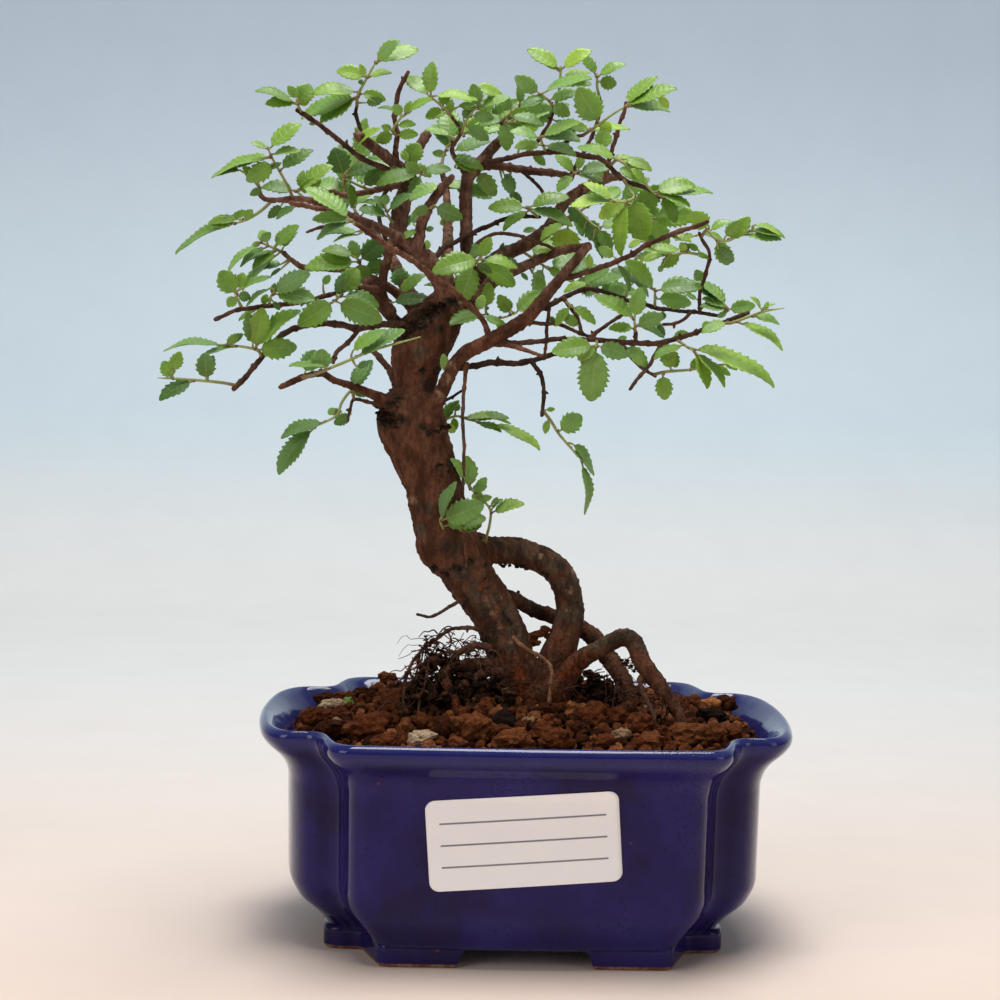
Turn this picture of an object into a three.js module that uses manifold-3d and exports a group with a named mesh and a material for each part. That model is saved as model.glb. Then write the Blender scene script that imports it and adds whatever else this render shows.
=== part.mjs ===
// A small Chinese elm bonsai in a glazed pot with notched corners. Millimetres, +Z up.
// The tree leans left and back over an exposed, arching root. Its front looks along -Y.

import * as THREE from 'three';
import { mergeVertices } from 'three/addons/utils/BufferGeometryUtils.js';
import Module from 'manifold-3d';

const wasm = await Module();
wasm.setup();

// Driving dimensions of the pot. An offset grows the body's plan outwards.
const PANEL_HALF = 45.6;
const PANEL_FRONT = 44.5;
const LOBE_HALF = 30;
const LOBE_END = 61.8;
const PANEL_SPREAD = 0.7;
const LOBE_SPREAD = 0.55;
const PANEL_BOW = 1.2;
const PANEL_EASE = 5;
const LOBE_BOW = 4;
const LOBE_EASE = [13, 7];
const NOTCH_SLANT = 2.5;
const NOTCH_EASE = 5;
const CORNER_STEPS = 2;
const FOOT_HEIGHT = 5;
const FLOOR_TOP = 10;
const DRAIN_RADIUS = 6;
const DRAIN_PLACE = 24;
const DRAIN_SIDES = 12;
const FIT_GAP = 0.3;

// Pot wall as heights and offsets: up the outside, over the lip and down the inside. Near
// the base the front and back draw in less than the ends, by a third number.
const OUTSIDE = [
  [5, -9, -3.4], [6.2, -8.6, -2.4], [9, -6, -1.3], [12.5, -2.2, -0.5], [17, 0], [44, 0.4],
  [47.5, 1.6], [50, 3.4], [53, 6.6], [55, 8], [56.8, 8.1], [58, 7.2],
];
const INSIDE = [[58.3, 6.2], [57.4, 4.6], [51, -1.4], [46, -4], [14, -4.8], [FLOOR_TOP, -8]];

// Bracket feet: how far each runs from its corner, and how wide it stands.
const FOOT_OFFSET = -9;
const FOOT_FRONT_OFFSET = -3.2;
const FOOT_WIDTH = 8;
const FOOT_FRONT_END = 17;
const FOOT_SIDE_END = 12;
const FOOT_CURL = 3;
const FOOT_EASE = 2.5;
const FOOT_ROOT = 1;

const SCREEN_SIZE = 22;
const SCREEN_THICKNESS = 1;
const SCREEN_HOLE = 6;
const SCREEN_PITCH = 9;

// Blank sticker on the front panel.
const LABEL_WIDTH = 48;
const LABEL_HEIGHT = 23;
const LABEL_CORNER = 2.4;
const CORNER_SEGMENTS = 4;
const LABEL_MIDDLE = [-1.2, 33.8];
const LABEL_TILT = 4.3;
const LABEL_THICKNESS = 0.5;
const LABEL_BLOCK_DEPTH = 20;
const LABEL_BLOCK_BACK = 2;

// Soil: edge and crown heights, and the granules that stand out of it.
const SOIL_EDGE = 53.4;
const SOIL_RISE = 7.5;
const SOIL_SPREAD = 30;
const SOIL_ROUGHNESS = 0.9;
const SOIL_FINE = [1.3, 1.1];
const SOIL_FINE_START = 2;
const SOIL_BROAD = [0.53, 0.71];
const SOIL_CLEARANCE = FIT_GAP + 0.1;
const SOIL_SIDES = [[FLOOR_TOP + FIT_GAP, -8.2], [14.2, -4.8], [46, -4.1], [50.8, -1.7]];
const SOIL_RIM = 0.5;
const SOIL_RINGS = [0.8, 0.52, 0.22];
const GRANULE_COUNT = 34;
const GRANULE_RADIUS = [1.6, 2.8];
const GRANULE_SHAPE = [1, 0.9, 0.8];
const GRANULE_FIELD = [62, 44];
const GRANULE_RING = [0.25, 0.62];
const GRANULE_RISE = 0.2;
const GRANULE_MARGIN = 6;
const GOLDEN_TURN = 2.39996;

// Leaves and shoots.
const LEAF_THICKNESS = 1.4;
const LEAF_CROWN = 0.4;
const LEAF_ARCH = 0.05;
const LEAF_FOLD = 0.16;
const LEAF_SLENDER = 0.5;
const LEAF_CLEARANCE = 2.5;
const WOOD_CLEARANCE = 0.8;
const SHOOT_RADIUS = [0.62, 0.5];
const LEAF_SEAT = 0.22;
const EDGE_ON = 2.1;
const STEM_END = 0.9;
const LEAF_TRIES = 14;

// The tree's places are read off a picture of 1000 by 1000 pixels, taken from this point.
// A station is its column and row there, and its depth in mm behind the pot's middle.
const EYE = new THREE.Vector3(-24.4, -650, 174.5);
const EYE_YAW = THREE.MathUtils.degToRad(1.47);
const EYE_PITCH = THREE.MathUtils.degToRad(5.29);
const EYE_ROLL = THREE.MathUtils.degToRad(1.19);
const EYE_FOCAL = 2483;
const PICTURE_MIDDLE = 500;

const ahead = new THREE.Vector3(
  Math.sin(EYE_YAW) * Math.cos(EYE_PITCH),
  Math.cos(EYE_YAW) * Math.cos(EYE_PITCH),
  -Math.sin(EYE_PITCH),
);
const levelRight = new THREE.Vector3(Math.cos(EYE_YAW), -Math.sin(EYE_YAW), 0);
const levelUp = levelRight.clone().cross(ahead);
const pictureRight = levelRight.clone().multiplyScalar(Math.cos(EYE_ROLL));
pictureRight.addScaledVector(levelUp, Math.sin(EYE_ROLL));
const pictureUp = levelUp.clone().multiplyScalar(Math.cos(EYE_ROLL));
pictureUp.addScaledVector(levelRight, -Math.sin(EYE_ROLL));

// The point that shows at a column and row, at a given depth.
function seen(column, row, depth) {
  const ray = ahead.clone();
  ray.addScaledVector(pictureRight, (column - PICTURE_MIDDLE) / EYE_FOCAL);
  ray.addScaledVector(pictureUp, (PICTURE_MIDDLE - row) / EYE_FOCAL);
  return EYE.clone().addScaledVector(ray, (depth - EYE.y) / ray.y);
}

// The column and row at which a point shows.
function shownAt(point) {
  const way = point.clone().sub(EYE);
  const reach = EYE_FOCAL / way.dot(ahead);
  return [
    PICTURE_MIDDLE + reach * way.dot(pictureRight),
    PICTURE_MIDDLE - reach * way.dot(pictureUp),
  ];
}

// Seeded draws between 0 and 1.
function drawer(seed) {
  let state = seed;
  return () => {
    state = (state * 1664525 + 1013904223) % 4294967296;
    return state / 4294967296;
  };
}

// Solids: a mesh with merged corners, made a body that can be joined and cut.
function solid(geometry) {
  const bare = geometry.clone();
  bare.deleteAttribute('normal');
  bare.deleteAttribute('uv');
  const merged = mergeVertices(bare, 1e-4);
  return new wasm.Manifold(new wasm.Mesh({
    numProp: 3,
    vertProperties: new Float32Array(merged.attributes.position.array),
    triVerts: new Uint32Array(merged.index.array),
  }));
}

function asGeometry(body) {
  const mesh = body.getMesh();
  const geometry = new THREE.BufferGeometry();
  geometry.setAttribute('position', new THREE.BufferAttribute(mesh.vertProperties, 3));
  geometry.setIndex(new THREE.BufferAttribute(mesh.triVerts, 1));
  return geometry;
}

function largest(body) {
  const loose = body.decompose();
  return loose.reduce((best, piece) => (piece.volume() > best.volume() ? piece : best));
}

// A closed skin through rings of points, anticlockwise about the way from first to last:
// every corner of a plain cylinder goes to its place on its ring.
function loft(rings) {
  const around = rings[0].length;
  const geometry = new THREE.CylinderGeometry(1, 1, 1, around, rings.length - 1);
  const corners = geometry.attributes.position;
  const corner = new THREE.Vector3();
  for (let i = 0; i < corners.count; i += 1) {
    corner.fromBufferAttribute(corners, i);
    const ring = rings[Math.round((corner.y + 0.5) * (rings.length - 1))];
    if (Math.hypot(corner.x, corner.z) < 0.5) {
      corner.set(0, 0, 0);
      ring.forEach((point) => corner.addScaledVector(point, 1 / around));
    } else {
      const turn = Math.atan2(corner.x, corner.z) / (2 * Math.PI);
      corner.copy(ring[(Math.round(turn * around) + around) % around]);
    }
    corners.setXYZ(i, corner.x, corner.y, corner.z);
  }
  return geometry;
}

// Plan of the pot at an offset: a rectangle with a slanted notch at each corner. Its sides
// bow outwards and all corners are eased. Near the base its front has an offset of its own.
function easedCorner(before, corner, after, [reachBefore, reachAfter]) {
  const start = before.clone().sub(corner).setLength(reachBefore).add(corner);
  const end = after.clone().sub(corner).setLength(reachAfter).add(corner);
  return new THREE.QuadraticBezierCurve(start, corner, end).getPoints(CORNER_STEPS);
}

function potPlan(offset, height, frontOffset = offset) {
  const panel = PANEL_HALF + offset * PANEL_SPREAD;
  const front = PANEL_FRONT + frontOffset;
  const lobe = LOBE_HALF + offset * LOBE_SPREAD;
  const end = LOBE_END + offset;
  const quarter = [
    [end, lobe, LOBE_EASE],
    [panel + NOTCH_SLANT, lobe, [NOTCH_EASE, NOTCH_EASE]],
    [panel - NOTCH_SLANT, front, [PANEL_EASE, PANEL_EASE]],
  ];
  const onwards = (signX, signY) => quarter.map(
    ([x, y, reaches]) => [signX * x, signY * y, reaches],
  );
  const backwards = (signX, signY) => quarter.map(
    ([x, y, reaches]) => [signX * x, signY * y, [...reaches].reverse()],
  ).reverse();
  const corners = [
    ...onwards(1, 1), ...backwards(-1, 1), ...onwards(-1, -1), ...backwards(1, -1),
  ];
  const places = corners.map(([x, y]) => new THREE.Vector2(x, y));
  const plan = [];
  corners.forEach(([x, y, reaches], i) => {
    const before = places[(i + corners.length - 1) % corners.length];
    const after = places[(i + 1) % corners.length];
    plan.push(...easedCorner(before, places[i], after, reaches));
    if (x * after.x < 0) {
      plan.push(new THREE.Vector2(0, y));
    }
    if (y * after.y < 0) {
      plan.push(new THREE.Vector2(x, 0));
    }
  });
  return plan.map(({ x, y }) => {
    const onPanel = Math.abs(y) > lobe && Math.abs(x) < panel;
    const bow = onPanel ? PANEL_BOW * (1 - (x / panel) ** 2) : 0;
    const lobeShare = Math.max(0, (Math.abs(x) - panel) / (end - panel));
    const inset = LOBE_BOW * lobeShare * (y / lobe) ** 2;
    return new THREE.Vector3(x - Math.sign(x) * inset, y + Math.sign(y) * bow, height);
  });
}

function potSkin(profile, extra) {
  return solid(loft(profile.map(
    ([height, offset, frontOffset = offset]) => potPlan(offset + extra, height, frontOffset + extra),
  )));
}

// One foot follows the base round its corner. Its two ends lean inwards as they rise.
function foot(signX, signY) {
  const panel = PANEL_HALF + FOOT_OFFSET * PANEL_SPREAD;
  const front = PANEL_FRONT + FOOT_FRONT_OFFSET;
  const lobe = LOBE_HALF + FOOT_OFFSET * LOBE_SPREAD;
  const end = LOBE_END + FOOT_OFFSET - FOOT_EASE / 2;
  const outer = panel + NOTCH_SLANT;
  const inner = panel - NOTCH_SLANT;
  const outline = (reach) => [
    [end, FOOT_SIDE_END - reach], [end - FOOT_EASE / 2, lobe - 2 * FOOT_EASE],
    [end - 2 * FOOT_EASE, lobe], [outer + FOOT_EASE / 2, lobe], [outer - FOOT_EASE / 2, lobe + FOOT_EASE],
    [inner, front - FOOT_EASE], [inner - FOOT_EASE, front], [FOOT_FRONT_END - reach, front],
    [FOOT_FRONT_END - reach, front - FOOT_WIDTH], [inner - FOOT_WIDTH, front - FOOT_WIDTH],
    [inner - FOOT_WIDTH, lobe - FOOT_WIDTH], [end - FOOT_WIDTH, lobe - FOOT_WIDTH],
    [end - FOOT_WIDTH, FOOT_SIDE_END - reach],
  ].map(([x, y]) => new THREE.Vector2(signX * x, signY * y));
  const plain = outline(0);
  const curled = outline(FOOT_CURL);
  const geometry = new THREE.ExtrudeGeometry(new THREE.Shape(plain), {
    depth: FOOT_HEIGHT + FOOT_ROOT,
    bevelEnabled: false,
  });
  const corners = geometry.attributes.position;
  for (let i = 0; i < corners.count; i += 1) {
    if (corners.getZ(i) > 0) {
      const place = new THREE.Vector2(corners.getX(i), corners.getY(i));
      const match = plain.findIndex((point) => point.distanceTo(place) < 1e-3);
      corners.setXY(i, curled[match].x, curled[match].y);
    }
  }
  return solid(geometry);
}

function makePot() {
  let pot = potSkin([...OUTSIDE, ...INSIDE], 0);
  for (const signX of [1, -1]) {
    for (const signY of [1, -1]) {
      pot = pot.add(foot(signX, signY));
    }
    const drain = new THREE.CylinderGeometry(DRAIN_RADIUS, DRAIN_RADIUS, FLOOR_TOP * 2, DRAIN_SIDES);
    drain.rotateX(Math.PI / 2);
    drain.translate(signX * DRAIN_PLACE, 0, FLOOR_TOP / 2);
    pot = pot.subtract(solid(drain));
  }
  return pot;
}

// Plastic net over a drain hole, on the pot's floor.
function makeScreen(side) {
  const sheet = new THREE.BoxGeometry(SCREEN_SIZE, SCREEN_SIZE, SCREEN_THICKNESS);
  let net = solid(sheet);
  for (const column of [-0.5, 0.5]) {
    for (const row of [-0.5, 0.5]) {
      const hole = new THREE.BoxGeometry(SCREEN_HOLE, SCREEN_HOLE, 2 * SCREEN_THICKNESS);
      hole.translate(column * SCREEN_PITCH, row * SCREEN_PITCH, 0);
      net = net.subtract(solid(hole));
    }
  }
  return net.translate(side * DRAIN_PLACE, 0, FLOOR_TOP + FIT_GAP + SCREEN_THICKNESS / 2);
}

// The sticker follows the wall: a block of its outline, cut from a thin skin round the pot.
function makeLabel() {
  const halfWidth = LABEL_WIDTH / 2;
  const halfHeight = LABEL_HEIGHT / 2;
  const shape = new THREE.Shape();
  shape.absarc(halfWidth - LABEL_CORNER, halfHeight - LABEL_CORNER, LABEL_CORNER, 0, Math.PI / 2);
  shape.absarc(LABEL_CORNER - halfWidth, halfHeight - LABEL_CORNER, LABEL_CORNER, Math.PI / 2, Math.PI);
  shape.absarc(
    LABEL_CORNER - halfWidth, LABEL_CORNER - halfHeight, LABEL_CORNER, Math.PI, 1.5 * Math.PI,
  );
  shape.absarc(
    halfWidth - LABEL_CORNER, LABEL_CORNER - halfHeight, LABEL_CORNER, 1.5 * Math.PI, 2 * Math.PI,
  );
  shape.closePath();
  const block = new THREE.ExtrudeGeometry(shape, {
    depth: LABEL_BLOCK_DEPTH,
    bevelEnabled: false,
    curveSegments: CORNER_SEGMENTS,
  });
  block.rotateZ(THREE.MathUtils.degToRad(LABEL_TILT));
  block.rotateX(Math.PI / 2);
  block.translate(LABEL_MIDDLE[0], -PANEL_FRONT + LABEL_BLOCK_BACK, LABEL_MIDDLE[1]);
  const inner = potSkin(OUTSIDE, FIT_GAP);
  const outer = potSkin(OUTSIDE, FIT_GAP + LABEL_THICKNESS);
  return solid(block).intersect(outer).subtract(inner);
}

// Soil surface: a low mound under the trunk, with a rough skin.
function soilHeight(x, y) {
  const mound = SOIL_RISE * Math.exp(-(x * x + y * y) / (SOIL_SPREAD * SOIL_SPREAD));
  const fine = Math.sin(x * SOIL_FINE[0] + SOIL_FINE_START) * Math.cos(y * SOIL_FINE[1]);
  const broad = Math.sin(x * SOIL_BROAD[0] - y * SOIL_BROAD[1]);
  return SOIL_EDGE + mound + SOIL_ROUGHNESS * 0.5 * (fine + broad);
}

function makeSoil(hollow) {
  const rings = SOIL_SIDES.map(([height, offset]) => potPlan(offset - SOIL_CLEARANCE, height));
  const rim = potPlan(SOIL_RIM - SOIL_CLEARANCE, SOIL_EDGE);
  rings.push(rim);
  for (const share of SOIL_RINGS) {
    rings.push(rim.map(({ x, y }) => {
      const inX = x * share;
      const inY = y * share;
      return new THREE.Vector3(inX, inY, soilHeight(inX, inY));
    }));
  }
  let soil = solid(loft(rings));
  const draw = drawer(77);
  for (let i = 0; i < GRANULE_COUNT; i += 1) {
    const turn = i * GOLDEN_TURN;
    const reach = GRANULE_RING[0] + GRANULE_RING[1] * Math.sqrt((i + 0.5) / GRANULE_COUNT);
    const x = reach * GRANULE_FIELD[0] * Math.cos(turn);
    const y = reach * GRANULE_FIELD[1] * Math.sin(turn);
    const radius = GRANULE_RADIUS[0] + draw() * (GRANULE_RADIUS[1] - GRANULE_RADIUS[0]);
    const granule = new THREE.OctahedronGeometry(radius, 0);
    granule.rotateX(draw() * 2 * Math.PI);
    granule.rotateY(draw() * 2 * Math.PI);
    granule.scale(...GRANULE_SHAPE);
    granule.translate(x, y, soilHeight(x, y) + radius * GRANULE_RISE);
    const inLobe = Math.abs(y) < LOBE_HALF - GRANULE_MARGIN;
    if (inLobe || Math.abs(x) < PANEL_HALF - GRANULE_MARGIN) {
      soil = soil.add(solid(granule));
    }
  }
  for (const side of [1, -1]) {
    const pocketSize = SCREEN_SIZE + 2 * FIT_GAP;
    const pocket = new THREE.BoxGeometry(pocketSize, pocketSize, 2 * (SCREEN_THICKNESS + 2 * FIT_GAP));
    pocket.translate(side * DRAIN_PLACE, 0, FLOOR_TOP);
    soil = soil.subtract(solid(pocket));
  }
  return largest(soil.subtract(hollow));
}

// Limbs and roots: stations of column, row, depth and radius in mm, from the root end out.
const LIMBS = {
  trunk: [[526, 716, 0, 7.8], [519, 690, 0, 6.7], [511, 655, 0, 5.9], [495, 615, 0, 5.9],
    [470, 577, 0, 6.4], [453, 548, 0, 7.3], [444, 527, 0, 7.5], [437, 503, 0, 7.1],
    [432, 483, 0, 7], [421, 450, 0, 7.9], [413, 430, 0, 8.9], [412, 418, 0, 9.1], [413, 410, 0, 8]],
  crown: [[413, 428, 0, 6.5], [413, 404, 0, 4.7], [416, 380, 0, 5.4], [418, 355, 0, 7],
    [428, 333, 0, 7.4], [440, 315, 1, 6.2], [447, 303, 2, 4.6]],
  arch_root: [[462, 552, 2, 3.6], [475, 545, 3, 3.5], [489, 550, 4, 3.5], [516, 551, 5, 3.5],
    [544, 561, 6, 3.6], [562, 577, 6, 3.6], [569, 598, 6, 3.6], [569, 621, 5, 3.7],
    [562, 644, 4, 4.2], [555, 662, 3, 4.7], [549, 692, 2, 5.4]],
  back_root: [[505, 596, 4, 2], [516, 600, 7, 1.9], [534, 610, 11, 1.9], [555, 617, 13, 2.1],
    [580, 628, 14, 2.3], [596, 639, 14, 2.4], [603, 651, 13, 2.4], [617, 669, 11, 2.4],
    [626, 690, 9, 2.4]],
  right_root: [[554, 700, -2, 3.4], [562, 685, -4, 3], [578, 662, -6, 2.5], [599, 649, -8, 2.2],
    [624, 637, -10, 2.2], [635, 644, -11, 2.3], [642, 662, -12, 2.4], [656, 681, -13, 2.2],
    [670, 701, -14, 1.8], [681, 720, -15, 1.3]],
  front_root: [[506, 630, -4, 0.9], [525, 649, -7, 0.75], [544, 658, -8, 0.7], [552, 674, -10, 0.7],
    [549, 701, -11, 0.7], [547, 722, -11, 0.7]],
  orange_root: [[512, 662, -1, 1.7], [470, 664, -8, 1.4], [452, 668, -10, 1.2], [446, 680, -12, 1.2],
    [454, 697, -13, 1.2], [458, 716, -13, 1]],
  left_root_a: [[502, 632, 0, 1.2], [468, 628, -6, 0.8], [447, 632, -8, 0.7], [425, 648, -10, 0.7],
    [409, 668, -11, 0.6], [404, 690, -12, 0.6]],
  left_root_b: [[509, 650, -1, 1.5], [472, 646, -7, 1], [451, 660, -9, 0.9], [437, 684, -10, 0.8],
    [432, 712, -11, 0.7]],
  left_root_c: [[511, 668, -2, 1.6], [478, 676, -9, 1.3], [468, 694, -11, 1.1], [470, 716, -12, 1]],
  left_root_d: [[474, 650, -7, 0.7], [434, 656, -11, 0.5], [426, 680, -12, 0.5], [419, 705, -13, 0.5]],
  right_root_fork: [[645, 668, -12, 1.2], [640, 684, -14, 1], [648, 702, -16, 0.8], [655, 722, -17, 0.7]],
  dead_root: [[480, 594, -2, 0.9], [464, 599, -6, 0.8], [452, 605, -8, 0.7], [440, 612, -10, 0.6], [430, 617, -11, 0.6],
    [417, 614, -12, 0.5]],
  right_limb: [[424, 428, -3, 2.5], [431, 412, -4, 2.1], [443, 389, -7, 1.9], [455, 364, -9, 1.9],
    [467, 352, -10, 2], [485, 343, -11, 2.1], [503, 333, -12, 2.1], [527, 318, -13, 2],
    [540, 303, -14, 1.9], [559, 280, -15, 1.7], [588, 246, -17, 1.4]],
  right_snag: [[486, 343, -11, 1.3], [509, 345, -13, 1.1], [543, 357, -18, 0.6]],
  front_twig: [[491, 341, -12, 1.2], [484, 322, -16, 1], [473, 309, -19, 1], [455, 293, -23, 1.05],
    [438, 280, -26, 1.1], [415, 263, -30, 1.1], [390, 247, -34, 1], [355, 224, -38, 0.9]],
  hanging_stem: [[466, 362, -9.5, 1.1], [465, 379, -10, 0.75], [463, 419, -10, 0.65],
    [464, 459, -10, 0.65], [463, 520, -9, 0.6], [466, 560, -7, 0.6], [468, 580, -5.6, 0.6]],
  small_back_twig: [[434, 410, 3, 0.8], [443, 402, 6, 0.7], [452, 397, 8, 0.6], [461, 391, 9, 0.5]],
  low_right_branch: [[460, 368, -9, 1.3], [473, 366, -6, 1.2], [491, 363, -4, 1.2],
    [515, 363, -2, 1.15], [534, 360, 0, 1.1], [559, 353, 3, 1], [577, 349, 6, 0.8]],
  drooping_twig: [[530, 360, -0.5, 1], [538, 370, -2, 0.9], [542, 379, -3, 0.85],
    [544, 397, -4, 0.8], [542, 415, -5, 0.7]],
  low_right_limb: [[498, 341, -12, 1.4], [520, 343, -13, 1], [559, 339, -15, 1], [594, 340, -16, 1],
    [625, 342, -17, 1], [653, 344, -17, 1.05], [672, 340, -18, 1], [692, 334, -19, 0.95],
    [727, 321, -22, 0.85], [748, 313, -24, 0.75]],
  right_leader: [[440, 320, 0, 4], [462, 311, 1, 2.9], [475, 301, 2, 2.2], [491, 284, 4, 1.7],
    [512, 272, 6, 1.6], [540, 259, 8, 1.5], [559, 251, 9, 1.5], [583, 247, 10, 1.3]],
  far_leader: [[455, 308, 3, 2.8], [475, 280, 8, 2.2], [497, 258, 11, 1.9], [521, 247, 14, 1.8],
    [546, 231, 17, 1.7], [556, 216, 18, 1.6], [566, 201, 19, 1.5], [583, 189, 20, 1.4],
    [599, 182, 21, 1.3], [618, 175, 22, 1.1]],
  upright_leader: [[452, 312, 2, 3], [466, 290, 5, 2.4], [469, 270, 6, 1.9], [467, 247, 6, 1.75],
    [466, 222, 7, 1.7], [466, 199, 7, 1.7], [467, 178, 7, 1.6], [472, 164, 8, 1.5]],
  top_stub: [[468, 178, 7, 1.6], [480, 163, 9, 1.7], [491, 150, 11, 1.6], [503, 138, 13, 1.5]],
  arching_branch: [[476, 168, 8, 1.3], [497, 160, 6, 1.1], [527, 154, 3, 1], [559, 152, 0, 1],
    [589, 156, -3, 1], [605, 162, -5, 0.95], [619, 177, -7, 0.9], [641, 187, -9, 0.85],
    [665, 198, -11, 0.75]],
  straight_branch: [[478, 166, 9, 1.5], [497, 166, 11, 1.35], [527, 170, 14, 1.3],
    [559, 174, 17, 1.2], [572, 178, 18, 1.1]],
  hooked_twig: [[519, 169, 13, 0.8], [530, 178, 13, 0.7], [540, 188, 13, 0.7], [545, 196, 13, 0.6]],
  tall_twig: [[605, 180, 21, 1], [607, 170, 21, 0.95], [611, 152, 21, 0.9], [616, 136, 21, 0.85],
    [622, 118, 21, 0.8], [626, 103, 21, 0.8]],
  left_leader: [[440, 318, -1, 3.6], [446, 300, -2, 2.8], [443, 282, -4, 2.5], [434, 270, -5, 2.6],
    [424, 258, -6, 2.6]],
  front_leader: [[432, 268, -6, 2.1], [420, 252, -8, 1.6], [419, 240, -9, 1.5], [422, 222, -11, 1.5],
    [428, 208, -13, 1.4], [438, 193, -15, 1.3], [452, 177, -18, 1.1]],
  left_reach: [[430, 266, -6, 2.2], [412, 247, -8, 1.7], [394, 235, -10, 1.4], [370, 224, -12, 1.25],
    [346, 214, -14, 1.15], [328, 206, -15, 1.1], [303, 199, -16, 1.1], [278, 200, -18, 1],
    [262, 198, -19, 0.95], [259, 187, -20, 0.8]],
  left_snag: [[338, 211, -14, 1], [320, 209, -19, 0.95], [305, 206, -22, 0.95], [291, 203, -25, 0.9]],
  left_upright: [[424, 262, -4, 2.3], [407, 246, 0, 2.3], [398, 230, 1, 2.3], [400, 215, 2, 2.2],
    [403, 200, 4, 2.1], [407, 188, 5, 2], [409, 176, 6, 1.9]],
  high_stub: [[408, 182, 6, 1.8], [411, 163, 8, 1.65], [418, 148, 9, 1.55], [428, 133, 10, 1.5]],
  left_stub: [[408, 178, 5, 1.8], [400, 168, 4, 1.7], [388, 158, 2, 1.65], [372, 146, -1, 1.6],
    [356, 134, -4, 1.5]],
  high_twig: [[400, 172, 4, 1.2], [396, 157, 3, 1.05], [397, 137, 3, 0.95], [395, 116, 2, 0.9],
    [399, 91, 1, 0.9], [408, 72, 0, 0.75]],
  upper_left_twig: [[402, 178, 5, 1.3], [385, 168, 3, 1.1], [363, 159, 0, 1], [335, 137, -5, 1],
    [318, 124, -8, 0.95], [298, 110, -11, 0.9]],
  top_twig: [[370, 146, -1, 0.9], [361, 131, 1, 0.8], [356, 115, 2, 0.7], [357, 106, 2, 0.65]],
  mid_left_twig: [[410, 186, 6, 1.6], [400, 185, 8, 1.3], [389, 187, 10, 1.1], [365, 192, 13, 1],
    [348, 195, 15, 0.9], [330, 192, 17, 0.7]],
  cross_twig: [[388, 188, 10, 0.9], [379, 205, 9, 0.8], [380, 222, 7, 0.8], [385, 238, 4, 0.8],
    [392, 244, -4, 0.7]],
  left_hook: [[345, 214, -13, 0.8], [330, 224, -11, 0.65], [307, 232, -9, 0.55]],
  left_mid: [[428, 332, 4, 1.9], [410, 305, 8, 1.5], [385, 285, 11, 1.2], [360, 274, 13, 1.1],
    [344, 270, 14, 1], [320, 268, 15, 0.95], [304, 268, 16, 0.9], [293, 261, 17, 0.8],
    [282, 252, 18, 0.65]],
  left_riser: [[412, 338, 1, 2.4], [396, 322, 1, 1.6], [386, 308, 1, 1.3], [382, 292, 1, 1.3],
    [383, 276, 0, 1.2], [388, 258, -3, 1.2], [393, 238, -8, 1.1]],
  old_stub: [[392, 316, 3, 1.8], [380, 300, 4, 2.2], [372, 288, 4, 2.4], [368, 279, 4, 1.7]],
  left_low: [[383, 290, 1, 1.1], [360, 287, -3, 1], [345, 290, -6, 0.95], [331, 294, -8, 0.9],
    [305, 301, -12, 0.9], [270, 306, -16, 0.85], [242, 309, -19, 0.8], [216, 319, -22, 0.75]],
  lower_left: [[418, 330, -2, 1.5], [400, 325, -4, 1.2], [378, 325, -5, 1.1], [357, 328, -6, 1.15],
    [343, 325, -7, 1.05], [329, 324, -8, 1], [314, 324, -9, 1], [300, 327, -10, 1],
    [281, 336, -12, 0.95], [268, 349, -13, 0.9], [261, 358, -14, 0.85], [248, 374, -16, 0.9],
    [233, 389, -18, 0.8]],
  bent_twig: [[360, 328, -6, 0.9], [350, 340, -9, 0.85], [339, 350, -12, 0.85], [333, 362, -15, 0.8]],
  back_low_twig: [[405, 402, 5, 1.5], [398, 393, 8, 1.2], [393, 378, 11, 1.1], [384, 362, 14, 1.05],
    [371, 349, 17, 0.9]],
  collar_branch: [[402, 414, -4, 2.3], [388, 402, -8, 1.7], [374, 395, -11, 1.3],
    [360, 389, -14, 1.15], [346, 384, -17, 1.05], [333, 380, -19, 1], [324, 374, -21, 1],
    [310, 375, -22, 0.95], [296, 380, -23, 1], [281, 387, -24, 0.95]],
  collar_twig: [[396, 412, -5, 1.3], [381, 406, -6, 0.8], [368, 402, -6, 0.7], [354, 399, -7, 0.7],
    [351, 407, -7.5, 0.6], [348, 421, -8, 0.55]],
  right_front_twig: [[560, 279, -15, 1.1], [580, 275, -16, 1], [600, 268, -18, 1],
    [623, 259, -20, 1], [645, 246, -22, 0.95], [665, 237, -24, 0.9], [688, 229, -26, 0.9],
    [707, 222, -28, 0.75]],
  right_back_twig: [[531, 314, -13, 1.1], [548, 306, -12, 1], [568, 295, -10, 0.95],
    [589, 289, -8, 0.9], [606, 293, -6, 0.85], [625, 299, -4, 0.85], [642, 304, -2, 0.8],
    [662, 309, 0, 0.8], [690, 312, 1, 0.75], [722, 316, 1, 0.65]],
  right_hook: [[691, 312, 1, 0.75], [682, 321, 0, 0.7], [663, 325, -1, 0.6]],
  low_cross: [[518, 323, -13, 0.8], [540, 323, -12, 0.75], [560, 325, -12, 0.7],
    [578, 332, -13, 0.7], [597, 339, -16, 0.7]],
  kinked_twig: [[562, 297, -11, 0.8], [567, 303, -11, 0.75], [577, 317, -12, 0.7], [582, 334, -14, 0.65]],
  upright_cross: [[549, 308, -12, 0.7], [547, 330, -8, 0.65], [545, 357, 1, 0.6]],
  rising_twig: [[588, 340, -16, 0.8], [605, 326, -14, 0.7], [624, 314, -13, 0.65]],
  falling_twig: [[621, 342, -17, 0.85], [629, 354, -17, 0.8], [640, 365, -17, 0.75],
    [656, 376, -17, 0.65]],
  dead_twig: [[662, 343, -17, 0.85], [655, 355, -19, 0.75], [646, 369, -20, 0.7], [630, 389, -22, 0.65]],
  spur: [[636, 344, -17, 0.8], [635, 331, -18, 0.75]],
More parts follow.
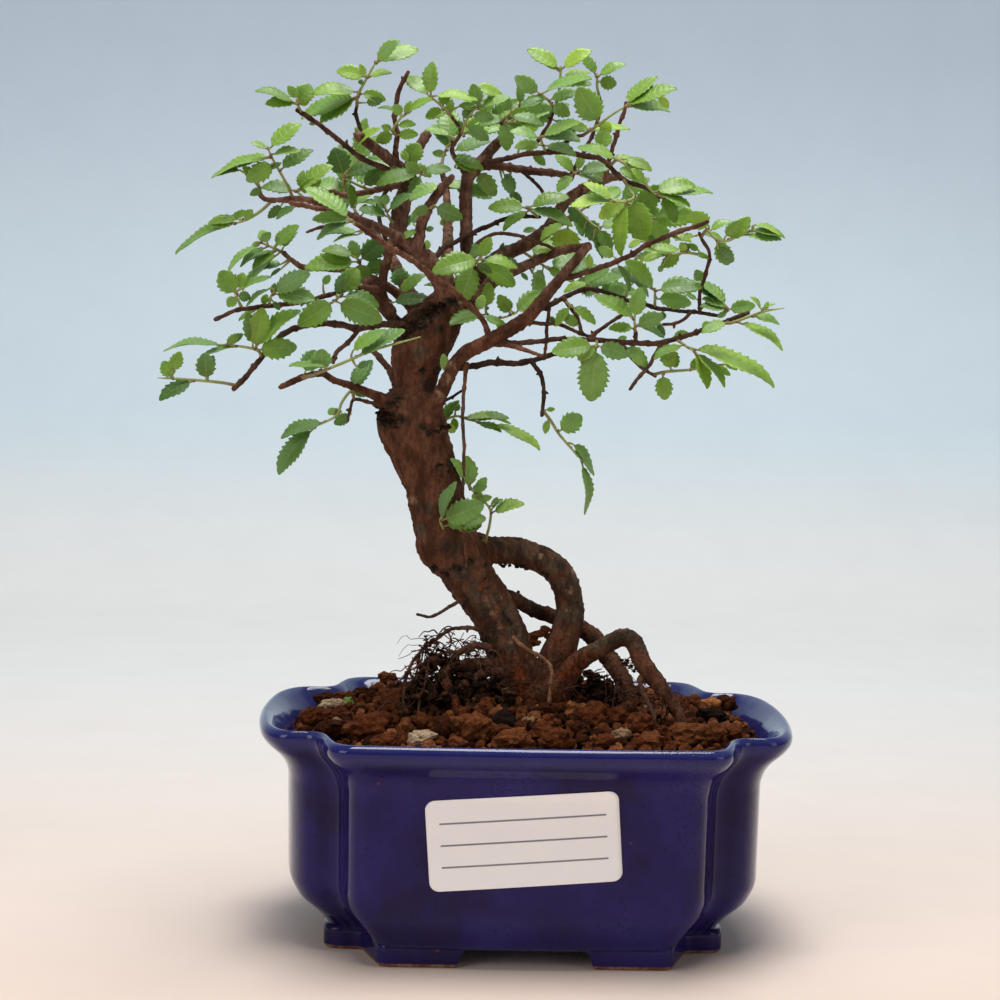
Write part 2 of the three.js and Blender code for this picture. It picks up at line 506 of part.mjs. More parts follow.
  right_edge_twig: [[700, 313, 1, 0.75], [700, 295, -2, 0.7], [705, 276, -5, 0.7],
    [709, 261, -8, 0.7], [709, 250, -10, 0.7], [702, 240, -12, 0.65], [699, 233, -13, 0.6]],
  mid_back: [[430, 262, -5, 1.3], [445, 248, 0, 1], [460, 239, 3, 0.95], [486, 227, 9, 0.9],
    [511, 217, 11, 0.85], [540, 217, 12, 0.7]],
  mid_curve: [[467, 252, 6, 0.8], [478, 243, 5, 0.75], [493, 234, 4, 0.75], [516, 235, 4, 0.7],
    [539, 243, 6, 0.7], [558, 251, 9, 0.6]],
  crown_twig_a: [[467, 176, 7, 1], [452, 150, 5, 0.8], [461, 132, 4, 0.7], [452, 117, 3, 0.6]],
  crown_twig_b: [[498, 145, 12, 0.9], [506, 132, 11, 0.8], [500, 122, 10, 0.7]],
  crown_twig_c: [[527, 154, 3, 0.8], [540, 138, 3, 0.7], [549, 122, 4, 0.65], [556, 104, 5, 0.6],
    [559, 94, 6, 0.55]],
  crown_twig_d: [[556, 152, 0, 0.8], [572, 138, 0, 0.7], [582, 136, 0, 0.65]],
  crown_twig_e: [[569, 177, 18, 0.9], [585, 150, 17, 0.8], [598, 120, 16, 0.7], [600, 98, 15, 0.6]],
  back_left: [[424, 338, 4, 2.6], [412, 300, 15, 2], [395, 265, 25, 1.6], [375, 235, 33, 1.2],
    [355, 215, 39, 0.9]],
  back_right: [[440, 318, 5, 2.6], [470, 290, 18, 2], [505, 258, 28, 1.6], [545, 232, 35, 1.2],
    [575, 215, 40, 0.9]],
  back_mid: [[446, 303, 5, 2.2], [447, 262, 18, 1.7], [448, 225, 27, 1.3], [446, 190, 33, 1],
    [440, 165, 37, 0.8]],
};

// Roots run on down into the soil from their last station.
const ROOT_SINK = 7;
// Facets round a limb, by the radius that it is thicker than.
const LIMB_SIDES = [[3, 6], [1.6, 5], [0.95, 4], [0, 3]];
const TRUNK_SIDES = 10;
const TRUNK_FLUTE = 0.05;
const FLUTES = 3;
const FLUTE_TWIST = 9;
const LIMB_STEPS = 0.45;
const TRUNK_NAMES = ['trunk', 'crown'];
const isRoot = (name) => name === 'trunk' || (name.includes('root') && name !== 'dead_root');

function limbCurve(name) {
  const stations = LIMBS[name].map(([column, row, depth]) => seen(column, row, depth));
  if (isRoot(name)) {
    const low = name === 'trunk' ? 0 : stations.length - 1;
    const sunk = stations[low].clone();
    sunk.z -= ROOT_SINK;
    if (name === 'trunk') {
      stations.unshift(sunk);
    } else {
      stations.push(sunk);
    }
  }
  return new THREE.CatmullRomCurve3(stations, false, 'catmullrom', 0.5);
}

function limbRadius(name, along) {
  const radii = LIMBS[name].map(([, , , radius]) => radius);
  if (isRoot(name)) {
    if (name === 'trunk') {
      radii.unshift(radii[0]);
    } else {
      radii.push(radii[radii.length - 1]);
    }
  }
  const place = along * (radii.length - 1);
  const index = Math.min(Math.floor(place), radii.length - 2);
  return radii[index] + (radii[index + 1] - radii[index]) * (place - index);
}

// A tube of changing radius along a curve. Thick wood is fluted, not round.
function tube(curve, radiusAt, steps, sides, flute) {
  const frames = curve.computeFrenetFrames(steps, false);
  const rings = [];
  for (let i = 0; i <= steps; i += 1) {
    const share = i / steps;
    const centre = curve.getPointAt(share);
    const radius = radiusAt(curve.getUtoTmapping(share));
    const ring = [];
    for (let side = 0; side < sides; side += 1) {
      const angle = (side / sides) * 2 * Math.PI;
      const reach = radius * (1 + flute * Math.sin(FLUTES * angle + share * FLUTE_TWIST));
      ring.push(centre.clone()
        .addScaledVector(frames.normals[i], reach * Math.cos(angle))
        .addScaledVector(frames.binormals[i], reach * Math.sin(angle)));
    }
    rings.push(ring);
  }
  return solid(loft(rings));
}

function limb(name, extra) {
  const thick = Math.max(...LIMBS[name].map(([, , , radius]) => radius));
  const isTrunk = TRUNK_NAMES.includes(name);
  const sides = isTrunk ? TRUNK_SIDES : LIMB_SIDES.find(([radius]) => thick > radius)[1];
  const steps = Math.max(2, Math.round(LIMBS[name].length * (isTrunk ? 1 : LIMB_STEPS)));
  return tube(
    limbCurve(name), (along) => limbRadius(name, along) + extra, steps, sides, isTrunk ? TRUNK_FLUTE : 0,
  );
}

function makeWood(extra) {
  let wood = null;
  for (const name of Object.keys(LIMBS)) {
    const grown = limb(name, extra);
    wood = wood ? wood.add(grown) : grown;
  }
  return wood;
}

// Leafy shoots. Each grows on a limb. Its stem is stations of column, row and depth from
// there, and each leaf is how far along the stem it sits, the column and row of its tip,
// and how wide it shows.
const SPRAYS = {
  leaves_top_left_peak: { on: 'top_twig',
    stem: [[357, 107, 0], [358, 95, -1], [368, 76, -2], [377, 60, -3]],
    leaves: [[1, 402, 36, 14], [0.95, 416, 48, 14], [0.62, 338, 70, 13], [0.62, 390, 71, 6],
      [0.3, 312, 91, 13], [0.22, 303, 117, 16], [0.28, 385, 99, 11], [0.2, 321, 120, 15]] },
  leaves_upper_left_tip: { on: 'upper_left_twig',
    stem: [[301, 112, 0], [298, 106, -1], [296, 101, -2]],
    leaves: [[0.9, 258, 89, 8], [1, 310, 85, 18], [0.8, 267, 102, 10], [0.6, 309, 99, 8]] },
  leaves_left_fan: { on: 'left_reach',
    stem: [[294, 200, 0], [288, 187, -2], [281, 174, -3], [272, 158, -4], [267, 146, -5]],
    leaves: [[1, 299, 124, 14], [1, 252, 142, 6], [0.85, 299, 150, 7], [0.8, 235, 166, 9],
      [0.82, 213, 175, 9], [0.7, 248, 180, 18], [0.55, 311, 150, 13]] },
  leaves_left_middle: { on: 'left_reach',
    stem: [[305, 200, 0], [300, 194, 2], [294, 189, 3]],
    leaves: [[1, 330, 165, 14], [0.8, 320, 181, 13], [0.9, 263, 186, 12]] },
  leaves_left_long_shoot: { on: 'left_reach',
    stem: [[272, 200, 0], [262, 210, -2], [250, 218, -3], [240, 222, -4], [228, 225, -5]],
    leaves: [[1, 176, 249, 8], [0.85, 209, 223, 11], [0.7, 252, 210, 9], [0.25, 299, 211, 12]] },
  leaves_left_mid_tip: { on: 'left_mid',
    stem: [[283, 253, 0], [276, 249, -2], [267, 245, -3], [257, 241, -4]],
    leaves: [[1, 270, 233, 9], [1, 226, 273, 6], [0.6, 240, 264, 6], [0.4, 297, 226, 12],
      [0.25, 253, 267, 10], [0.1, 243, 288, 8]] },
  leaves_left_round: { on: 'left_low',
    stem: [[242, 309, 0], [238, 300, -1], [235, 292, -1]],
    leaves: [[1, 221, 272, 20], [0.9, 250, 297, 10], [0.8, 228, 306, 10]] },
  leaves_left_low_mid: { on: 'left_low',
    stem: [[268, 306, 0], [270, 299, -2], [274, 291, -3]],
    leaves: [[1, 308, 274, 17], [0.9, 313, 298, 17], [0.7, 245, 304, 6], [0.4, 239, 320, 5]] },
  leaves_big_pair: { on: 'left_low',
    stem: [[344, 291, 0], [340, 296, -3], [333, 303, -5]],
    leaves: [[1, 300, 324, 22], [0.9, 380, 320, 26], [0.4, 357, 269, 20], [0.5, 378, 304, 14]] },
  leaves_centre_left: { on: 'left_mid',
    stem: [[362, 275, 0], [362, 268, -4], [358, 260, -8]],
    leaves: [[1, 307, 266, 20], [0.9, 363, 282, 22], [0.95, 351, 241, 12], [0.9, 383, 241, 20],
      [0.5, 391, 266, 14]] },
  leaves_front_tip: { on: 'front_twig',
    stem: [[357, 226, 0], [353, 222, -1], [350, 219, -2]],
    leaves: [[1, 314, 217, 12], [0.8, 317, 236, 8], [0.9, 307, 188, 15]] },
  leaves_upper_left_mid: { on: 'mid_left_twig',
    stem: [[372, 191, 0], [360, 186, -2], [350, 181, -3], [341, 175, -4]],
    leaves: [[1, 335, 149, 22], [0.9, 376, 164, 12], [0.3, 381, 169, 14], [0.7, 352, 207, 9]] },
  leaves_high_twig: { on: 'high_twig',
    stem: [[397, 137, 0], [393, 130, -3], [399, 120, -4], [408, 111, -4]],
    leaves: [[0.1, 417, 134, 10], [0.2, 377, 141, 12], [0.35, 382, 126, 7], [1, 430, 99, 7],
      [0.8, 394, 105, 10], [0.5, 415, 124, 7]] },
  leaves_high_stub: { on: 'high_stub',
    stem: [[410, 170, 0], [406, 163, -3], [414, 170, -6], [424, 174, -8]],
    leaves: [[0.3, 419, 144, 18], [0.9, 378, 182, 14], [1, 406, 164, 11], [1, 411, 200, 12],
      [1, 450, 168, 10]] },
  leaves_upright_shoot: { on: 'left_upright',
    stem: [[397, 226, 0], [389, 218, -3], [386, 208, -4]],
    leaves: [[1, 410, 194, 9], [1, 375, 196, 8], [0.6, 361, 208, 9]] },
  leaves_front_leader: { on: 'front_leader',
    stem: [[425, 214, 0], [430, 208, -2], [436, 204, -3]],
    leaves: [[1, 461, 218, 16], [0.6, 414, 213, 10]] },
  leaves_top_pair: { on: 'crown_twig_a',
    stem: [[452, 117, 0], [446, 110, -2], [437, 102, -3], [428, 95, -4]],
    leaves: [[1, 432, 63, 14], [1, 407, 76, 14], [0.4, 426, 116, 9], [0.45, 445, 92, 11]] },
  leaves_top_mid_left: { on: 'crown_twig_a',
    stem: [[461, 134, 0], [466, 122, -2], [473, 111, -3], [482, 106, -3]],
    leaves: [[0.8, 440, 97, 9], [1, 473, 85, 14], [0.9, 460, 105, 8], [0.3, 488, 139, 13],
      [0.6, 493, 118, 11], [1, 508, 97, 9]] },
  leaves_top_centre: { on: 'crown_twig_b',
    stem: [[501, 124, 0], [507, 117, -2], [515, 110, -3], [523, 104, -3]],
    leaves: [[1, 543, 98, 12], [0.3, 478, 124, 10], [0.6, 499, 96, 13], [0.4, 542, 123, 10],
      [0.2, 507, 149, 15], [1, 519, 84, 8]] },
  leaves_top_peak: { on: 'crown_twig_c',
    stem: [[559, 94, 0], [560, 80, -1], [561, 66, -1]],
    leaves: [[0.95, 529, 50, 13], [1, 589, 50, 12], [0.8, 541, 61, 6], [0.55, 588, 72, 7],
      [0.35, 590, 82, 10]] },
  leaves_top_front: { on: 'crown_twig_c',
    stem: [[555, 108, 0], [547, 99, -3], [538, 92, -4]],
    leaves: [[1, 588, 77, 9], [1, 516, 77, 15], [0.5, 577, 92, 11], [0.3, 569, 115, 13],
      [0.6, 521, 107, 8]] },
  leaves_top_right_peak: { on: 'crown_twig_e',
    stem: [[599, 99, 0], [597, 86, -1], [597, 73, -1]],
    leaves: [[1, 581, 53, 10], [1, 624, 63, 9], [0.7, 616, 84, 13]] },
  leaves_yellow_shoot: { on: 'crown_twig_d',
    stem: [[582, 136, 0], [598, 125, -2], [613, 114, -3], [628, 105, -4]],
    leaves: [[1, 673, 87, 13], [1, 655, 77, 11], [1, 669, 108, 11], [0.15, 628, 126, 9],
      [0.4, 579, 90, 28], [0.35, 611, 131, 14], [0.2, 568, 125, 10]] },
  leaves_centre_bright: { on: 'arching_branch',
    stem: [[545, 152, 0], [542, 143, -3], [540, 134, -4]],
    leaves: [[1, 578, 138, 9], [0.5, 575, 153, 9], [0.9, 577, 123, 10], [0.8, 512, 130, 9],
      [0.5, 516, 146, 11]] },
  leaves_centre_fan: { on: 'straight_branch',
    stem: [[569, 177, 0], [574, 174, -2], [580, 170, -3]],
    leaves: [[0.6, 557, 155, 10], [1, 583, 154, 8], [1, 610, 167, 12], [0.6, 602, 180, 8],
      [0.5, 558, 190, 9]] },
  leaves_arch_end: { on: 'arching_branch',
    stem: [[610, 166, 0], [618, 160, -3], [632, 170, -5], [645, 183, -6], [655, 194, -6],
      [668, 198, -6]],
    leaves: [[0.2, 580, 146, 9], [0.25, 649, 167, 10], [0.6, 621, 168, 11], [0.8, 694, 184, 15],
      [0.85, 689, 205, 8], [0.9, 676, 221, 13], [1, 711, 191, 9]] },
  leaves_hanging_pair: { on: 'arching_branch',
    stem: [[624, 179, 0], [630, 190, -4], [634, 197, -6], [625, 202, -8], [611, 201, -9]],
    leaves: [[0.5, 643, 241, 28], [0.7, 619, 253, 17], [0.65, 600, 217, 15], [1, 585, 183, 9],
      [1, 573, 204, 9], [0.4, 654, 191, 8]] },
  leaves_centre_right: { on: 'far_leader',
    stem: [[568, 200, 0], [580, 212, -4], [590, 222, -6], [600, 229, -8]],
    leaves: [[0.6, 598, 241, 17], [1, 611, 252, 13], [0.4, 587, 232, 11], [1, 632, 222, 12]] },
  leaves_mid_back: { on: 'mid_back',
    stem: [[538, 217, 0], [531, 211, -4], [526, 206, -6]],
    leaves: [[1, 567, 196, 11], [0.9, 571, 224, 12], [1, 490, 207, 14], [0.7, 503, 228, 8]] },
  leaves_round_light: { on: 'far_leader',
    stem: [[556, 217, 0], [563, 221, -5], [570, 225, -8]],
    leaves: [[1, 564, 250, 30], [0.7, 541, 238, 9]] },
  leaves_big_centre: { on: 'upright_leader',
    stem: [[468, 268, 0], [473, 264, -8], [482, 258, -14]],
    leaves: [[1, 435, 270, 22], [0.6, 461, 301, 24], [0.7, 514, 284, 19], [1, 516, 266, 9],
      [0.9, 490, 238, 12]] },
  leaves_right_edge: { on: 'right_edge_twig',
    stem: [[701, 238, 0], [707, 230, -2], [716, 239, -4], [727, 241, -4], [740, 235, -4],
      [753, 229, -4]],
    leaves: [[0.2, 694, 213, 18], [0.22, 729, 220, 7], [0.42, 728, 264, 16], [0.6, 749, 218, 15],
      [0.8, 780, 238, 11], [1, 784, 235, 6]] },
  leaves_right_inner: { on: 'right_edge_twig',
    stem: [[708, 258, 0], [696, 254, -2], [683, 253, -4], [668, 255, -5]],
    leaves: [[0.6, 681, 243, 8], [0.7, 662, 266, 12], [1, 642, 247, 8], [1, 636, 258, 9]] },
  leaves_right_mid: { on: 'right_back_twig',
    stem: [[655, 308, 0], [655, 297, -3], [655, 288, -5]],
    leaves: [[1, 628, 261, 14], [0.9, 614, 269, 11], [0.5, 690, 303, 16], [1, 700, 285, 16]] },
  leaves_right_back_end: { on: 'right_back_twig',
    stem: [[720, 316, 0], [725, 311, -2], [729, 308, -3]],
    leaves: [[1, 696, 279, 14], [0.9, 702, 305, 8], [1, 754, 305, 13]] },
  leaves_right_tip: { on: 'low_right_limb',
    stem: [[722, 323, 0], [731, 323, -2], [748, 317, -4], [766, 311, -5], [784, 308, -5]],
    leaves: [[0.25, 783, 345, 9], [0.1, 703, 331, 10], [0.5, 779, 322, 8], [0.7, 768, 302, 5]] },
  leaves_spur: { on: 'spur',
    stem: [[635, 332, 0], [635, 326, -2], [634, 316, -3]],
    leaves: [[1, 597, 295, 14], [1, 640, 289, 16], [0.5, 662, 316, 16], [0.3, 610, 328, 10]] },
  leaves_hanging_leaf: { on: 'low_right_limb',
    stem: [[597, 340, 0], [597, 343, -2], [596, 347, -4]],
    leaves: [[1, 591, 400, 31], [0.9, 554, 351, 19], [0.9, 627, 355, 16], [0.8, 582, 364, 12]] },
  leaves_right_long: { on: 'low_right_limb',
    stem: [[676, 339, 0], [686, 346, -2], [697, 353, -3]],
    leaves: [[0.6, 773, 379, 16], [1, 725, 384, 9], [1, 709, 386, 12], [0.4, 655, 357, 9]] },
  leaves_low_right: { on: 'falling_twig',
    stem: [[654, 375, 0], [665, 372, -1], [688, 370, -1], [713, 367, -1]],
    leaves: [[0.3, 666, 345, 16], [0.15, 665, 399, 16], [0.6, 700, 358, 8], [1, 730, 374, 7],
      [0.1, 641, 352, 10]] },
  leaves_centre_low: { on: 'right_leader',
    stem: [[484, 290, 0], [486, 304, -4], [487, 314, -5], [500, 318, -5], [517, 313, -6]],
    leaves: [[0.4, 489, 284, 13], [0.5, 452, 321, 11], [0.7, 503, 333, 9], [0.9, 499, 296, 13],
      [1, 543, 292, 17]] },
  leaves_kinked_twig: { on: 'kinked_twig',
    stem: [[566, 301, 0], [570, 305, -2], [572, 307, -3]],
    leaves: [[1, 595, 322, 10], [0.8, 556, 325, 9], [0.9, 616, 277, 14]] },
  leaves_lower_left: { on: 'lower_left',
    stem: [[262, 357, 0], [257, 350, -3], [238, 346, -3], [222, 345, -3]],
    leaves: [[0.33, 262, 310, 21], [0.36, 295, 309, 14], [0.3, 295, 347, 20], [1, 166, 346, 6],
      [0.9, 242, 334, 8], [0.7, 202, 355, 6]] },
  leaves_far_left: { on: 'lower_left',
    stem: [[236, 386, 0], [224, 383, -2], [205, 381, -3], [182, 379, -4], [158, 378, -4]],
    leaves: [[0.8, 159, 356, 20], [0.55, 156, 401, 15], [0.4, 205, 354, 18]] },
  leaves_crossing_shoot: { on: 'collar_branch',
    stem: [[300, 379, 0], [315, 374, -3], [345, 362, -6], [374, 350, -8], [420, 337, -10]],
    leaves: [[0.5, 402, 330, 16], [0.2, 322, 350, 19], [0.28, 291, 365, 6]] },
  leaves_collar_shoot: { on: 'collar_twig',
    stem: [[354, 399, 0], [351, 391, -4], [342, 402, -6], [337, 415, -7], [325, 422, -7],
      [312, 428, -7]],
    leaves: [[0.2, 370, 361, 14], [0.22, 369, 393, 9], [0.65, 329, 409, 8], [0.8, 282, 435, 12],
      [1, 278, 471, 18]] },
  leaves_drooping_shoot: { on: 'drooping_twig',
    stem: [[543, 410, 0], [551, 421, -1], [559, 434, -1], [571, 448, -2], [584, 463, -3]],
    leaves: [[1, 588, 512, 10], [0.7, 595, 473, 9], [0.4, 581, 416, 19], [0.15, 545, 433, 7]] },
  leaves_trunk_left: { on: 'trunk',
    stem: [[446, 534, 0], [443, 528, -8], [440, 521, -11], [440, 519, -12]],
    leaves: [[0.95, 454, 483, 10], [1, 482, 505, 23], [0.7, 484, 518, 18]] },
  leaves_trunk_right: { on: 'arch_root',
    stem: [[484, 548, 0], [487, 535, -6], [490, 522, -7], [490, 509, -8], [480, 498, -8],
      [468, 487, -8]],
    leaves: [[0.6, 522, 502, 11], [0.75, 473, 494, 12], [0.3, 474, 552, 10], [1, 453, 459, 9],
      [1, 468, 457, 12], [0.9, 486, 478, 9]] },
  leaves_behind_trunk: { on: 'trunk',
    stem: [[432, 430, 4], [452, 417, 9], [470, 420, 10], [492, 425, 11]],
    leaves: [[0.4, 457, 400, 10], [0.4, 455, 432, 8], [0.65, 509, 419, 8], [1, 539, 445, 8]] },
};

// Shoots on the hidden side, with leaves set by a rule.
const BACK_SPRAYS = {
  leaves_back_left: { on: 'back_left', count: 13,
    stem: [[360, 219, 0], [350, 200, 4], [343, 184, 3], [348, 170, 0], [362, 158, -5]] },
  leaves_back_right: { on: 'back_right', count: 13,
    stem: [[572, 216, 0], [590, 205, 3], [610, 200, 2], [632, 205, -3], [655, 222, -9]] },
  leaves_back_middle: { on: 'back_mid', count: 13,
    stem: [[441, 168, 0], [446, 150, 3], [462, 134, 2], [490, 124, -4], [520, 122, -11]] },
  leaves_back_low: { on: 'back_right', count: 12,
    stem: [[520, 250, 0], [538, 262, 6], [560, 276, 9], [586, 288, 8], [610, 300, 4]] },
};
const RULED_LENGTH = [9, 12.5];
const RULED_WIDTH = 0.56;
const RULED_TURN = [0.4, 0.6];
const RULED_START = 0.18;
const RULED_SHIFT = new THREE.Vector3(0.5, 0.15, 0.35);
const RULED_WAY = [0.6, 0.8];
const STEM_SAMPLES = 12;
const LEAN = [0.5, 0.13];

const woodRods = Object.keys(LIMBS).flatMap((name) => {
  const curve = limbCurve(name);
  const pieces = curve.points.length * 3;
  const rods = [];
  for (let i = 0; i < pieces; i += 1) {
    rods.push({
      start: curve.getPoint(i / pieces),
      end: curve.getPoint((i + 1) / pieces),
      radius: limbRadius(name, (i + 0.5) / pieces),
    });
  }
  return rods;
});

// The point of a limb that shows nearest a column and row.
function onLimb(name, column, row) {
  const curve = limbCurve(name);
  const checks = curve.points.length * 12;
  let best = null;
  let nearest = Infinity;
  for (let i = 0; i <= checks; i += 1) {
    const point = curve.getPoint(i / checks);
    const [atColumn, atRow] = shownAt(point);
    const miss = (atColumn - column) ** 2 + (atRow - row) ** 2;
    if (miss < nearest) {
      nearest = miss;
      best = point;
    }
  }
  return best;
}

function shootCurve(spray) {
  const [first, ...rest] = spray.stem;
  const seat = onLimb(spray.on, first[0], first[1]);
  const stations = rest.map(([column, row, depth]) => seen(column, row, seat.y + depth));
  return new THREE.CatmullRomCurve3([seat, ...stations], false, 'catmullrom', 0.5);
}

// A stem is straight from ring to ring, and its leaves sit on those straights, the last
// ones a little short of its end.
function stemPoint(curve, along) {
  const steps = curve.points.length - 1;
  const place = steps * Math.min(along, 1 - STEM_END / curve.getLength());
  const index = Math.floor(place);
  const start = curve.getPointAt(index / steps);
  const end = curve.getPointAt((index + 1) / steps);
  return start.lerp(end, place - index);
}

// A leaf's frame: base and tip, the way across, and the way its upper face looks. The
// base stands just off the middle of the stem, towards the tip.
function leafFrame(seat, tip, shownWidth) {
  const along = tip.clone().sub(seat).normalize();
  const base = seat.clone().addScaledVector(along, LEAF_SEAT);
  along.copy(tip).sub(base);
  const length = along.length();
  along.divideScalar(length);
  const width = Math.max(shownWidth, LEAF_SLENDER * length);
  const facing = EYE.clone().sub(base);
  facing.addScaledVector(along, -facing.dot(along)).normalize();
  const side = along.clone().cross(facing);
  const turn = Math.acos(Math.min(1, shownWidth / width));
  const sign = side.z >= 0 ? 1 : -1;
  const normal = facing.clone().multiplyScalar(Math.cos(turn));
  normal.addScaledVector(side, sign * Math.sin(turn));
  const across = normal.clone().cross(along);
  return { base, along, across, normal, length, width, shownWidth };
}

function leafPoint(leaf, share, acrossShare) {
  const lift = LEAF_ARCH * leaf.length * 4 * share * (1 - share);
  const edge = acrossShare * leaf.width / 2;
  return leaf.base.clone()
    .addScaledVector(leaf.along, share * leaf.length)
    .addScaledVector(leaf.across, edge)
    .addScaledVector(leaf.normal, lift + LEAF_FOLD * Math.abs(edge));
}

const SAMPLE_SHARES = [[0.35, 0], [0.35, 0.9], [0.35, -0.9], [0.6, 0], [0.6, 0.9], [0.6, -0.9],
  [0.82, 0], [0.82, 0.5], [0.82, -0.5], [1, 0]];

function leafSamples(leaf) {
  return SAMPLE_SHARES.map(([share, acrossShare]) => leafPoint(leaf, share, acrossShare));
}

function rodDistance(rod, point) {
  const run = rod.end.clone().sub(rod.start);
  const share = point.clone().sub(rod.start).dot(run) / run.lengthSq();
  const nearest = rod.start.clone().addScaledVector(run, Math.min(1, Math.max(0, share)));
  return nearest.distanceTo(point);
}

function isClear(samples, others) {
  const nearWood = samples.some((point) => woodRods.some(
    (rod) => rodDistance(rod, point) < rod.radius + WOOD_CLEARANCE,
  ));
  if (nearWood) {
    return false;
  }
  return !samples.some((point) => others.some(
    (other) => other.distanceTo(point) < LEAF_CLEARANCE,
  ));
}

// Every leaf leans to or from the eye by a draw. It is drawn again where it would cross
// another shoot or the wood, and left out where no draw is clear.
function planLeaves() {
  const taken = [];
  const planned = {};
  const draw = drawer(2024);
  const sprays = { ...SPRAYS, ...BACK_SPRAYS };
  const stems = Object.entries(sprays).map(([name, spray]) => {
    const curve = shootCurve(spray);
    return { name, spray, curve };
  });
  for (const { name, curve } of stems) {
    for (let i = 2; i <= STEM_SAMPLES; i += 1) {
      taken.push({ name, point: stemPoint(curve, i / STEM_SAMPLES) });
    }
  }
  for (const { name, spray, curve } of stems) {
    const others = taken.filter((sample) => sample.name !== name).map((sample) => sample.point);
    const leaves = [];
    const place = (choose) => {
      for (let attempt = 0; attempt < LEAF_TRIES; attempt += 1) {
        const leaf = choose(attempt);
        const samples = leafSamples(leaf);
        if (isClear(samples, others)) {
          leaves.push(leaf);
          taken.push(...samples.map((point) => ({ name, point })));
          return;
        }
      }
    };
    if (spray.leaves) {
      for (const [along, column, row, shown] of spray.leaves) {
        const base = stemPoint(curve, along);
        place((attempt) => {
          const flat = seen(column, row, base.y);
          const lean = (draw() - 0.5) * (LEAN[0] + LEAN[1] * attempt) * flat.distanceTo(base);
          const scale = EYE_FOCAL / base.clone().sub(EYE).dot(ahead);
          return leafFrame(base, seen(column, row, base.y + lean), shown / scale);
        });
      }
    } else {
      for (let i = 0; i < spray.count; i += 1) {
        const along = RULED_START + (1 - RULED_START) * (i / (spray.count - 1));
        const base = stemPoint(curve, along);
        place(() => {
          const tangent = curve.getTangentAt(along);
          const outward = new THREE.Vector3(draw(), draw(), draw()).sub(RULED_SHIFT);
          outward.addScaledVector(tangent, -outward.dot(tangent)).normalize();
          const way = tangent.multiplyScalar(RULED_WAY[0]).addScaledVector(outward, RULED_WAY[1]);
          way.normalize();
          const length = RULED_LENGTH[0] + draw() * (RULED_LENGTH[1] - RULED_LENGTH[0]);
          const tip = base.clone().addScaledVector(way, length);
          const turned = RULED_TURN[0] + RULED_TURN[1] * draw();
          return leafFrame(base, tip, length * RULED_WIDTH * turned);
        });
      }
    }
    planned[name] = { curve, leaves };
  }
  return planned;
}

// Half of a leaf's toothed edge, as shares of its length and half width.
const EDGE_LARGE = [[0.2, 0.86], [0.28, 0.78], [0.46, 1], [0.55, 0.84], [0.76, 0.7], [0.83, 0.46]];
const EDGE_MIDDLE = [[0.26, 0.95], [0.38, 0.8], [0.62, 0.92], [0.74, 0.56]];
const EDGE_SMALL = [[0.3, 0.95], [0.66, 0.78]];
const LEAF_MIDDLE = 0.42;
const LARGE_LEAF = 6;
const SMALL_LEAF = 3.6;

// A blade is a ball of two bands. Its waist is drawn out to the toothed outline, and its
// poles lie over and under the midrib, so it is thickest there.
function leafBlade(leaf) {
  let edge = EDGE_MIDDLE;
  if (leaf.width > LARGE_LEAF) {
    edge = EDGE_LARGE;
  }
  if (leaf.width < SMALL_LEAF) {
    edge = EDGE_SMALL;
  }
  const left = edge.map(([share, reach]) => leafPoint(leaf, share, -reach));
  const right = edge.map(([share, reach]) => leafPoint(leaf, share, reach)).reverse();
  const outline = [leafPoint(leaf, 0, 0), ...left, leafPoint(leaf, 1, 0), ...right];
  const middle = leafPoint(leaf, LEAF_MIDDLE, 0);
  const blade = new THREE.SphereGeometry(1, outline.length, 2);
  const corners = blade.attributes.position;
  const corner = new THREE.Vector3();
  for (let i = 0; i < corners.count; i += 1) {
    corner.fromBufferAttribute(corners, i);
    if (Math.abs(corner.y) > 0.5) {
      const rise = corner.y > 0 ? LEAF_THICKNESS * LEAF_CROWN : LEAF_THICKNESS * (LEAF_CROWN - 1);
      corner.copy(middle).addScaledVector(leaf.normal, rise);
    } else {
      const turn = Math.atan2(-corner.z, corner.x) / (2 * Math.PI);
      corner.copy(outline[(Math.round(turn * outline.length) + outline.length) % outline.length]);
    }
    corners.setXYZ(i, corner.x, corner.y, corner.z);
  }
  return solid(blade);
}

// A spray is its stem with every blade that doesn't stand edge on to the front.
function makeSpray({ curve, leaves }, hollow) {
  const [thick, thin] = SHOOT_RADIUS;
  const steps = curve.points.length - 1;
  let spray = tube(curve, (along) => thick + (thin - thick) * along, steps, 3, 0);
  for (const leaf of leaves.filter(({ shownWidth }) => shownWidth > EDGE_ON)) {
    spray = spray.add(leafBlade(leaf));
  }
  return largest(spray.subtract(hollow));
}

// Finishes, one for each kind of piece.
const finish = (color, roughness) => ({ color, roughness, metalness: 0 });
const GLAZE = finish(0x23286e, 0.12);
const BARK = finish(0x5b3c2e, 0.85);
const EARTH = finish(0x6a3a26, 0.95);
const PAPER = finish(0xf2f2ef, 0.6);
const PLASTIC = finish(0x2c2c2c, 0.7);
const LEAF = finish(0x5f9a3a, 0.5);

const group = new THREE.Group();

function addPiece(name, body, look) {
  const mesh = new THREE.Mesh(asGeometry(body), new THREE.MeshStandardMaterial(look));
  mesh.name = name;
  group.add(mesh);
}

const wood = makeWood(0);
const hollow = makeWood(FIT_GAP);
addPiece('pot', makePot(), GLAZE);
addPiece('label', makeLabel(), PAPER);
addPiece('drain_screen_left', makeScreen(-1), PLASTIC);
addPiece('drain_screen_right', makeScreen(1), PLASTIC);
addPiece('soil', makeSoil(hollow), EARTH);
addPiece('trunk_and_branches', wood, BARK);
for (const [name, plan] of Object.entries(planLeaves())) {
  addPiece(name, makeSpray(plan, hollow), LEAF);
}

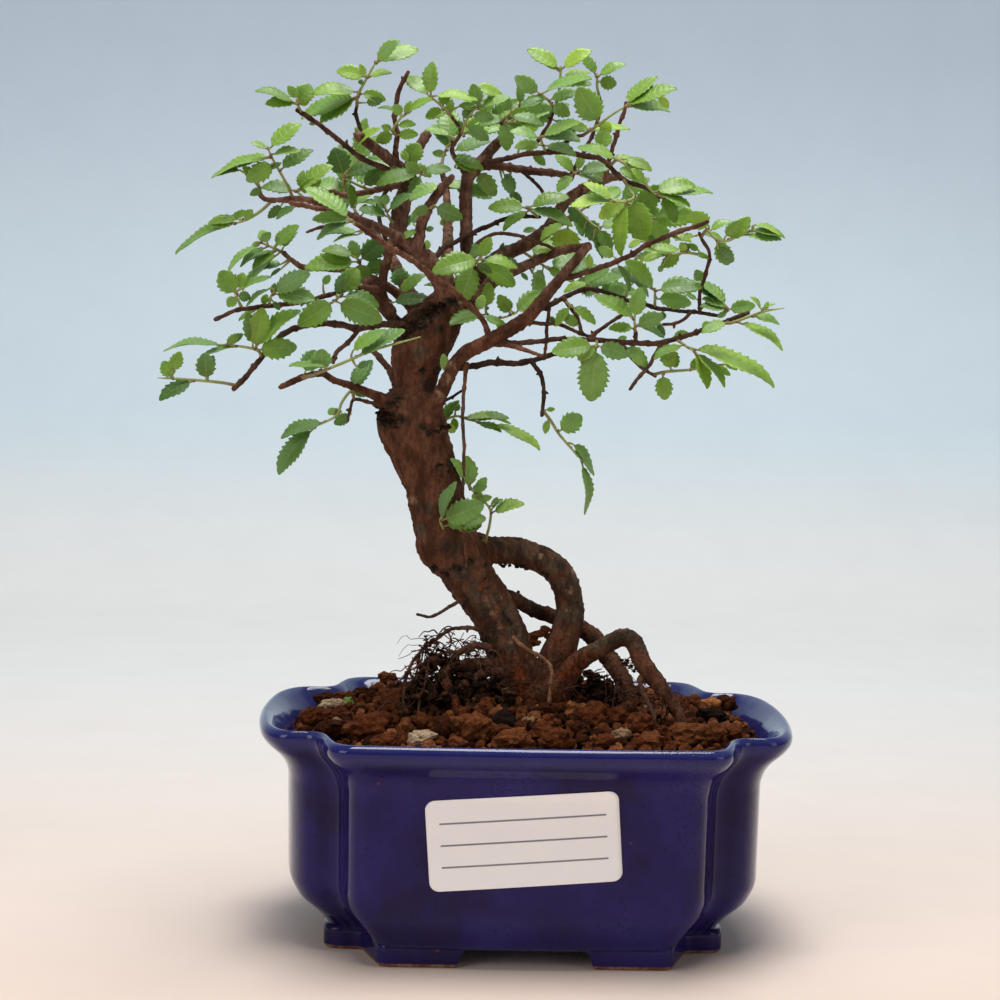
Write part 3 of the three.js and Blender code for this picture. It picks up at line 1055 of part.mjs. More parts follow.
// The frame stands under the middle of the whole object's box, at the foot of the pot.
const box = new THREE.Box3().setFromObject(group);
group.position.set(-(box.min.x + box.max.x) / 2, -(box.min.y + box.max.y) / 2, 0);

export default group;
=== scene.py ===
# A small Chinese elm bonsai in a cobalt glazed pot. The shapes are worked out in
# millimetres round the pot's middle, and set down in metres in the frame.
import math

import bmesh
import bpy
import numpy as np
from mathutils import Euler, Matrix, Vector, kdtree, noise


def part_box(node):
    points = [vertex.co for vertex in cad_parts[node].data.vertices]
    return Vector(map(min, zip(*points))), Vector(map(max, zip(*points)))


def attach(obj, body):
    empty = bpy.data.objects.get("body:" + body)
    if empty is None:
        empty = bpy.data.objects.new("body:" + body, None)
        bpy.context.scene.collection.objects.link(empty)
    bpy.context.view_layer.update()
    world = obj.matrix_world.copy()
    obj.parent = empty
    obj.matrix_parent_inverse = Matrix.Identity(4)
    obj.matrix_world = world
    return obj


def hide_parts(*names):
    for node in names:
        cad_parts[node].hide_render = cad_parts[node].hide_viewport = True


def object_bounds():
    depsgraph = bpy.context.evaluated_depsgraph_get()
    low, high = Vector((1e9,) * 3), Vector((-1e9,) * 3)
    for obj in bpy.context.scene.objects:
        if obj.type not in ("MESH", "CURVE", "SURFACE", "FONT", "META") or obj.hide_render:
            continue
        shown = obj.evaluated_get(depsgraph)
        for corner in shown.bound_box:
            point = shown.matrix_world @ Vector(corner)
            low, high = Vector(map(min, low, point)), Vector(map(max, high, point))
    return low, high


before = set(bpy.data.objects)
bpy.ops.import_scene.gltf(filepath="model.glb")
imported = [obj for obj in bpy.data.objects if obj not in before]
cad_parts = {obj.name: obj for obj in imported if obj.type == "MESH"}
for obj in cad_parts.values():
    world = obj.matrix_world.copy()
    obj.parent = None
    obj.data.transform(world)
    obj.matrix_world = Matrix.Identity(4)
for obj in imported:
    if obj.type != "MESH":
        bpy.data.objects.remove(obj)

CAD_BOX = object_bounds()
MM = 0.001
POT_LOW, POT_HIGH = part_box("pot")
SHIFT = np.array([(POT_LOW.x + POT_HIGH.x) / 2 / MM, 0, 0])

# The pot. An offset grows its plan outwards.
PANEL_HALF = 45.6
PANEL_FRONT = 44.5
LOBE_HALF = 30
LOBE_END = 61.8
PANEL_SPREAD = 0.7
LOBE_SPREAD = 0.55
PANEL_BOW = 1.2
PANEL_EASE = 5
LOBE_BOW = 4
LOBE_EASE = (13, 7)
NOTCH_SLANT = 2.5
NOTCH_EASE = 5
FLOOR_TOP = 10
DRAIN_RADIUS = 6
DRAIN_PLACE = 24
FIT_GAP = 0.3
# Wall heights and offsets. The third number is the offset of the front and the back.
OUTSIDE = [
    [5, -9, -3.4], [6.2, -8.6, -2.4], [9, -6, -1.3], [12.5, -2.2, -0.5], [17, 0, 0], [44, 0.4, 0.4],
    [47.5, 1.6, 1.6], [50, 3.4, 3.4], [53, 6.6, 6.6], [55, 8, 8], [56.8, 8.1, 8.1], [58, 7.2, 7.2],
]
INSIDE = [[58.3, 6.2, 6.2], [57.4, 4.6, 4.6], [51, -1.4, -1.4], [46, -4, -4], [14, -4.8, -4.8],
          [FLOOR_TOP, -8, -8]]
FOOT_OFFSET = -9
FOOT_FRONT_OFFSET = -3.2
FOOT_WIDTH = 8
FOOT_FRONT_END = 17
FOOT_SIDE_END = 12
FOOT_CURL = 3
FOOT_EASE = 2.5
SCREEN_SIZE = 22
SCREEN_THICKNESS = 1
LABEL_WIDTH = 48
LABEL_HEIGHT = 23
LABEL_CORNER = 2.4
LABEL_MIDDLE = (-1.2, 33.8)
LABEL_TILT = math.radians(4.3)
SOIL_EDGE = 53.4
SOIL_RISE = 7.5
SOIL_SPREAD = 30
SOIL_ROUGHNESS = 0.9

# Leaves and shoots, and how far roots run into the soil.
LEAF_ARCH = 0.05
LEAF_FOLD = 0.16
LEAF_SLENDER = 0.5
LEAF_CLEARANCE = 2.5
WOOD_CLEARANCE = 0.8
LEAF_SEAT = 0.22
STEM_END = 0.9
LEAF_TRIES = 14
RULED_LENGTH = (9, 12.5)
RULED_WIDTH = 0.56
ROOT_SINK = 7

# The tree's places are read off a picture of 1000 by 1000 pixels, taken from this point.
# A station is its column and row there, and its depth behind the pot's middle.
EYE = np.array([-24.4, -650, 174.5])
EYE_YAW = math.radians(1.47)
EYE_PITCH = math.radians(5.29)
EYE_ROLL = math.radians(1.19)
EYE_FOCAL = 2483
PICTURE = 1000
PICTURE_MIDDLE = PICTURE / 2

AHEAD = np.array([math.sin(EYE_YAW) * math.cos(EYE_PITCH), math.cos(EYE_YAW) * math.cos(EYE_PITCH),
                  -math.sin(EYE_PITCH)])
LEVEL_RIGHT = np.array([math.cos(EYE_YAW), -math.sin(EYE_YAW), 0])
LEVEL_UP = np.cross(LEVEL_RIGHT, AHEAD)
PICTURE_RIGHT = LEVEL_RIGHT * math.cos(EYE_ROLL) + LEVEL_UP * math.sin(EYE_ROLL)
PICTURE_UP = LEVEL_UP * math.cos(EYE_ROLL) - LEVEL_RIGHT * math.sin(EYE_ROLL)


def seen(column, row, depth):
    """The point that shows at a column and row, at a given depth."""
    ray = (AHEAD + PICTURE_RIGHT * ((column - PICTURE_MIDDLE) / EYE_FOCAL)
           + PICTURE_UP * ((PICTURE_MIDDLE - row) / EYE_FOCAL))
    return EYE + ray * ((depth - EYE[1]) / ray[1])


def shown_at(points):
    """The columns and rows at which points show."""
    way = points - EYE
    reach = EYE_FOCAL / (way @ AHEAD)
    return PICTURE_MIDDLE + reach * (way @ PICTURE_RIGHT), PICTURE_MIDDLE - reach * (way @ PICTURE_UP)


def drawer(seed):
    """Seeded draws between 0 and 1."""
    state = seed

    def draw():
        nonlocal state
        state = (state * 1664525 + 1013904223) % 4294967296
        return state / 4294967296
    return draw


def unit(vector):
    return vector / np.linalg.norm(vector)


class Curve:
    """A smooth curve through stations, measured along its length."""

    CHECKS = 200

    def __init__(self, stations):
        self.stations = np.array(stations, float)
        points = self.at(np.linspace(0, 1, self.CHECKS + 1))
        steps = np.linalg.norm(np.diff(points, axis=0), axis=1)
        self.lengths = np.concatenate([[0], np.cumsum(steps)])
        self.length = self.lengths[-1]

    def at(self, share):
        """Points at shares of the stations."""
        share = np.atleast_1d(np.asarray(share, float))
        last = len(self.stations) - 1
        place = share * last
        index = np.minimum(np.floor(place).astype(int), last - 1)
        way = (place - index)[:, None]
        ends = np.vstack([2 * self.stations[0] - self.stations[1], self.stations,
                          2 * self.stations[-1] - self.stations[-2]])
        before, start, end, after = (ends[index + i] for i in range(4))
        leave = 0.5 * (end - before)
        arrive = 0.5 * (after - start)
        return (start + leave * way + (-3 * start + 3 * end - 2 * leave - arrive) * way ** 2
                + (2 * start - 2 * end + leave + arrive) * way ** 3)

    def share_at(self, along):
        """The share of the stations at a share of the length."""
        return np.interp(np.asarray(along) * self.length, self.lengths,
                         np.linspace(0, 1, self.CHECKS + 1))

    def along(self, along):
        return self.at(self.share_at(along))

    def tangent(self, along):
        share = float(self.share_at(along))
        low, high = max(0, share - 1e-4), min(1, share + 1e-4)
        return unit(self.at(high)[0] - self.at(low)[0])


# Limbs and roots: stations of column, row, depth and radius, from the end that they grow from out.
LIMBS = {
    "trunk": [(526, 716, 0, 7.8), (519, 690, 0, 6.7), (511, 655, 0, 5.9), (495, 615, 0, 5.9),
        (470, 577, 0, 6.4), (453, 548, 0, 7.3), (444, 527, 0, 7.5), (437, 503, 0, 7.1), (432, 483, 0, 7),
        (421, 450, 0, 7.9), (413, 430, 0, 8.9), (412, 418, 0, 9.1), (413, 410, 0, 8)],
    "crown": [(413, 428, 0, 6.5), (413, 404, 0, 4.7), (416, 380, 0, 5.4), (418, 355, 0, 7),
        (428, 333, 0, 7.4), (440, 315, 1, 6.2), (447, 303, 2, 4.6)],
    "arch_root": [(462, 552, 2, 3.6), (475, 545, 3, 3.5), (489, 550, 4, 3.5), (516, 551, 5, 3.5),
        (544, 561, 6, 3.6), (562, 577, 6, 3.6), (569, 598, 6, 3.6), (569, 621, 5, 3.7), (562, 644, 4, 4.2),
        (555, 662, 3, 4.7), (549, 692, 2, 5.4)],
    "back_root": [(505, 596, 4, 2), (516, 600, 7, 1.9), (534, 610, 11, 1.9), (555, 617, 13, 2.1),
        (580, 628, 14, 2.3), (596, 639, 14, 2.4), (603, 651, 13, 2.4), (617, 669, 11, 2.4),
        (626, 690, 9, 2.4)],
    "right_root": [(554, 700, -2, 3.4), (562, 685, -4, 3), (578, 662, -6, 2.5), (599, 649, -8, 2.2),
        (624, 637, -10, 2.2), (635, 644, -11, 2.3), (642, 662, -12, 2.4), (656, 681, -13, 2.2),
        (670, 701, -14, 1.8), (681, 720, -15, 1.3)],
    "front_root": [(506, 630, -4, 0.9), (525, 649, -7, 0.75), (544, 658, -8, 0.7), (552, 674, -10, 0.7),
        (549, 701, -11, 0.7), (547, 722, -11, 0.7)],
    "orange_root": [(512, 662, -1, 1.7), (470, 664, -8, 1.4), (452, 668, -10, 1.2), (446, 680, -12, 1.2),
        (454, 697, -13, 1.2), (458, 716, -13, 1)],
    "left_root_a": [(502, 632, 0, 1.2), (468, 628, -6, 0.8), (447, 632, -8, 0.7), (425, 648, -10, 0.7),
        (409, 668, -11, 0.6), (404, 690, -12, 0.6)],
    "left_root_b": [(509, 650, -1, 1.5), (472, 646, -7, 1), (451, 660, -9, 0.9), (437, 684, -10, 0.8),
        (432, 712, -11, 0.7)],
    "left_root_c": [(511, 668, -2, 1.6), (478, 676, -9, 1.3), (468, 694, -11, 1.1), (470, 716, -12, 1)],
    "left_root_d": [(474, 650, -7, 0.7), (434, 656, -11, 0.5), (426, 680, -12, 0.5), (419, 705, -13, 0.5)],
    "right_root_fork": [(645, 668, -12, 1.2), (640, 684, -14, 1), (648, 702, -16, 0.8), (655, 722, -17, 0.7)],
    "dead_root": [(480, 594, -2, 0.9), (464, 599, -6, 0.8), (452, 605, -8, 0.7), (440, 612, -10, 0.6),
        (430, 617, -11, 0.6), (417, 614, -12, 0.5)],
    "right_limb": [(424, 428, -3, 2.5), (431, 412, -4, 2.1), (443, 389, -7, 1.9), (455, 364, -9, 1.9),
        (467, 352, -10, 2), (485, 343, -11, 2.1), (503, 333, -12, 2.1), (527, 318, -13, 2),
        (540, 303, -14, 1.9), (559, 280, -15, 1.7), (588, 246, -17, 1.4)],
    "right_snag": [(486, 343, -11, 1.3), (509, 345, -13, 1.1), (543, 357, -18, 0.6)],
    "front_twig": [(491, 341, -12, 1.2), (484, 322, -16, 1), (473, 309, -19, 1), (455, 293, -23, 1.05),
        (438, 280, -26, 1.1), (415, 263, -30, 1.1), (390, 247, -34, 1), (355, 224, -38, 0.9)],
    "hanging_stem": [(466, 362, -9.5, 1.1), (465, 379, -10, 0.75), (463, 419, -10, 0.65),
        (464, 459, -10, 0.65), (463, 520, -9, 0.6), (466, 560, -7, 0.6), (468, 580, -5.6, 0.6)],
    "small_back_twig": [(434, 410, 3, 0.8), (443, 402, 6, 0.7), (452, 397, 8, 0.6), (461, 391, 9, 0.5)],
    "low_right_branch": [(460, 368, -9, 1.3), (473, 366, -6, 1.2), (491, 363, -4, 1.2), (515, 363, -2, 1.15),
        (534, 360, 0, 1.1), (559, 353, 3, 1), (577, 349, 6, 0.8)],
    "drooping_twig": [(530, 360, -0.5, 1), (538, 370, -2, 0.9), (542, 379, -3, 0.85), (544, 397, -4, 0.8),
        (542, 415, -5, 0.7)],
    "low_right_limb": [(498, 341, -12, 1.4), (520, 343, -13, 1), (559, 339, -15, 1), (594, 340, -16, 1),
        (625, 342, -17, 1), (653, 344, -17, 1.05), (672, 340, -18, 1), (692, 334, -19, 0.95),
        (727, 321, -22, 0.85), (748, 313, -24, 0.75)],
    "right_leader": [(440, 320, 0, 4), (462, 311, 1, 2.9), (475, 301, 2, 2.2), (491, 284, 4, 1.7),
        (512, 272, 6, 1.6), (540, 259, 8, 1.5), (559, 251, 9, 1.5), (583, 247, 10, 1.3)],
    "far_leader": [(455, 308, 3, 2.8), (475, 280, 8, 2.2), (497, 258, 11, 1.9), (521, 247, 14, 1.8),
        (546, 231, 17, 1.7), (556, 216, 18, 1.6), (566, 201, 19, 1.5), (583, 189, 20, 1.4),
        (599, 182, 21, 1.3), (618, 175, 22, 1.1)],
    "upright_leader": [(452, 312, 2, 3), (466, 290, 5, 2.4), (469, 270, 6, 1.9), (467, 247, 6, 1.75),
        (466, 222, 7, 1.7), (466, 199, 7, 1.7), (467, 178, 7, 1.6), (472, 164, 8, 1.5)],
    "top_stub": [(468, 178, 7, 1.6), (480, 163, 9, 1.7), (491, 150, 11, 1.6), (503, 138, 13, 1.5)],
    "arching_branch": [(476, 168, 8, 1.3), (497, 160, 6, 1.1), (527, 154, 3, 1), (559, 152, 0, 1),
        (589, 156, -3, 1), (605, 162, -5, 0.95), (619, 177, -7, 0.9), (641, 187, -9, 0.85),
        (665, 198, -11, 0.75)],
    "straight_branch": [(478, 166, 9, 1.5), (497, 166, 11, 1.35), (527, 170, 14, 1.3), (559, 174, 17, 1.2),
        (572, 178, 18, 1.1)],
    "hooked_twig": [(519, 169, 13, 0.8), (530, 178, 13, 0.7), (540, 188, 13, 0.7), (545, 196, 13, 0.6)],
    "tall_twig": [(605, 180, 21, 1), (607, 170, 21, 0.95), (611, 152, 21, 0.9), (616, 136, 21, 0.85),
        (622, 118, 21, 0.8), (626, 103, 21, 0.8)],
    "left_leader": [(440, 318, -1, 3.6), (446, 300, -2, 2.8), (443, 282, -4, 2.5), (434, 270, -5, 2.6),
        (424, 258, -6, 2.6)],
    "front_leader": [(432, 268, -6, 2.1), (420, 252, -8, 1.6), (419, 240, -9, 1.5), (422, 222, -11, 1.5),
        (428, 208, -13, 1.4), (438, 193, -15, 1.3), (452, 177, -18, 1.1)],
    "left_reach": [(430, 266, -6, 2.2), (412, 247, -8, 1.7), (394, 235, -10, 1.4), (370, 224, -12, 1.25),
        (346, 214, -14, 1.15), (328, 206, -15, 1.1), (303, 199, -16, 1.1), (278, 200, -18, 1),
        (262, 198, -19, 0.95), (259, 187, -20, 0.8)],
    "left_snag": [(338, 211, -14, 1), (320, 209, -19, 0.95), (305, 206, -22, 0.95), (291, 203, -25, 0.9)],
    "left_upright": [(424, 262, -4, 2.3), (407, 246, 0, 2.3), (398, 230, 1, 2.3), (400, 215, 2, 2.2),
        (403, 200, 4, 2.1), (407, 188, 5, 2), (409, 176, 6, 1.9)],
    "high_stub": [(408, 182, 6, 1.8), (411, 163, 8, 1.65), (418, 148, 9, 1.55), (428, 133, 10, 1.5)],
    "left_stub": [(408, 178, 5, 1.8), (400, 168, 4, 1.7), (388, 158, 2, 1.65), (372, 146, -1, 1.6),
        (356, 134, -4, 1.5)],
    "high_twig": [(400, 172, 4, 1.2), (396, 157, 3, 1.05), (397, 137, 3, 0.95), (395, 116, 2, 0.9),
        (399, 91, 1, 0.9), (408, 72, 0, 0.75)],
    "upper_left_twig": [(402, 178, 5, 1.3), (385, 168, 3, 1.1), (363, 159, 0, 1), (335, 137, -5, 1),
        (318, 124, -8, 0.95), (298, 110, -11, 0.9)],
    "top_twig": [(370, 146, -1, 0.9), (361, 131, 1, 0.8), (356, 115, 2, 0.7), (357, 106, 2, 0.65)],
    "mid_left_twig": [(410, 186, 6, 1.6), (400, 185, 8, 1.3), (389, 187, 10, 1.1), (365, 192, 13, 1),
        (348, 195, 15, 0.9), (330, 192, 17, 0.7)],
    "cross_twig": [(388, 188, 10, 0.9), (379, 205, 9, 0.8), (380, 222, 7, 0.8), (385, 238, 4, 0.8),
        (392, 244, -4, 0.7)],
    "left_hook": [(345, 214, -13, 0.8), (330, 224, -11, 0.65), (307, 232, -9, 0.55)],
    "left_mid": [(428, 332, 4, 1.9), (410, 305, 8, 1.5), (385, 285, 11, 1.2), (360, 274, 13, 1.1),
        (344, 270, 14, 1), (320, 268, 15, 0.95), (304, 268, 16, 0.9), (293, 261, 17, 0.8),
        (282, 252, 18, 0.65)],
    "left_riser": [(412, 338, 1, 2.4), (396, 322, 1, 1.6), (386, 308, 1, 1.3), (382, 292, 1, 1.3),
        (383, 276, 0, 1.2), (388, 258, -3, 1.2), (393, 238, -8, 1.1)],
    "old_stub": [(392, 316, 3, 1.8), (380, 300, 4, 2.2), (372, 288, 4, 2.4), (368, 279, 4, 1.7)],
    "left_low": [(383, 290, 1, 1.1), (360, 287, -3, 1), (345, 290, -6, 0.95), (331, 294, -8, 0.9),
        (305, 301, -12, 0.9), (270, 306, -16, 0.85), (242, 309, -19, 0.8), (216, 319, -22, 0.75)],
    "lower_left": [(418, 330, -2, 1.5), (400, 325, -4, 1.2), (378, 325, -5, 1.1), (357, 328, -6, 1.15),
        (343, 325, -7, 1.05), (329, 324, -8, 1), (314, 324, -9, 1), (300, 327, -10, 1), (281, 336, -12, 0.95),
        (268, 349, -13, 0.9), (261, 358, -14, 0.85), (248, 374, -16, 0.9), (233, 389, -18, 0.8)],
    "bent_twig": [(360, 328, -6, 0.9), (350, 340, -9, 0.85), (339, 350, -12, 0.85), (333, 362, -15, 0.8)],
    "back_low_twig": [(405, 402, 5, 1.5), (398, 393, 8, 1.2), (393, 378, 11, 1.1), (384, 362, 14, 1.05),
        (371, 349, 17, 0.9)],
    "collar_branch": [(402, 414, -4, 2.3), (388, 402, -8, 1.7), (374, 395, -11, 1.3), (360, 389, -14, 1.15),
        (346, 384, -17, 1.05), (333, 380, -19, 1), (324, 374, -21, 1), (310, 375, -22, 0.95),
        (296, 380, -23, 1), (281, 387, -24, 0.95)],
    "collar_twig": [(396, 412, -5, 1.3), (381, 406, -6, 0.8), (368, 402, -6, 0.7), (354, 399, -7, 0.7),
        (351, 407, -7.5, 0.6), (348, 421, -8, 0.55)],
    "right_front_twig": [(560, 279, -15, 1.1), (580, 275, -16, 1), (600, 268, -18, 1), (623, 259, -20, 1),
        (645, 246, -22, 0.95), (665, 237, -24, 0.9), (688, 229, -26, 0.9), (707, 222, -28, 0.75)],
    "right_back_twig": [(531, 314, -13, 1.1), (548, 306, -12, 1), (568, 295, -10, 0.95), (589, 289, -8, 0.9),
        (606, 293, -6, 0.85), (625, 299, -4, 0.85), (642, 304, -2, 0.8), (662, 309, 0, 0.8),
        (690, 312, 1, 0.75), (722, 316, 1, 0.65)],
    "right_hook": [(691, 312, 1, 0.75), (682, 321, 0, 0.7), (663, 325, -1, 0.6)],
    "low_cross": [(518, 323, -13, 0.8), (540, 323, -12, 0.75), (560, 325, -12, 0.7), (578, 332, -13, 0.7),
        (597, 339, -16, 0.7)],
    "kinked_twig": [(562, 297, -11, 0.8), (567, 303, -11, 0.75), (577, 317, -12, 0.7), (582, 334, -14, 0.65)],
    "upright_cross": [(549, 308, -12, 0.7), (547, 330, -8, 0.65), (545, 357, 1, 0.6)],
    "rising_twig": [(588, 340, -16, 0.8), (605, 326, -14, 0.7), (624, 314, -13, 0.65)],
    "falling_twig": [(621, 342, -17, 0.85), (629, 354, -17, 0.8), (640, 365, -17, 0.75),
        (656, 376, -17, 0.65)],
    "dead_twig": [(662, 343, -17, 0.85), (655, 355, -19, 0.75), (646, 369, -20, 0.7), (630, 389, -22, 0.65)],
    "spur": [(636, 344, -17, 0.8), (635, 331, -18, 0.75)],
    "right_edge_twig": [(700, 313, 1, 0.75), (700, 295, -2, 0.7), (705, 276, -5, 0.7), (709, 261, -8, 0.7),
        (709, 250, -10, 0.7), (702, 240, -12, 0.65), (699, 233, -13, 0.6)],
    "mid_back": [(430, 262, -5, 1.3), (445, 248, 0, 1), (460, 239, 3, 0.95), (486, 227, 9, 0.9),
        (511, 217, 11, 0.85), (540, 217, 12, 0.7)],
    "mid_curve": [(467, 252, 6, 0.8), (478, 243, 5, 0.75), (493, 234, 4, 0.75), (516, 235, 4, 0.7),
        (539, 243, 6, 0.7), (558, 251, 9, 0.6)],
    "crown_twig_a": [(467, 176, 7, 1), (452, 150, 5, 0.8), (461, 132, 4, 0.7), (452, 117, 3, 0.6)],
    "crown_twig_b": [(498, 145, 12, 0.9), (506, 132, 11, 0.8), (500, 122, 10, 0.7)],
    "crown_twig_c": [(527, 154, 3, 0.8), (540, 138, 3, 0.7), (549, 122, 4, 0.65), (556, 104, 5, 0.6),
        (559, 94, 6, 0.55)],
    "crown_twig_d": [(556, 152, 0, 0.8), (572, 138, 0, 0.7), (582, 136, 0, 0.65)],
    "crown_twig_e": [(569, 177, 18, 0.9), (585, 150, 17, 0.8), (598, 120, 16, 0.7), (600, 98, 15, 0.6)],
    "back_left": [(424, 338, 4, 2.6), (412, 300, 15, 2), (395, 265, 25, 1.6), (375, 235, 33, 1.2),
        (355, 215, 39, 0.9)],
    "back_right": [(440, 318, 5, 2.6), (470, 290, 18, 2), (505, 258, 28, 1.6), (545, 232, 35, 1.2),
        (575, 215, 40, 0.9)],
    "back_mid": [(446, 303, 5, 2.2), (447, 262, 18, 1.7), (448, 225, 27, 1.3), (446, 190, 33, 1),
        (440, 165, 37, 0.8)],
}

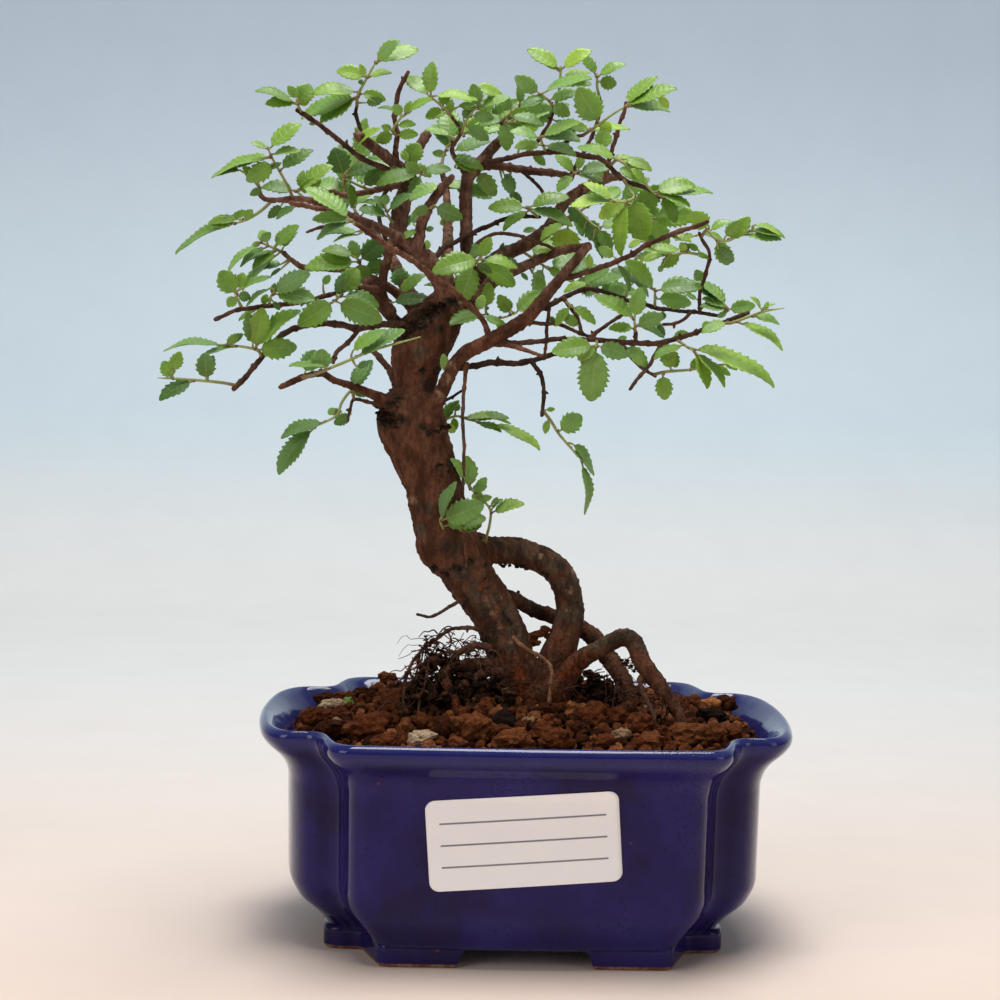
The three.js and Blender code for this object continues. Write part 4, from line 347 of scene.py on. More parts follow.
# Shoots by name: the limb each grows on, its stations, whose depths are measured from the foot, and
# its leaves: how far along, the tip's column and row, and the width that shows.
SPRAYS = {
    "top_left_peak": ("top_twig", [(357, 107, 0), (358, 95, -1), (368, 76, -2), (377, 60, -3)],
        [(1, 402, 36, 14), (0.95, 416, 48, 14), (0.62, 338, 70, 13), (0.62, 390, 71, 6), (0.3, 312, 91, 13),
        (0.22, 303, 117, 16), (0.28, 385, 99, 11), (0.2, 321, 120, 15)]),
    "upper_left_tip": ("upper_left_twig", [(301, 112, 0), (298, 106, -1), (296, 101, -2)], [(0.9, 258, 89, 8),
        (1, 310, 85, 18), (0.8, 267, 102, 10), (0.6, 309, 99, 8)]),
    "left_fan": ("left_reach", [(294, 200, 0), (288, 187, -2), (281, 174, -3), (272, 158, -4),
        (267, 146, -5)], [(1, 299, 124, 14), (1, 252, 142, 6), (0.85, 299, 150, 7), (0.8, 235, 166, 9),
        (0.82, 213, 175, 9), (0.7, 248, 180, 18), (0.55, 311, 150, 13)]),
    "left_middle": ("left_reach", [(305, 200, 0), (300, 194, 2), (294, 189, 3)], [(1, 330, 165, 14),
        (0.8, 320, 181, 13), (0.9, 263, 186, 12)]),
    "left_long_shoot": ("left_reach", [(272, 200, 0), (262, 210, -2), (250, 218, -3), (240, 222, -4),
        (228, 225, -5)], [(1, 176, 249, 8), (0.85, 209, 223, 11), (0.7, 252, 210, 9), (0.25, 299, 211, 12)]),
    "left_mid_tip": ("left_mid", [(283, 253, 0), (276, 249, -2), (267, 245, -3), (257, 241, -4)],
        [(1, 270, 233, 9), (1, 226, 273, 6), (0.6, 240, 264, 6), (0.4, 297, 226, 12), (0.25, 253, 267, 10),
        (0.1, 243, 288, 8)]),
    "left_round": ("left_low", [(242, 309, 0), (238, 300, -1), (235, 292, -1)], [(1, 221, 272, 20),
        (0.9, 250, 297, 10), (0.8, 228, 306, 10)]),
    "left_low_mid": ("left_low", [(268, 306, 0), (270, 299, -2), (274, 291, -3)], [(1, 308, 274, 17),
        (0.9, 313, 298, 17), (0.7, 245, 304, 6), (0.4, 239, 320, 5)]),
    "big_pair": ("left_low", [(344, 291, 0), (340, 296, -3), (333, 303, -5)], [(1, 300, 324, 22),
        (0.9, 380, 320, 26), (0.4, 357, 269, 20), (0.5, 378, 304, 14)]),
    "centre_left": ("left_mid", [(362, 275, 0), (362, 268, -4), (358, 260, -8)], [(1, 307, 266, 20),
        (0.9, 363, 282, 22), (0.95, 351, 241, 12), (0.9, 383, 241, 20), (0.5, 391, 266, 14)]),
    "front_tip": ("front_twig", [(357, 226, 0), (353, 222, -1), (350, 219, -2)], [(1, 314, 217, 12),
        (0.8, 317, 236, 8), (0.9, 307, 188, 15)]),
    "upper_left_mid": ("mid_left_twig", [(372, 191, 0), (360, 186, -2), (350, 181, -3), (341, 175, -4)],
        [(1, 335, 149, 22), (0.9, 376, 164, 12), (0.3, 381, 169, 14), (0.7, 352, 207, 9)]),
    "high_twig": ("high_twig", [(397, 137, 0), (393, 130, -3), (399, 120, -4), (408, 111, -4)],
        [(0.1, 417, 134, 10), (0.2, 377, 141, 12), (0.35, 382, 126, 7), (1, 430, 99, 7), (0.8, 394, 105, 10),
        (0.5, 415, 124, 7)]),
    "high_stub": ("high_stub", [(410, 170, 0), (406, 163, -3), (414, 170, -6), (424, 174, -8)],
        [(0.3, 419, 144, 18), (0.9, 378, 182, 14), (1, 406, 164, 11), (1, 411, 200, 12), (1, 450, 168, 10)]),
    "upright_shoot": ("left_upright", [(397, 226, 0), (389, 218, -3), (386, 208, -4)], [(1, 410, 194, 9),
        (1, 375, 196, 8), (0.6, 361, 208, 9)]),
    "front_leader": ("front_leader", [(425, 214, 0), (430, 208, -2), (436, 204, -3)], [(1, 461, 218, 16),
        (0.6, 414, 213, 10)]),
    "top_pair": ("crown_twig_a", [(452, 117, 0), (446, 110, -2), (437, 102, -3), (428, 95, -4)],
        [(1, 432, 63, 14), (1, 407, 76, 14), (0.4, 426, 116, 9), (0.45, 445, 92, 11)]),
    "top_mid_left": ("crown_twig_a", [(461, 134, 0), (466, 122, -2), (473, 111, -3), (482, 106, -3)],
        [(0.8, 440, 97, 9), (1, 473, 85, 14), (0.9, 460, 105, 8), (0.3, 488, 139, 13), (0.6, 493, 118, 11),
        (1, 508, 97, 9)]),
    "top_centre": ("crown_twig_b", [(501, 124, 0), (507, 117, -2), (515, 110, -3), (523, 104, -3)],
        [(1, 543, 98, 12), (0.3, 478, 124, 10), (0.6, 499, 96, 13), (0.4, 542, 123, 10), (0.2, 507, 149, 15),
        (1, 519, 84, 8)]),
    "top_peak": ("crown_twig_c", [(559, 94, 0), (560, 80, -1), (561, 66, -1)], [(0.95, 529, 50, 13),
        (1, 589, 50, 12), (0.8, 541, 61, 6), (0.55, 588, 72, 7), (0.35, 590, 82, 10)]),
    "top_front": ("crown_twig_c", [(555, 108, 0), (547, 99, -3), (538, 92, -4)], [(1, 588, 77, 9),
        (1, 516, 77, 15), (0.5, 577, 92, 11), (0.3, 569, 115, 13), (0.6, 521, 107, 8)]),
    "top_right_peak": ("crown_twig_e", [(599, 99, 0), (597, 86, -1), (597, 73, -1)], [(1, 581, 53, 10),
        (1, 624, 63, 9), (0.7, 616, 84, 13)]),
    "yellow_shoot": ("crown_twig_d", [(582, 136, 0), (598, 125, -2), (613, 114, -3), (628, 105, -4)],
        [(1, 673, 87, 13), (1, 655, 77, 11), (1, 669, 108, 11), (0.15, 628, 126, 9), (0.4, 579, 90, 28),
        (0.35, 611, 131, 14), (0.2, 568, 125, 10)]),
    "centre_bright": ("arching_branch", [(545, 152, 0), (542, 143, -3), (540, 134, -4)], [(1, 578, 138, 9),
        (0.5, 575, 153, 9), (0.9, 577, 123, 10), (0.8, 512, 130, 9), (0.5, 516, 146, 11)]),
    "centre_fan": ("straight_branch", [(569, 177, 0), (574, 174, -2), (580, 170, -3)], [(0.6, 557, 155, 10),
        (1, 583, 154, 8), (1, 610, 167, 12), (0.6, 602, 180, 8), (0.5, 558, 190, 9)]),
    "arch_end": ("arching_branch", [(610, 166, 0), (618, 160, -3), (632, 170, -5), (645, 183, -6),
        (655, 194, -6), (668, 198, -6)], [(0.2, 580, 146, 9), (0.25, 649, 167, 10), (0.6, 621, 168, 11),
        (0.8, 694, 184, 15), (0.85, 689, 205, 8), (0.9, 676, 221, 13), (1, 711, 191, 9)]),
    "hanging_pair": ("arching_branch", [(624, 179, 0), (630, 190, -4), (634, 197, -6), (625, 202, -8),
        (611, 201, -9)], [(0.5, 643, 241, 28), (0.7, 619, 253, 17), (0.65, 600, 217, 15), (1, 585, 183, 9),
        (1, 573, 204, 9), (0.4, 654, 191, 8)]),
    "centre_right": ("far_leader", [(568, 200, 0), (580, 212, -4), (590, 222, -6), (600, 229, -8)],
        [(0.6, 598, 241, 17), (1, 611, 252, 13), (0.4, 587, 232, 11), (1, 632, 222, 12)]),
    "mid_back": ("mid_back", [(538, 217, 0), (531, 211, -4), (526, 206, -6)], [(1, 567, 196, 11),
        (0.9, 571, 224, 12), (1, 490, 207, 14), (0.7, 503, 228, 8)]),
    "round_light": ("far_leader", [(556, 217, 0), (563, 221, -5), (570, 225, -8)], [(1, 564, 250, 30),
        (0.7, 541, 238, 9)]),
    "big_centre": ("upright_leader", [(468, 268, 0), (473, 264, -8), (482, 258, -14)], [(1, 435, 270, 22),
        (0.6, 461, 301, 24), (0.7, 514, 284, 19), (1, 516, 266, 9), (0.9, 490, 238, 12)]),
    "right_edge": ("right_edge_twig", [(701, 238, 0), (707, 230, -2), (716, 239, -4), (727, 241, -4),
        (740, 235, -4), (753, 229, -4)], [(0.2, 694, 213, 18), (0.22, 729, 220, 7), (0.42, 728, 264, 16),
        (0.6, 749, 218, 15), (0.8, 780, 238, 11), (1, 784, 235, 6)]),
    "right_inner": ("right_edge_twig", [(708, 258, 0), (696, 254, -2), (683, 253, -4), (668, 255, -5)],
        [(0.6, 681, 243, 8), (0.7, 662, 266, 12), (1, 642, 247, 8), (1, 636, 258, 9)]),
    "right_mid": ("right_back_twig", [(655, 308, 0), (655, 297, -3), (655, 288, -5)], [(1, 628, 261, 14),
        (0.9, 614, 269, 11), (0.5, 690, 303, 16), (1, 700, 285, 16)]),
    "right_back_end": ("right_back_twig", [(720, 316, 0), (725, 311, -2), (729, 308, -3)], [(1, 696, 279, 14),
        (0.9, 702, 305, 8), (1, 754, 305, 13)]),
    "right_tip": ("low_right_limb", [(722, 323, 0), (731, 323, -2), (748, 317, -4), (766, 311, -5),
        (784, 308, -5)], [(0.25, 783, 345, 9), (0.1, 703, 331, 10), (0.5, 779, 322, 8), (0.7, 768, 302, 5)]),
    "spur": ("spur", [(635, 332, 0), (635, 326, -2), (634, 316, -3)], [(1, 597, 295, 14), (1, 640, 289, 16),
        (0.5, 662, 316, 16), (0.3, 610, 328, 10)]),
    "hanging_leaf": ("low_right_limb", [(597, 340, 0), (597, 343, -2), (596, 347, -4)], [(1, 591, 400, 31),
        (0.9, 554, 351, 19), (0.9, 627, 355, 16), (0.8, 582, 364, 12)]),
    "right_long": ("low_right_limb", [(676, 339, 0), (686, 346, -2), (697, 353, -3)], [(0.6, 773, 379, 16),
        (1, 725, 384, 9), (1, 709, 386, 12), (0.4, 655, 357, 9)]),
    "low_right": ("falling_twig", [(654, 375, 0), (665, 372, -1), (688, 370, -1), (713, 367, -1)],
        [(0.3, 666, 345, 16), (0.15, 665, 399, 16), (0.6, 700, 358, 8), (1, 730, 374, 7),
        (0.1, 641, 352, 10)]),
    "centre_low": ("right_leader", [(484, 290, 0), (486, 304, -4), (487, 314, -5), (500, 318, -5),
        (517, 313, -6)], [(0.4, 489, 284, 13), (0.5, 452, 321, 11), (0.7, 503, 333, 9), (0.9, 499, 296, 13),
        (1, 543, 292, 17)]),
    "kinked_twig": ("kinked_twig", [(566, 301, 0), (570, 305, -2), (572, 307, -3)], [(1, 595, 322, 10),
        (0.8, 556, 325, 9), (0.9, 616, 277, 14)]),
    "lower_left": ("lower_left", [(262, 357, 0), (257, 350, -3), (238, 346, -3), (222, 345, -3)],
        [(0.33, 262, 310, 21), (0.36, 295, 309, 14), (0.3, 295, 347, 20), (1, 166, 346, 6),
        (0.9, 242, 334, 8), (0.7, 202, 355, 6)]),
    "far_left": ("lower_left", [(236, 386, 0), (224, 383, -2), (205, 381, -3), (182, 379, -4),
        (158, 378, -4)], [(0.8, 159, 356, 20), (0.55, 156, 401, 15), (0.4, 205, 354, 18)]),
    "crossing_shoot": ("collar_branch", [(300, 379, 0), (315, 374, -3), (345, 362, -6), (374, 350, -8),
        (420, 337, -10)], [(0.5, 402, 330, 16), (0.2, 322, 350, 19), (0.28, 291, 365, 6)]),
    "collar_shoot": ("collar_twig", [(354, 399, 0), (351, 391, -4), (342, 402, -6), (337, 415, -7),
        (325, 422, -7), (312, 428, -7)], [(0.2, 370, 361, 14), (0.22, 369, 393, 9), (0.65, 329, 409, 8),
        (0.8, 282, 435, 12), (1, 278, 471, 18)]),
    "drooping_shoot": ("drooping_twig", [(543, 410, 0), (551, 421, -1), (559, 434, -1), (571, 448, -2),
        (584, 463, -3)], [(1, 588, 512, 10), (0.7, 595, 473, 9), (0.4, 581, 416, 19), (0.15, 545, 433, 7)]),
    "trunk_left": ("trunk", [(446, 534, 0), (443, 528, -8), (440, 521, -11), (440, 519, -12)],
        [(0.95, 454, 483, 10), (1, 482, 505, 23), (0.7, 484, 518, 18)]),
    "trunk_right": ("arch_root", [(484, 548, 0), (487, 535, -6), (490, 522, -7), (490, 509, -8),
        (480, 498, -8), (468, 487, -8)], [(0.6, 522, 502, 11), (0.75, 473, 494, 12), (0.3, 474, 552, 10),
        (1, 453, 459, 9), (1, 468, 457, 12), (0.9, 486, 478, 9)]),
    "behind_trunk": ("trunk", [(432, 430, 4), (452, 417, 9), (470, 420, 10), (492, 425, 11)],
        [(0.4, 457, 400, 10), (0.4, 455, 432, 8), (0.65, 509, 419, 8), (1, 539, 445, 8)]),
}

# Shoots that no picture shows: the last number is how many leaves are drawn along them.
BACK_SPRAYS = {
    "back_left": ("back_left", [(360, 219, 0), (350, 200, 4), (343, 184, 3), (348, 170, 0), (362, 158, -5)],
        13),
    "back_right": ("back_right", [(572, 216, 0), (590, 205, 3), (610, 200, 2), (632, 205, -3),
        (655, 222, -9)], 13),
    "back_middle": ("back_mid", [(441, 168, 0), (446, 150, 3), (462, 134, 2), (490, 124, -4),
        (520, 122, -11)], 13),
    "back_low": ("back_right", [(520, 250, 0), (538, 262, 6), (560, 276, 9), (586, 288, 8), (610, 300, 4)],
        12),
}

# Leaves beside the planned ones: base and tip as column and row, width in columns, and tone, which is partly
# painted shade and light.
MORE_LEAVES = [
    (482, 540, 473, 553, 11, "L"), (299, 99, 288, 86, 10, "L"), (243, 170, 212, 174, 8, "L"),
    (258, 182, 243, 166, 10, "B"), (263, 188, 250, 195, 8, "D"), (283, 162, 268, 170, 6, "D"),
    (300, 190, 303, 170, 9, "M"), (318, 122, 309, 124, 5, "M"), (366, 77, 360, 64, 7, "B"),
    (365, 82, 358, 82, 5, "D"), (405, 117, 411, 101, 9, "B"), (400, 112, 378, 106, 4, "M"),
    (432, 96, 478, 99, 8, "B"), (449, 113, 425, 117, 9, "B"), (447, 116, 452, 99, 9, "B"),
    (458, 106, 488, 103, 8, "B"), (462, 120, 472, 107, 11, "D"), (464, 128, 456, 122, 8, "D"),
    (452, 137, 425, 128, 7, "M"), (452, 152, 490, 139, 13, "M"), (448, 156, 432, 152, 8, "M"),
    (449, 156, 484, 168, 11, "M"), (452, 168, 478, 169, 8, "M"), (407, 164, 432, 176, 11, "L"),
    (442, 184, 408, 198, 12, "L"), (452, 188, 492, 196, 13, "M"), (440, 183, 470, 188, 8, "M"),
    (476, 170, 496, 196, 18, "M"), (500, 176, 514, 194, 10, "D"), (508, 190, 522, 203, 10, "D"),
    (352, 148, 379, 127, 9, "B"), (408, 163, 402, 150, 8, "B"), (385, 207, 386, 194, 9, "M"),
    (383, 205, 360, 201, 6, "M"), (472, 88, 503, 94, 11, "B"), (548, 112, 569, 104, 9, "B"),
    (552, 119, 577, 136, 8, "D"), (600, 150, 606, 130, 18, "L"), (531, 153, 546, 165, 9, "M"),
    (518, 148, 534, 141, 9, "D"), (622, 158, 652, 170, 11, "L"), (610, 157, 640, 163, 8, "B"),
    (646, 184, 632, 168, 9, "B"), (657, 94, 669, 108, 8, "Y"), (710, 226, 695, 213, 11, "M"),
    (702, 234, 724, 238, 6, "M"), (668, 236, 692, 240, 7, "B"), (752, 224, 785, 235, 5, "B"),
    (724, 238, 740, 221, 13, "M"), (241, 219, 209, 222, 9, "M"), (251, 213, 230, 217, 8, "B"),
    (283, 204, 268, 218, 10, "D"), (297, 206, 275, 218, 8, "D"), (268, 243, 260, 230, 12, "B"),
    (262, 243, 252, 245, 6, "B"), (275, 246, 285, 229, 9, "L"), (282, 250, 296, 226, 11, "D"),
    (274, 251, 241, 263, 5, "M"), (285, 264, 252, 268, 9, "L"), (240, 290, 270, 275, 6, "M"),
    (283, 268, 270, 276, 4, "D"), (239, 291, 243, 272, 12, "L"), (272, 287, 245, 305, 5, "M"),
    (262, 306, 267, 294, 8, "M"), (272, 296, 275, 283, 7, "D"), (272, 300, 280, 310, 6, "D"),
    (258, 309, 238, 320, 5, "L"), (253, 346, 248, 313, 16, "D"), (304, 374, 316, 350, 20, "D"),
    (225, 345, 240, 334, 9, "M"), (172, 372, 180, 352, 14, "M"), (208, 374, 213, 355, 9, "D"),
    (361, 232, 317, 234, 8, "B"), (362, 234, 333, 240, 4, "B"), (356, 257, 322, 248, 10, "M"),
    (376, 276, 390, 261, 11, "M"), (398, 295, 424, 273, 12, "M"), (402, 289, 399, 268, 20, "D"),
    (391, 303, 430, 298, 12, "D"), (383, 250, 400, 240, 6, "M"), (400, 240, 417, 230, 7, "M"),
    (336, 297, 345, 272, 10, "D"), (322, 286, 330, 275, 8, "M"), (330, 302, 326, 312, 5, "L"),
    (412, 226, 420, 208, 11, "D"), (403, 231, 412, 214, 8, "M"), (424, 230, 434, 228, 6, "D"),
    (448, 220, 440, 224, 8, "B"), (427, 251, 427, 240, 8, "B"), (491, 246, 461, 256, 14, "M"),
    (470, 268, 452, 300, 16, "B"), (462, 268, 437, 276, 9, "D"), (476, 262, 492, 274, 10, "D"),
    (478, 312, 483, 295, 11, "B"), (350, 353, 385, 330, 13, "L"), (356, 369, 369, 361, 7, "D"),
    (447, 374, 443, 354, 10, "B"), (440, 287, 424, 284, 4, "B"), (492, 258, 520, 266, 9, "D"),
    (483, 316, 501, 324, 8, "M"), (512, 312, 504, 298, 10, "M"), (524, 312, 548, 294, 12, "M"),
    (566, 205, 584, 224, 12, "D"), (583, 226, 600, 238, 12, "D"), (616, 258, 598, 247, 11, "M"),
    (590, 270, 589, 254, 8, "B"), (548, 266, 562, 277, 10, "M"), (534, 276, 546, 290, 9, "L"),
    (520, 272, 528, 280, 5, "M"), (552, 250, 537, 252, 6, "B"), (590, 283, 563, 290, 8, "B"),
    (580, 327, 562, 314, 11, "M"), (548, 316, 555, 322, 6, "M"), (597, 345, 578, 360, 12, "B"),
    (624, 345, 648, 366, 14, "B"), (616, 340, 627, 337, 5, "B"), (501, 255, 503, 243, 5, "D"),
    (537, 229, 523, 231, 6, "M"), (643, 240, 628, 247, 7, "B"), (640, 262, 662, 254, 8, "B"),
    (650, 250, 679, 249, 9, "L"), (663, 264, 659, 272, 6, "M"), (690, 252, 682, 243, 8, "D"),
    (700, 251, 688, 244, 7, "M"), (697, 236, 675, 239, 7, "B"), (694, 254, 709, 257, 6, "M"),
    (716, 247, 734, 262, 14, "D"), (702, 282, 696, 270, 11, "M"), (726, 306, 697, 278, 9, "L"),
    (727, 308, 703, 297, 8, "M"), (698, 300, 686, 294, 5, "L"), (762, 310, 752, 296, 4, "B"),
    (762, 308, 775, 303, 4, "B"), (712, 322, 702, 328, 9, "B"), (728, 312, 717, 317, 6, "M"),
    (663, 310, 662, 320, 8, "D"), (640, 326, 665, 337, 6, "D"), (655, 324, 666, 335, 6, "D"),
    (672, 337, 688, 332, 8, "M"), (668, 346, 677, 368, 13, "M"), (723, 364, 738, 369, 6, "B"),
    (616, 262, 632, 290, 8, "D"), (632, 280, 650, 296, 6, "M"), (363, 215, 366, 204, 9, "M"),
    (350, 388, 369, 362, 12, "D"), (352, 394, 368, 392, 8, "M"), (343, 412, 330, 412, 8, "D"),
    (352, 414, 334, 424, 12, "D"), (455, 413, 457, 402, 9, "D"), (453, 416, 456, 430, 8, "L"),
    (472, 420, 509, 417, 8, "L"), (476, 423, 502, 430, 7, "B"), (545, 410, 555, 409, 5, "M"),
    (571, 442, 594, 470, 10, "M"), (465, 480, 453, 458, 8, "L"), (470, 490, 487, 486, 10, "M"),
    (476, 500, 492, 497, 8, "M"), (492, 510, 497, 497, 6, "D"), (493, 505, 503, 499, 5, "L"),
    (440, 522, 452, 484, 9, "D"), (457, 530, 482, 524, 12, "D"), (478, 538, 481, 553, 11, "M"),
    (456, 188, 489, 194, 12, "M"), (502, 172, 516, 190, 9, "D"), (572, 214, 584, 236, 9, "D"),
    (592, 236, 604, 258, 8, "D"), (364, 103, 383, 100, 10, "D"), (352, 172, 385, 163, 9, "L"),
    (452, 160, 476, 171, 9, "L")
]

# Stones and chips on the soil: column, row, width and height as they show, and tone. P is
# pale, S speckled grey, G green, O orange rind and K black; the others are clay.
BIG_GRANULES = [
    (300, 717, 18, 16, "M"), (326, 699, 20, 8, "D"), (333, 705, 22, 7, "P"), (348, 703, 9, 11, "G"),
    (321, 717, 24, 11, "M"), (333, 728, 28, 12, "D"), (336, 724, 17, 6, "S"), (368, 728, 34, 20, "M"),
    (344, 691, 22, 10, "M"), (364, 686, 17, 9, "D"), (388, 678, 18, 9, "M"), (403, 704, 32, 25, "M"),
    (405, 728, 12, 18, "L"), (421, 738, 25, 13, "P"), (424, 723, 18, 19, "M"), (443, 731, 18, 26, "D"),
    (476, 728, 33, 25, "L"), (486, 706, 17, 18, "M"), (502, 731, 19, 12, "M"), (515, 741, 31, 13, "L"),
    (529, 722, 11, 10, "S"), (543, 731, 18, 18, "M"), (559, 741, 28, 13, "M"), (457, 742, 17, 8, "L"),
    (503, 720, 26, 10, "K"), (593, 716, 26, 20, "M"), (617, 717, 25, 18, "M"), (640, 726, 24, 19, "M"),
    (648, 710, 9, 10, "S"), (689, 736, 33, 15, "L"), (711, 732, 22, 17, "L"), (622, 735, 15, 11, "S"),
    (651, 740, 22, 9, "L"), (711, 704, 22, 8, "O"), (710, 716, 33, 9, "K"), (729, 703, 20, 17, "D"),
    (692, 701, 16, 15, "M"), (734, 733, 16, 10, "M"), (385, 741, 22, 9, "M"), (350, 739, 20, 8, "L"),
    (579, 729, 15, 12, "D"), (605, 741, 20, 8, "M"), (668, 727, 13, 12, "D"), (545, 709, 14, 12, "D")
]

# Scraps wedged between the trunk and the arching root: column, row, depth and half width.
WEDGED_SCRAPS = [(530, 640, 2, 1.9), (537, 635, 2, 2.0), (545, 630, 3, 1.8), (535, 643, 1, 1.5),
                 (548, 636, 3, 1.4)]

# Peat heaps: the line each is heaped to, its depths and its count of crumbs.
PEAT_HEAPS = [
    ([(400, 699), (408, 685), (418, 670), (427, 656), (440, 652), (452, 656), (465, 666), (478, 665),
      (488, 664), (500, 672), (512, 690)], (-14, -1), 760),
    ([(478, 704), (500, 702), (530, 704), (548, 708)], (-17, -8), 210),
    ([(500, 676), (530, 700), (545, 700), (562, 690)], (-4, 6), 170),
    ([(562, 690), (575, 676), (592, 666), (606, 670), (614, 686), (622, 700)], (-3, 7), 300),
    ([(622, 700), (640, 708), (660, 712)], (-16, 0), 70),
]

# Bark: ledges added to the trunk, a split, and spots of colour, as columns and rows. Some dark spots are
# painted shade under the ledge and the arching root, and some pale ones are painted highlights on the arching
# root's bend and right edge.
LEDGES = [[(437, 524, -1, 6.0), (440, 541, -1, 6.4), (442, 553, -1, 5.9), (446, 560, -1, 5.0)]]
GROOVE = [(486, 580), (493, 590), (499, 601), (505, 612), (511, 624), (517, 633)]
BARK_SPOTS = {
    "dark": [(403, 335, 10), (411, 328, 13), (420, 322, 15), (430, 315, 15), (440, 309, 13), (450, 302, 10),
        (423, 371, 6), (437, 371, 5), (382, 418, 12), (391, 420, 11), (401, 421, 9), (392, 405, 8),
        (428, 433, 4), (398, 398, 8), (433, 568, 6), (446, 572, 7), (458, 567, 7), (476, 640, 5),
        (465, 606, 4), (500, 684, 11), (514, 716, 9), (485, 690, 8), (484, 565, 4), (388, 425, 7),
        (422, 427, 5), (440, 329, 6), (460, 316, 6), (385, 318, 5), (470, 561, 6), (486, 640, 9),
        (494, 652, 8), (520, 568, 7), (545, 576, 6), (450, 597, 5)],
    "grey": [(500, 545, 12), (520, 549, 14), (540, 556, 14), (556, 566, 14), (570, 582, 16), (575, 600, 16),
        (574, 618, 13), (496, 598, 9), (506, 614, 12), (513, 630, 13), (522, 640, 8), (595, 645, 12),
        (612, 638, 12), (628, 635, 14), (640, 645, 9), (428, 508, 11), (422, 530, 10), (452, 548, 12),
        (462, 572, 14), (476, 592, 14), (486, 610, 14), (492, 632, 12), (506, 650, 12), (441, 395, 6),
        (420, 350, 10), (428, 385, 9), (455, 430, 7), (532, 605, 10), (560, 615, 10)],
    "orange": [(518, 676, 16), (520, 692, 16), (508, 700, 12), (575, 668, 14), (563, 680, 14), (556, 698, 13),
        (550, 714, 12), (569, 655, 8), (560, 640, 7), (540, 680, 8), (502, 594, 3), (482, 587, 4),
        (564, 600, 3), (561, 575, 4), (569, 628, 4), (665, 705, 9), (672, 716, 9), (600, 660, 5),
        (447, 690, 9), (452, 705, 9), (590, 655, 7), (648, 690, 8), (655, 704, 9), (505, 655, 5),
        (530, 655, 6), (500, 690, 10)],
    "pale": [(358, 135, 9), (427, 134, 7), (503, 139, 8), (368, 279, 4), (574, 570, 5), (438, 395, 8),
        (446, 380, 8), (453, 366, 7), (588, 246, 4), (441, 430, 6), (412, 500, 6), (572, 590, 6),
        (486, 598, 5), (493, 612, 5), (500, 626, 5), (508, 642, 5), (541, 556, 4), (568, 612, 4)],
}

# Dark crumbs along old cuts: the line they follow with depths, its spread and their count.
CRUMBLY_LINES = [
    ([(404, 334, -5), (412, 324, -6), (424, 315, -6), (438, 308, -5), (452, 302, -3)], 9, 80),
    ([(380, 402, -2), (384, 416, -7), (396, 423, -8), (410, 424, -8)], 12, 90),
    ([(420, 432, -8), (440, 432, -7), (450, 424, -5)], 5, 14),
    ([(388, 397, 0), (398, 385, 2), (402, 372, 3)], 6, 24),
    ([(500, 565, 4), (525, 566, 5), (548, 574, 6), (556, 587, 6)], 4, 40),
    ([(500, 604, 5), (513, 594, 7), (522, 595, 8)], 5, 14),
    ([(622, 660, -9), (632, 668, -10), (646, 690, -12)], 6, 24),
    ([(424, 640, -10), (430, 650, -11), (452, 660, -9), (474, 652, -7)], 14, 46),
]

# Fine roots: left, right, top, bottom, depths, count and radius of a strand.
HAIR_PATCHES = [
    (424, 478, 632, 660, (-11, -5), 74, 0.17), (404, 450, 655, 690, (-13, -8), 36, 0.2),
    (480, 500, 650, 672, (-8, -4), 18, 0.13), (540, 566, 665, 700, (-10, -5), 16, 0.13),
    (618, 646, 655, 700, (-14, -8), 26, 0.16), (655, 680, 690, 712, (-17, -12), 14, 0.2),
    (505, 545, 655, 690, (-9, -6), 14, 0.11), (598, 620, 668, 700, (2, 8), 12, 0.2),
]

# How dark or pale a twig is, from 0 to 1, and the tone of a spray's leaves: partly how young they are, partly
# painted shade for sprays inside the crown and painted light for those lit through behind the trunk.
TWIG_TONES = {
    0.05: ("drooping_twig", "low_right_branch", "small_back_twig", "mid_back", "left_riser", "hooked_twig",
           "back_left", "back_right", "back_mid", "right_back_twig", "cross_twig", "top_twig"),
    0.25: ("dead_root", "arching_branch", "lower_left", "left_mid", "upper_left_twig", "low_right_limb"),
    0.6: ("front_twig", "hanging_stem", "high_twig", "orange_root", "left_root_b"),
    0.7: ("right_snag", "left_snag", "tall_twig"),
    0.85: ("front_root",),
}
SPRAY_TONES = {
    0.58: ("top_left_peak", "centre_bright"),
    0.85: ("round_light", "hanging_pair"),
    0.64: ("yellow_shoot", "top_peak"),
    0.22: ("centre_fan", "high_stub", "upright_shoot", "centre_left"),
    0.3: ("big_pair", "top_front", "front_leader"),
    0.6: ("right_tip",),
    0.55: ("drooping_shoot", "trunk_right", "right_long"),
    1.0: ("behind_trunk",),
    0.15: ("upper_left_mid", "left_round", "far_left", "collar_shoot"),
}


def is_root(name):
    return name == "trunk" or ("root" in name and name != "dead_root")


def limb_stations(name):
    """A limb's stations and radii. Roots run on down into the soil."""
    stations = [seen(column, row, depth) for column, row, depth, radius in LIMBS[name]]
    radii = [radius for column, row, depth, radius in LIMBS[name]]
    sunk = np.array([0, 0, ROOT_SINK])
    if name == "trunk":
        return [stations[0] - sunk] + stations, [radii[0]] + radii
    if is_root(name):
        return stations + [stations[-1] - sunk], radii + [radii[-1]]
    return stations, radii


class Limb:
    def __init__(self, name):
        stations, self.radii = limb_stations(name)
        self.name = name
        self.curve = Curve(stations)

    def radius(self, share):
        return np.interp(share, np.linspace(0, 1, len(self.radii)), self.radii)


limbs = {name: Limb(name) for name in LIMBS}

rod_starts, rod_ends, rod_radii = [], [], []
for grown in limbs.values():
    pieces = len(grown.radii) * 3
    ring = grown.curve.at(np.arange(pieces + 1) / pieces)
    rod_starts.append(ring[:-1])
    rod_ends.append(ring[1:])
    rod_radii.append(grown.radius((np.arange(pieces) + 0.5) / pieces))
ROD_STARTS = np.vstack(rod_starts)
ROD_RUNS = np.vstack(rod_ends) - ROD_STARTS
ROD_RADII = np.concatenate(rod_radii)


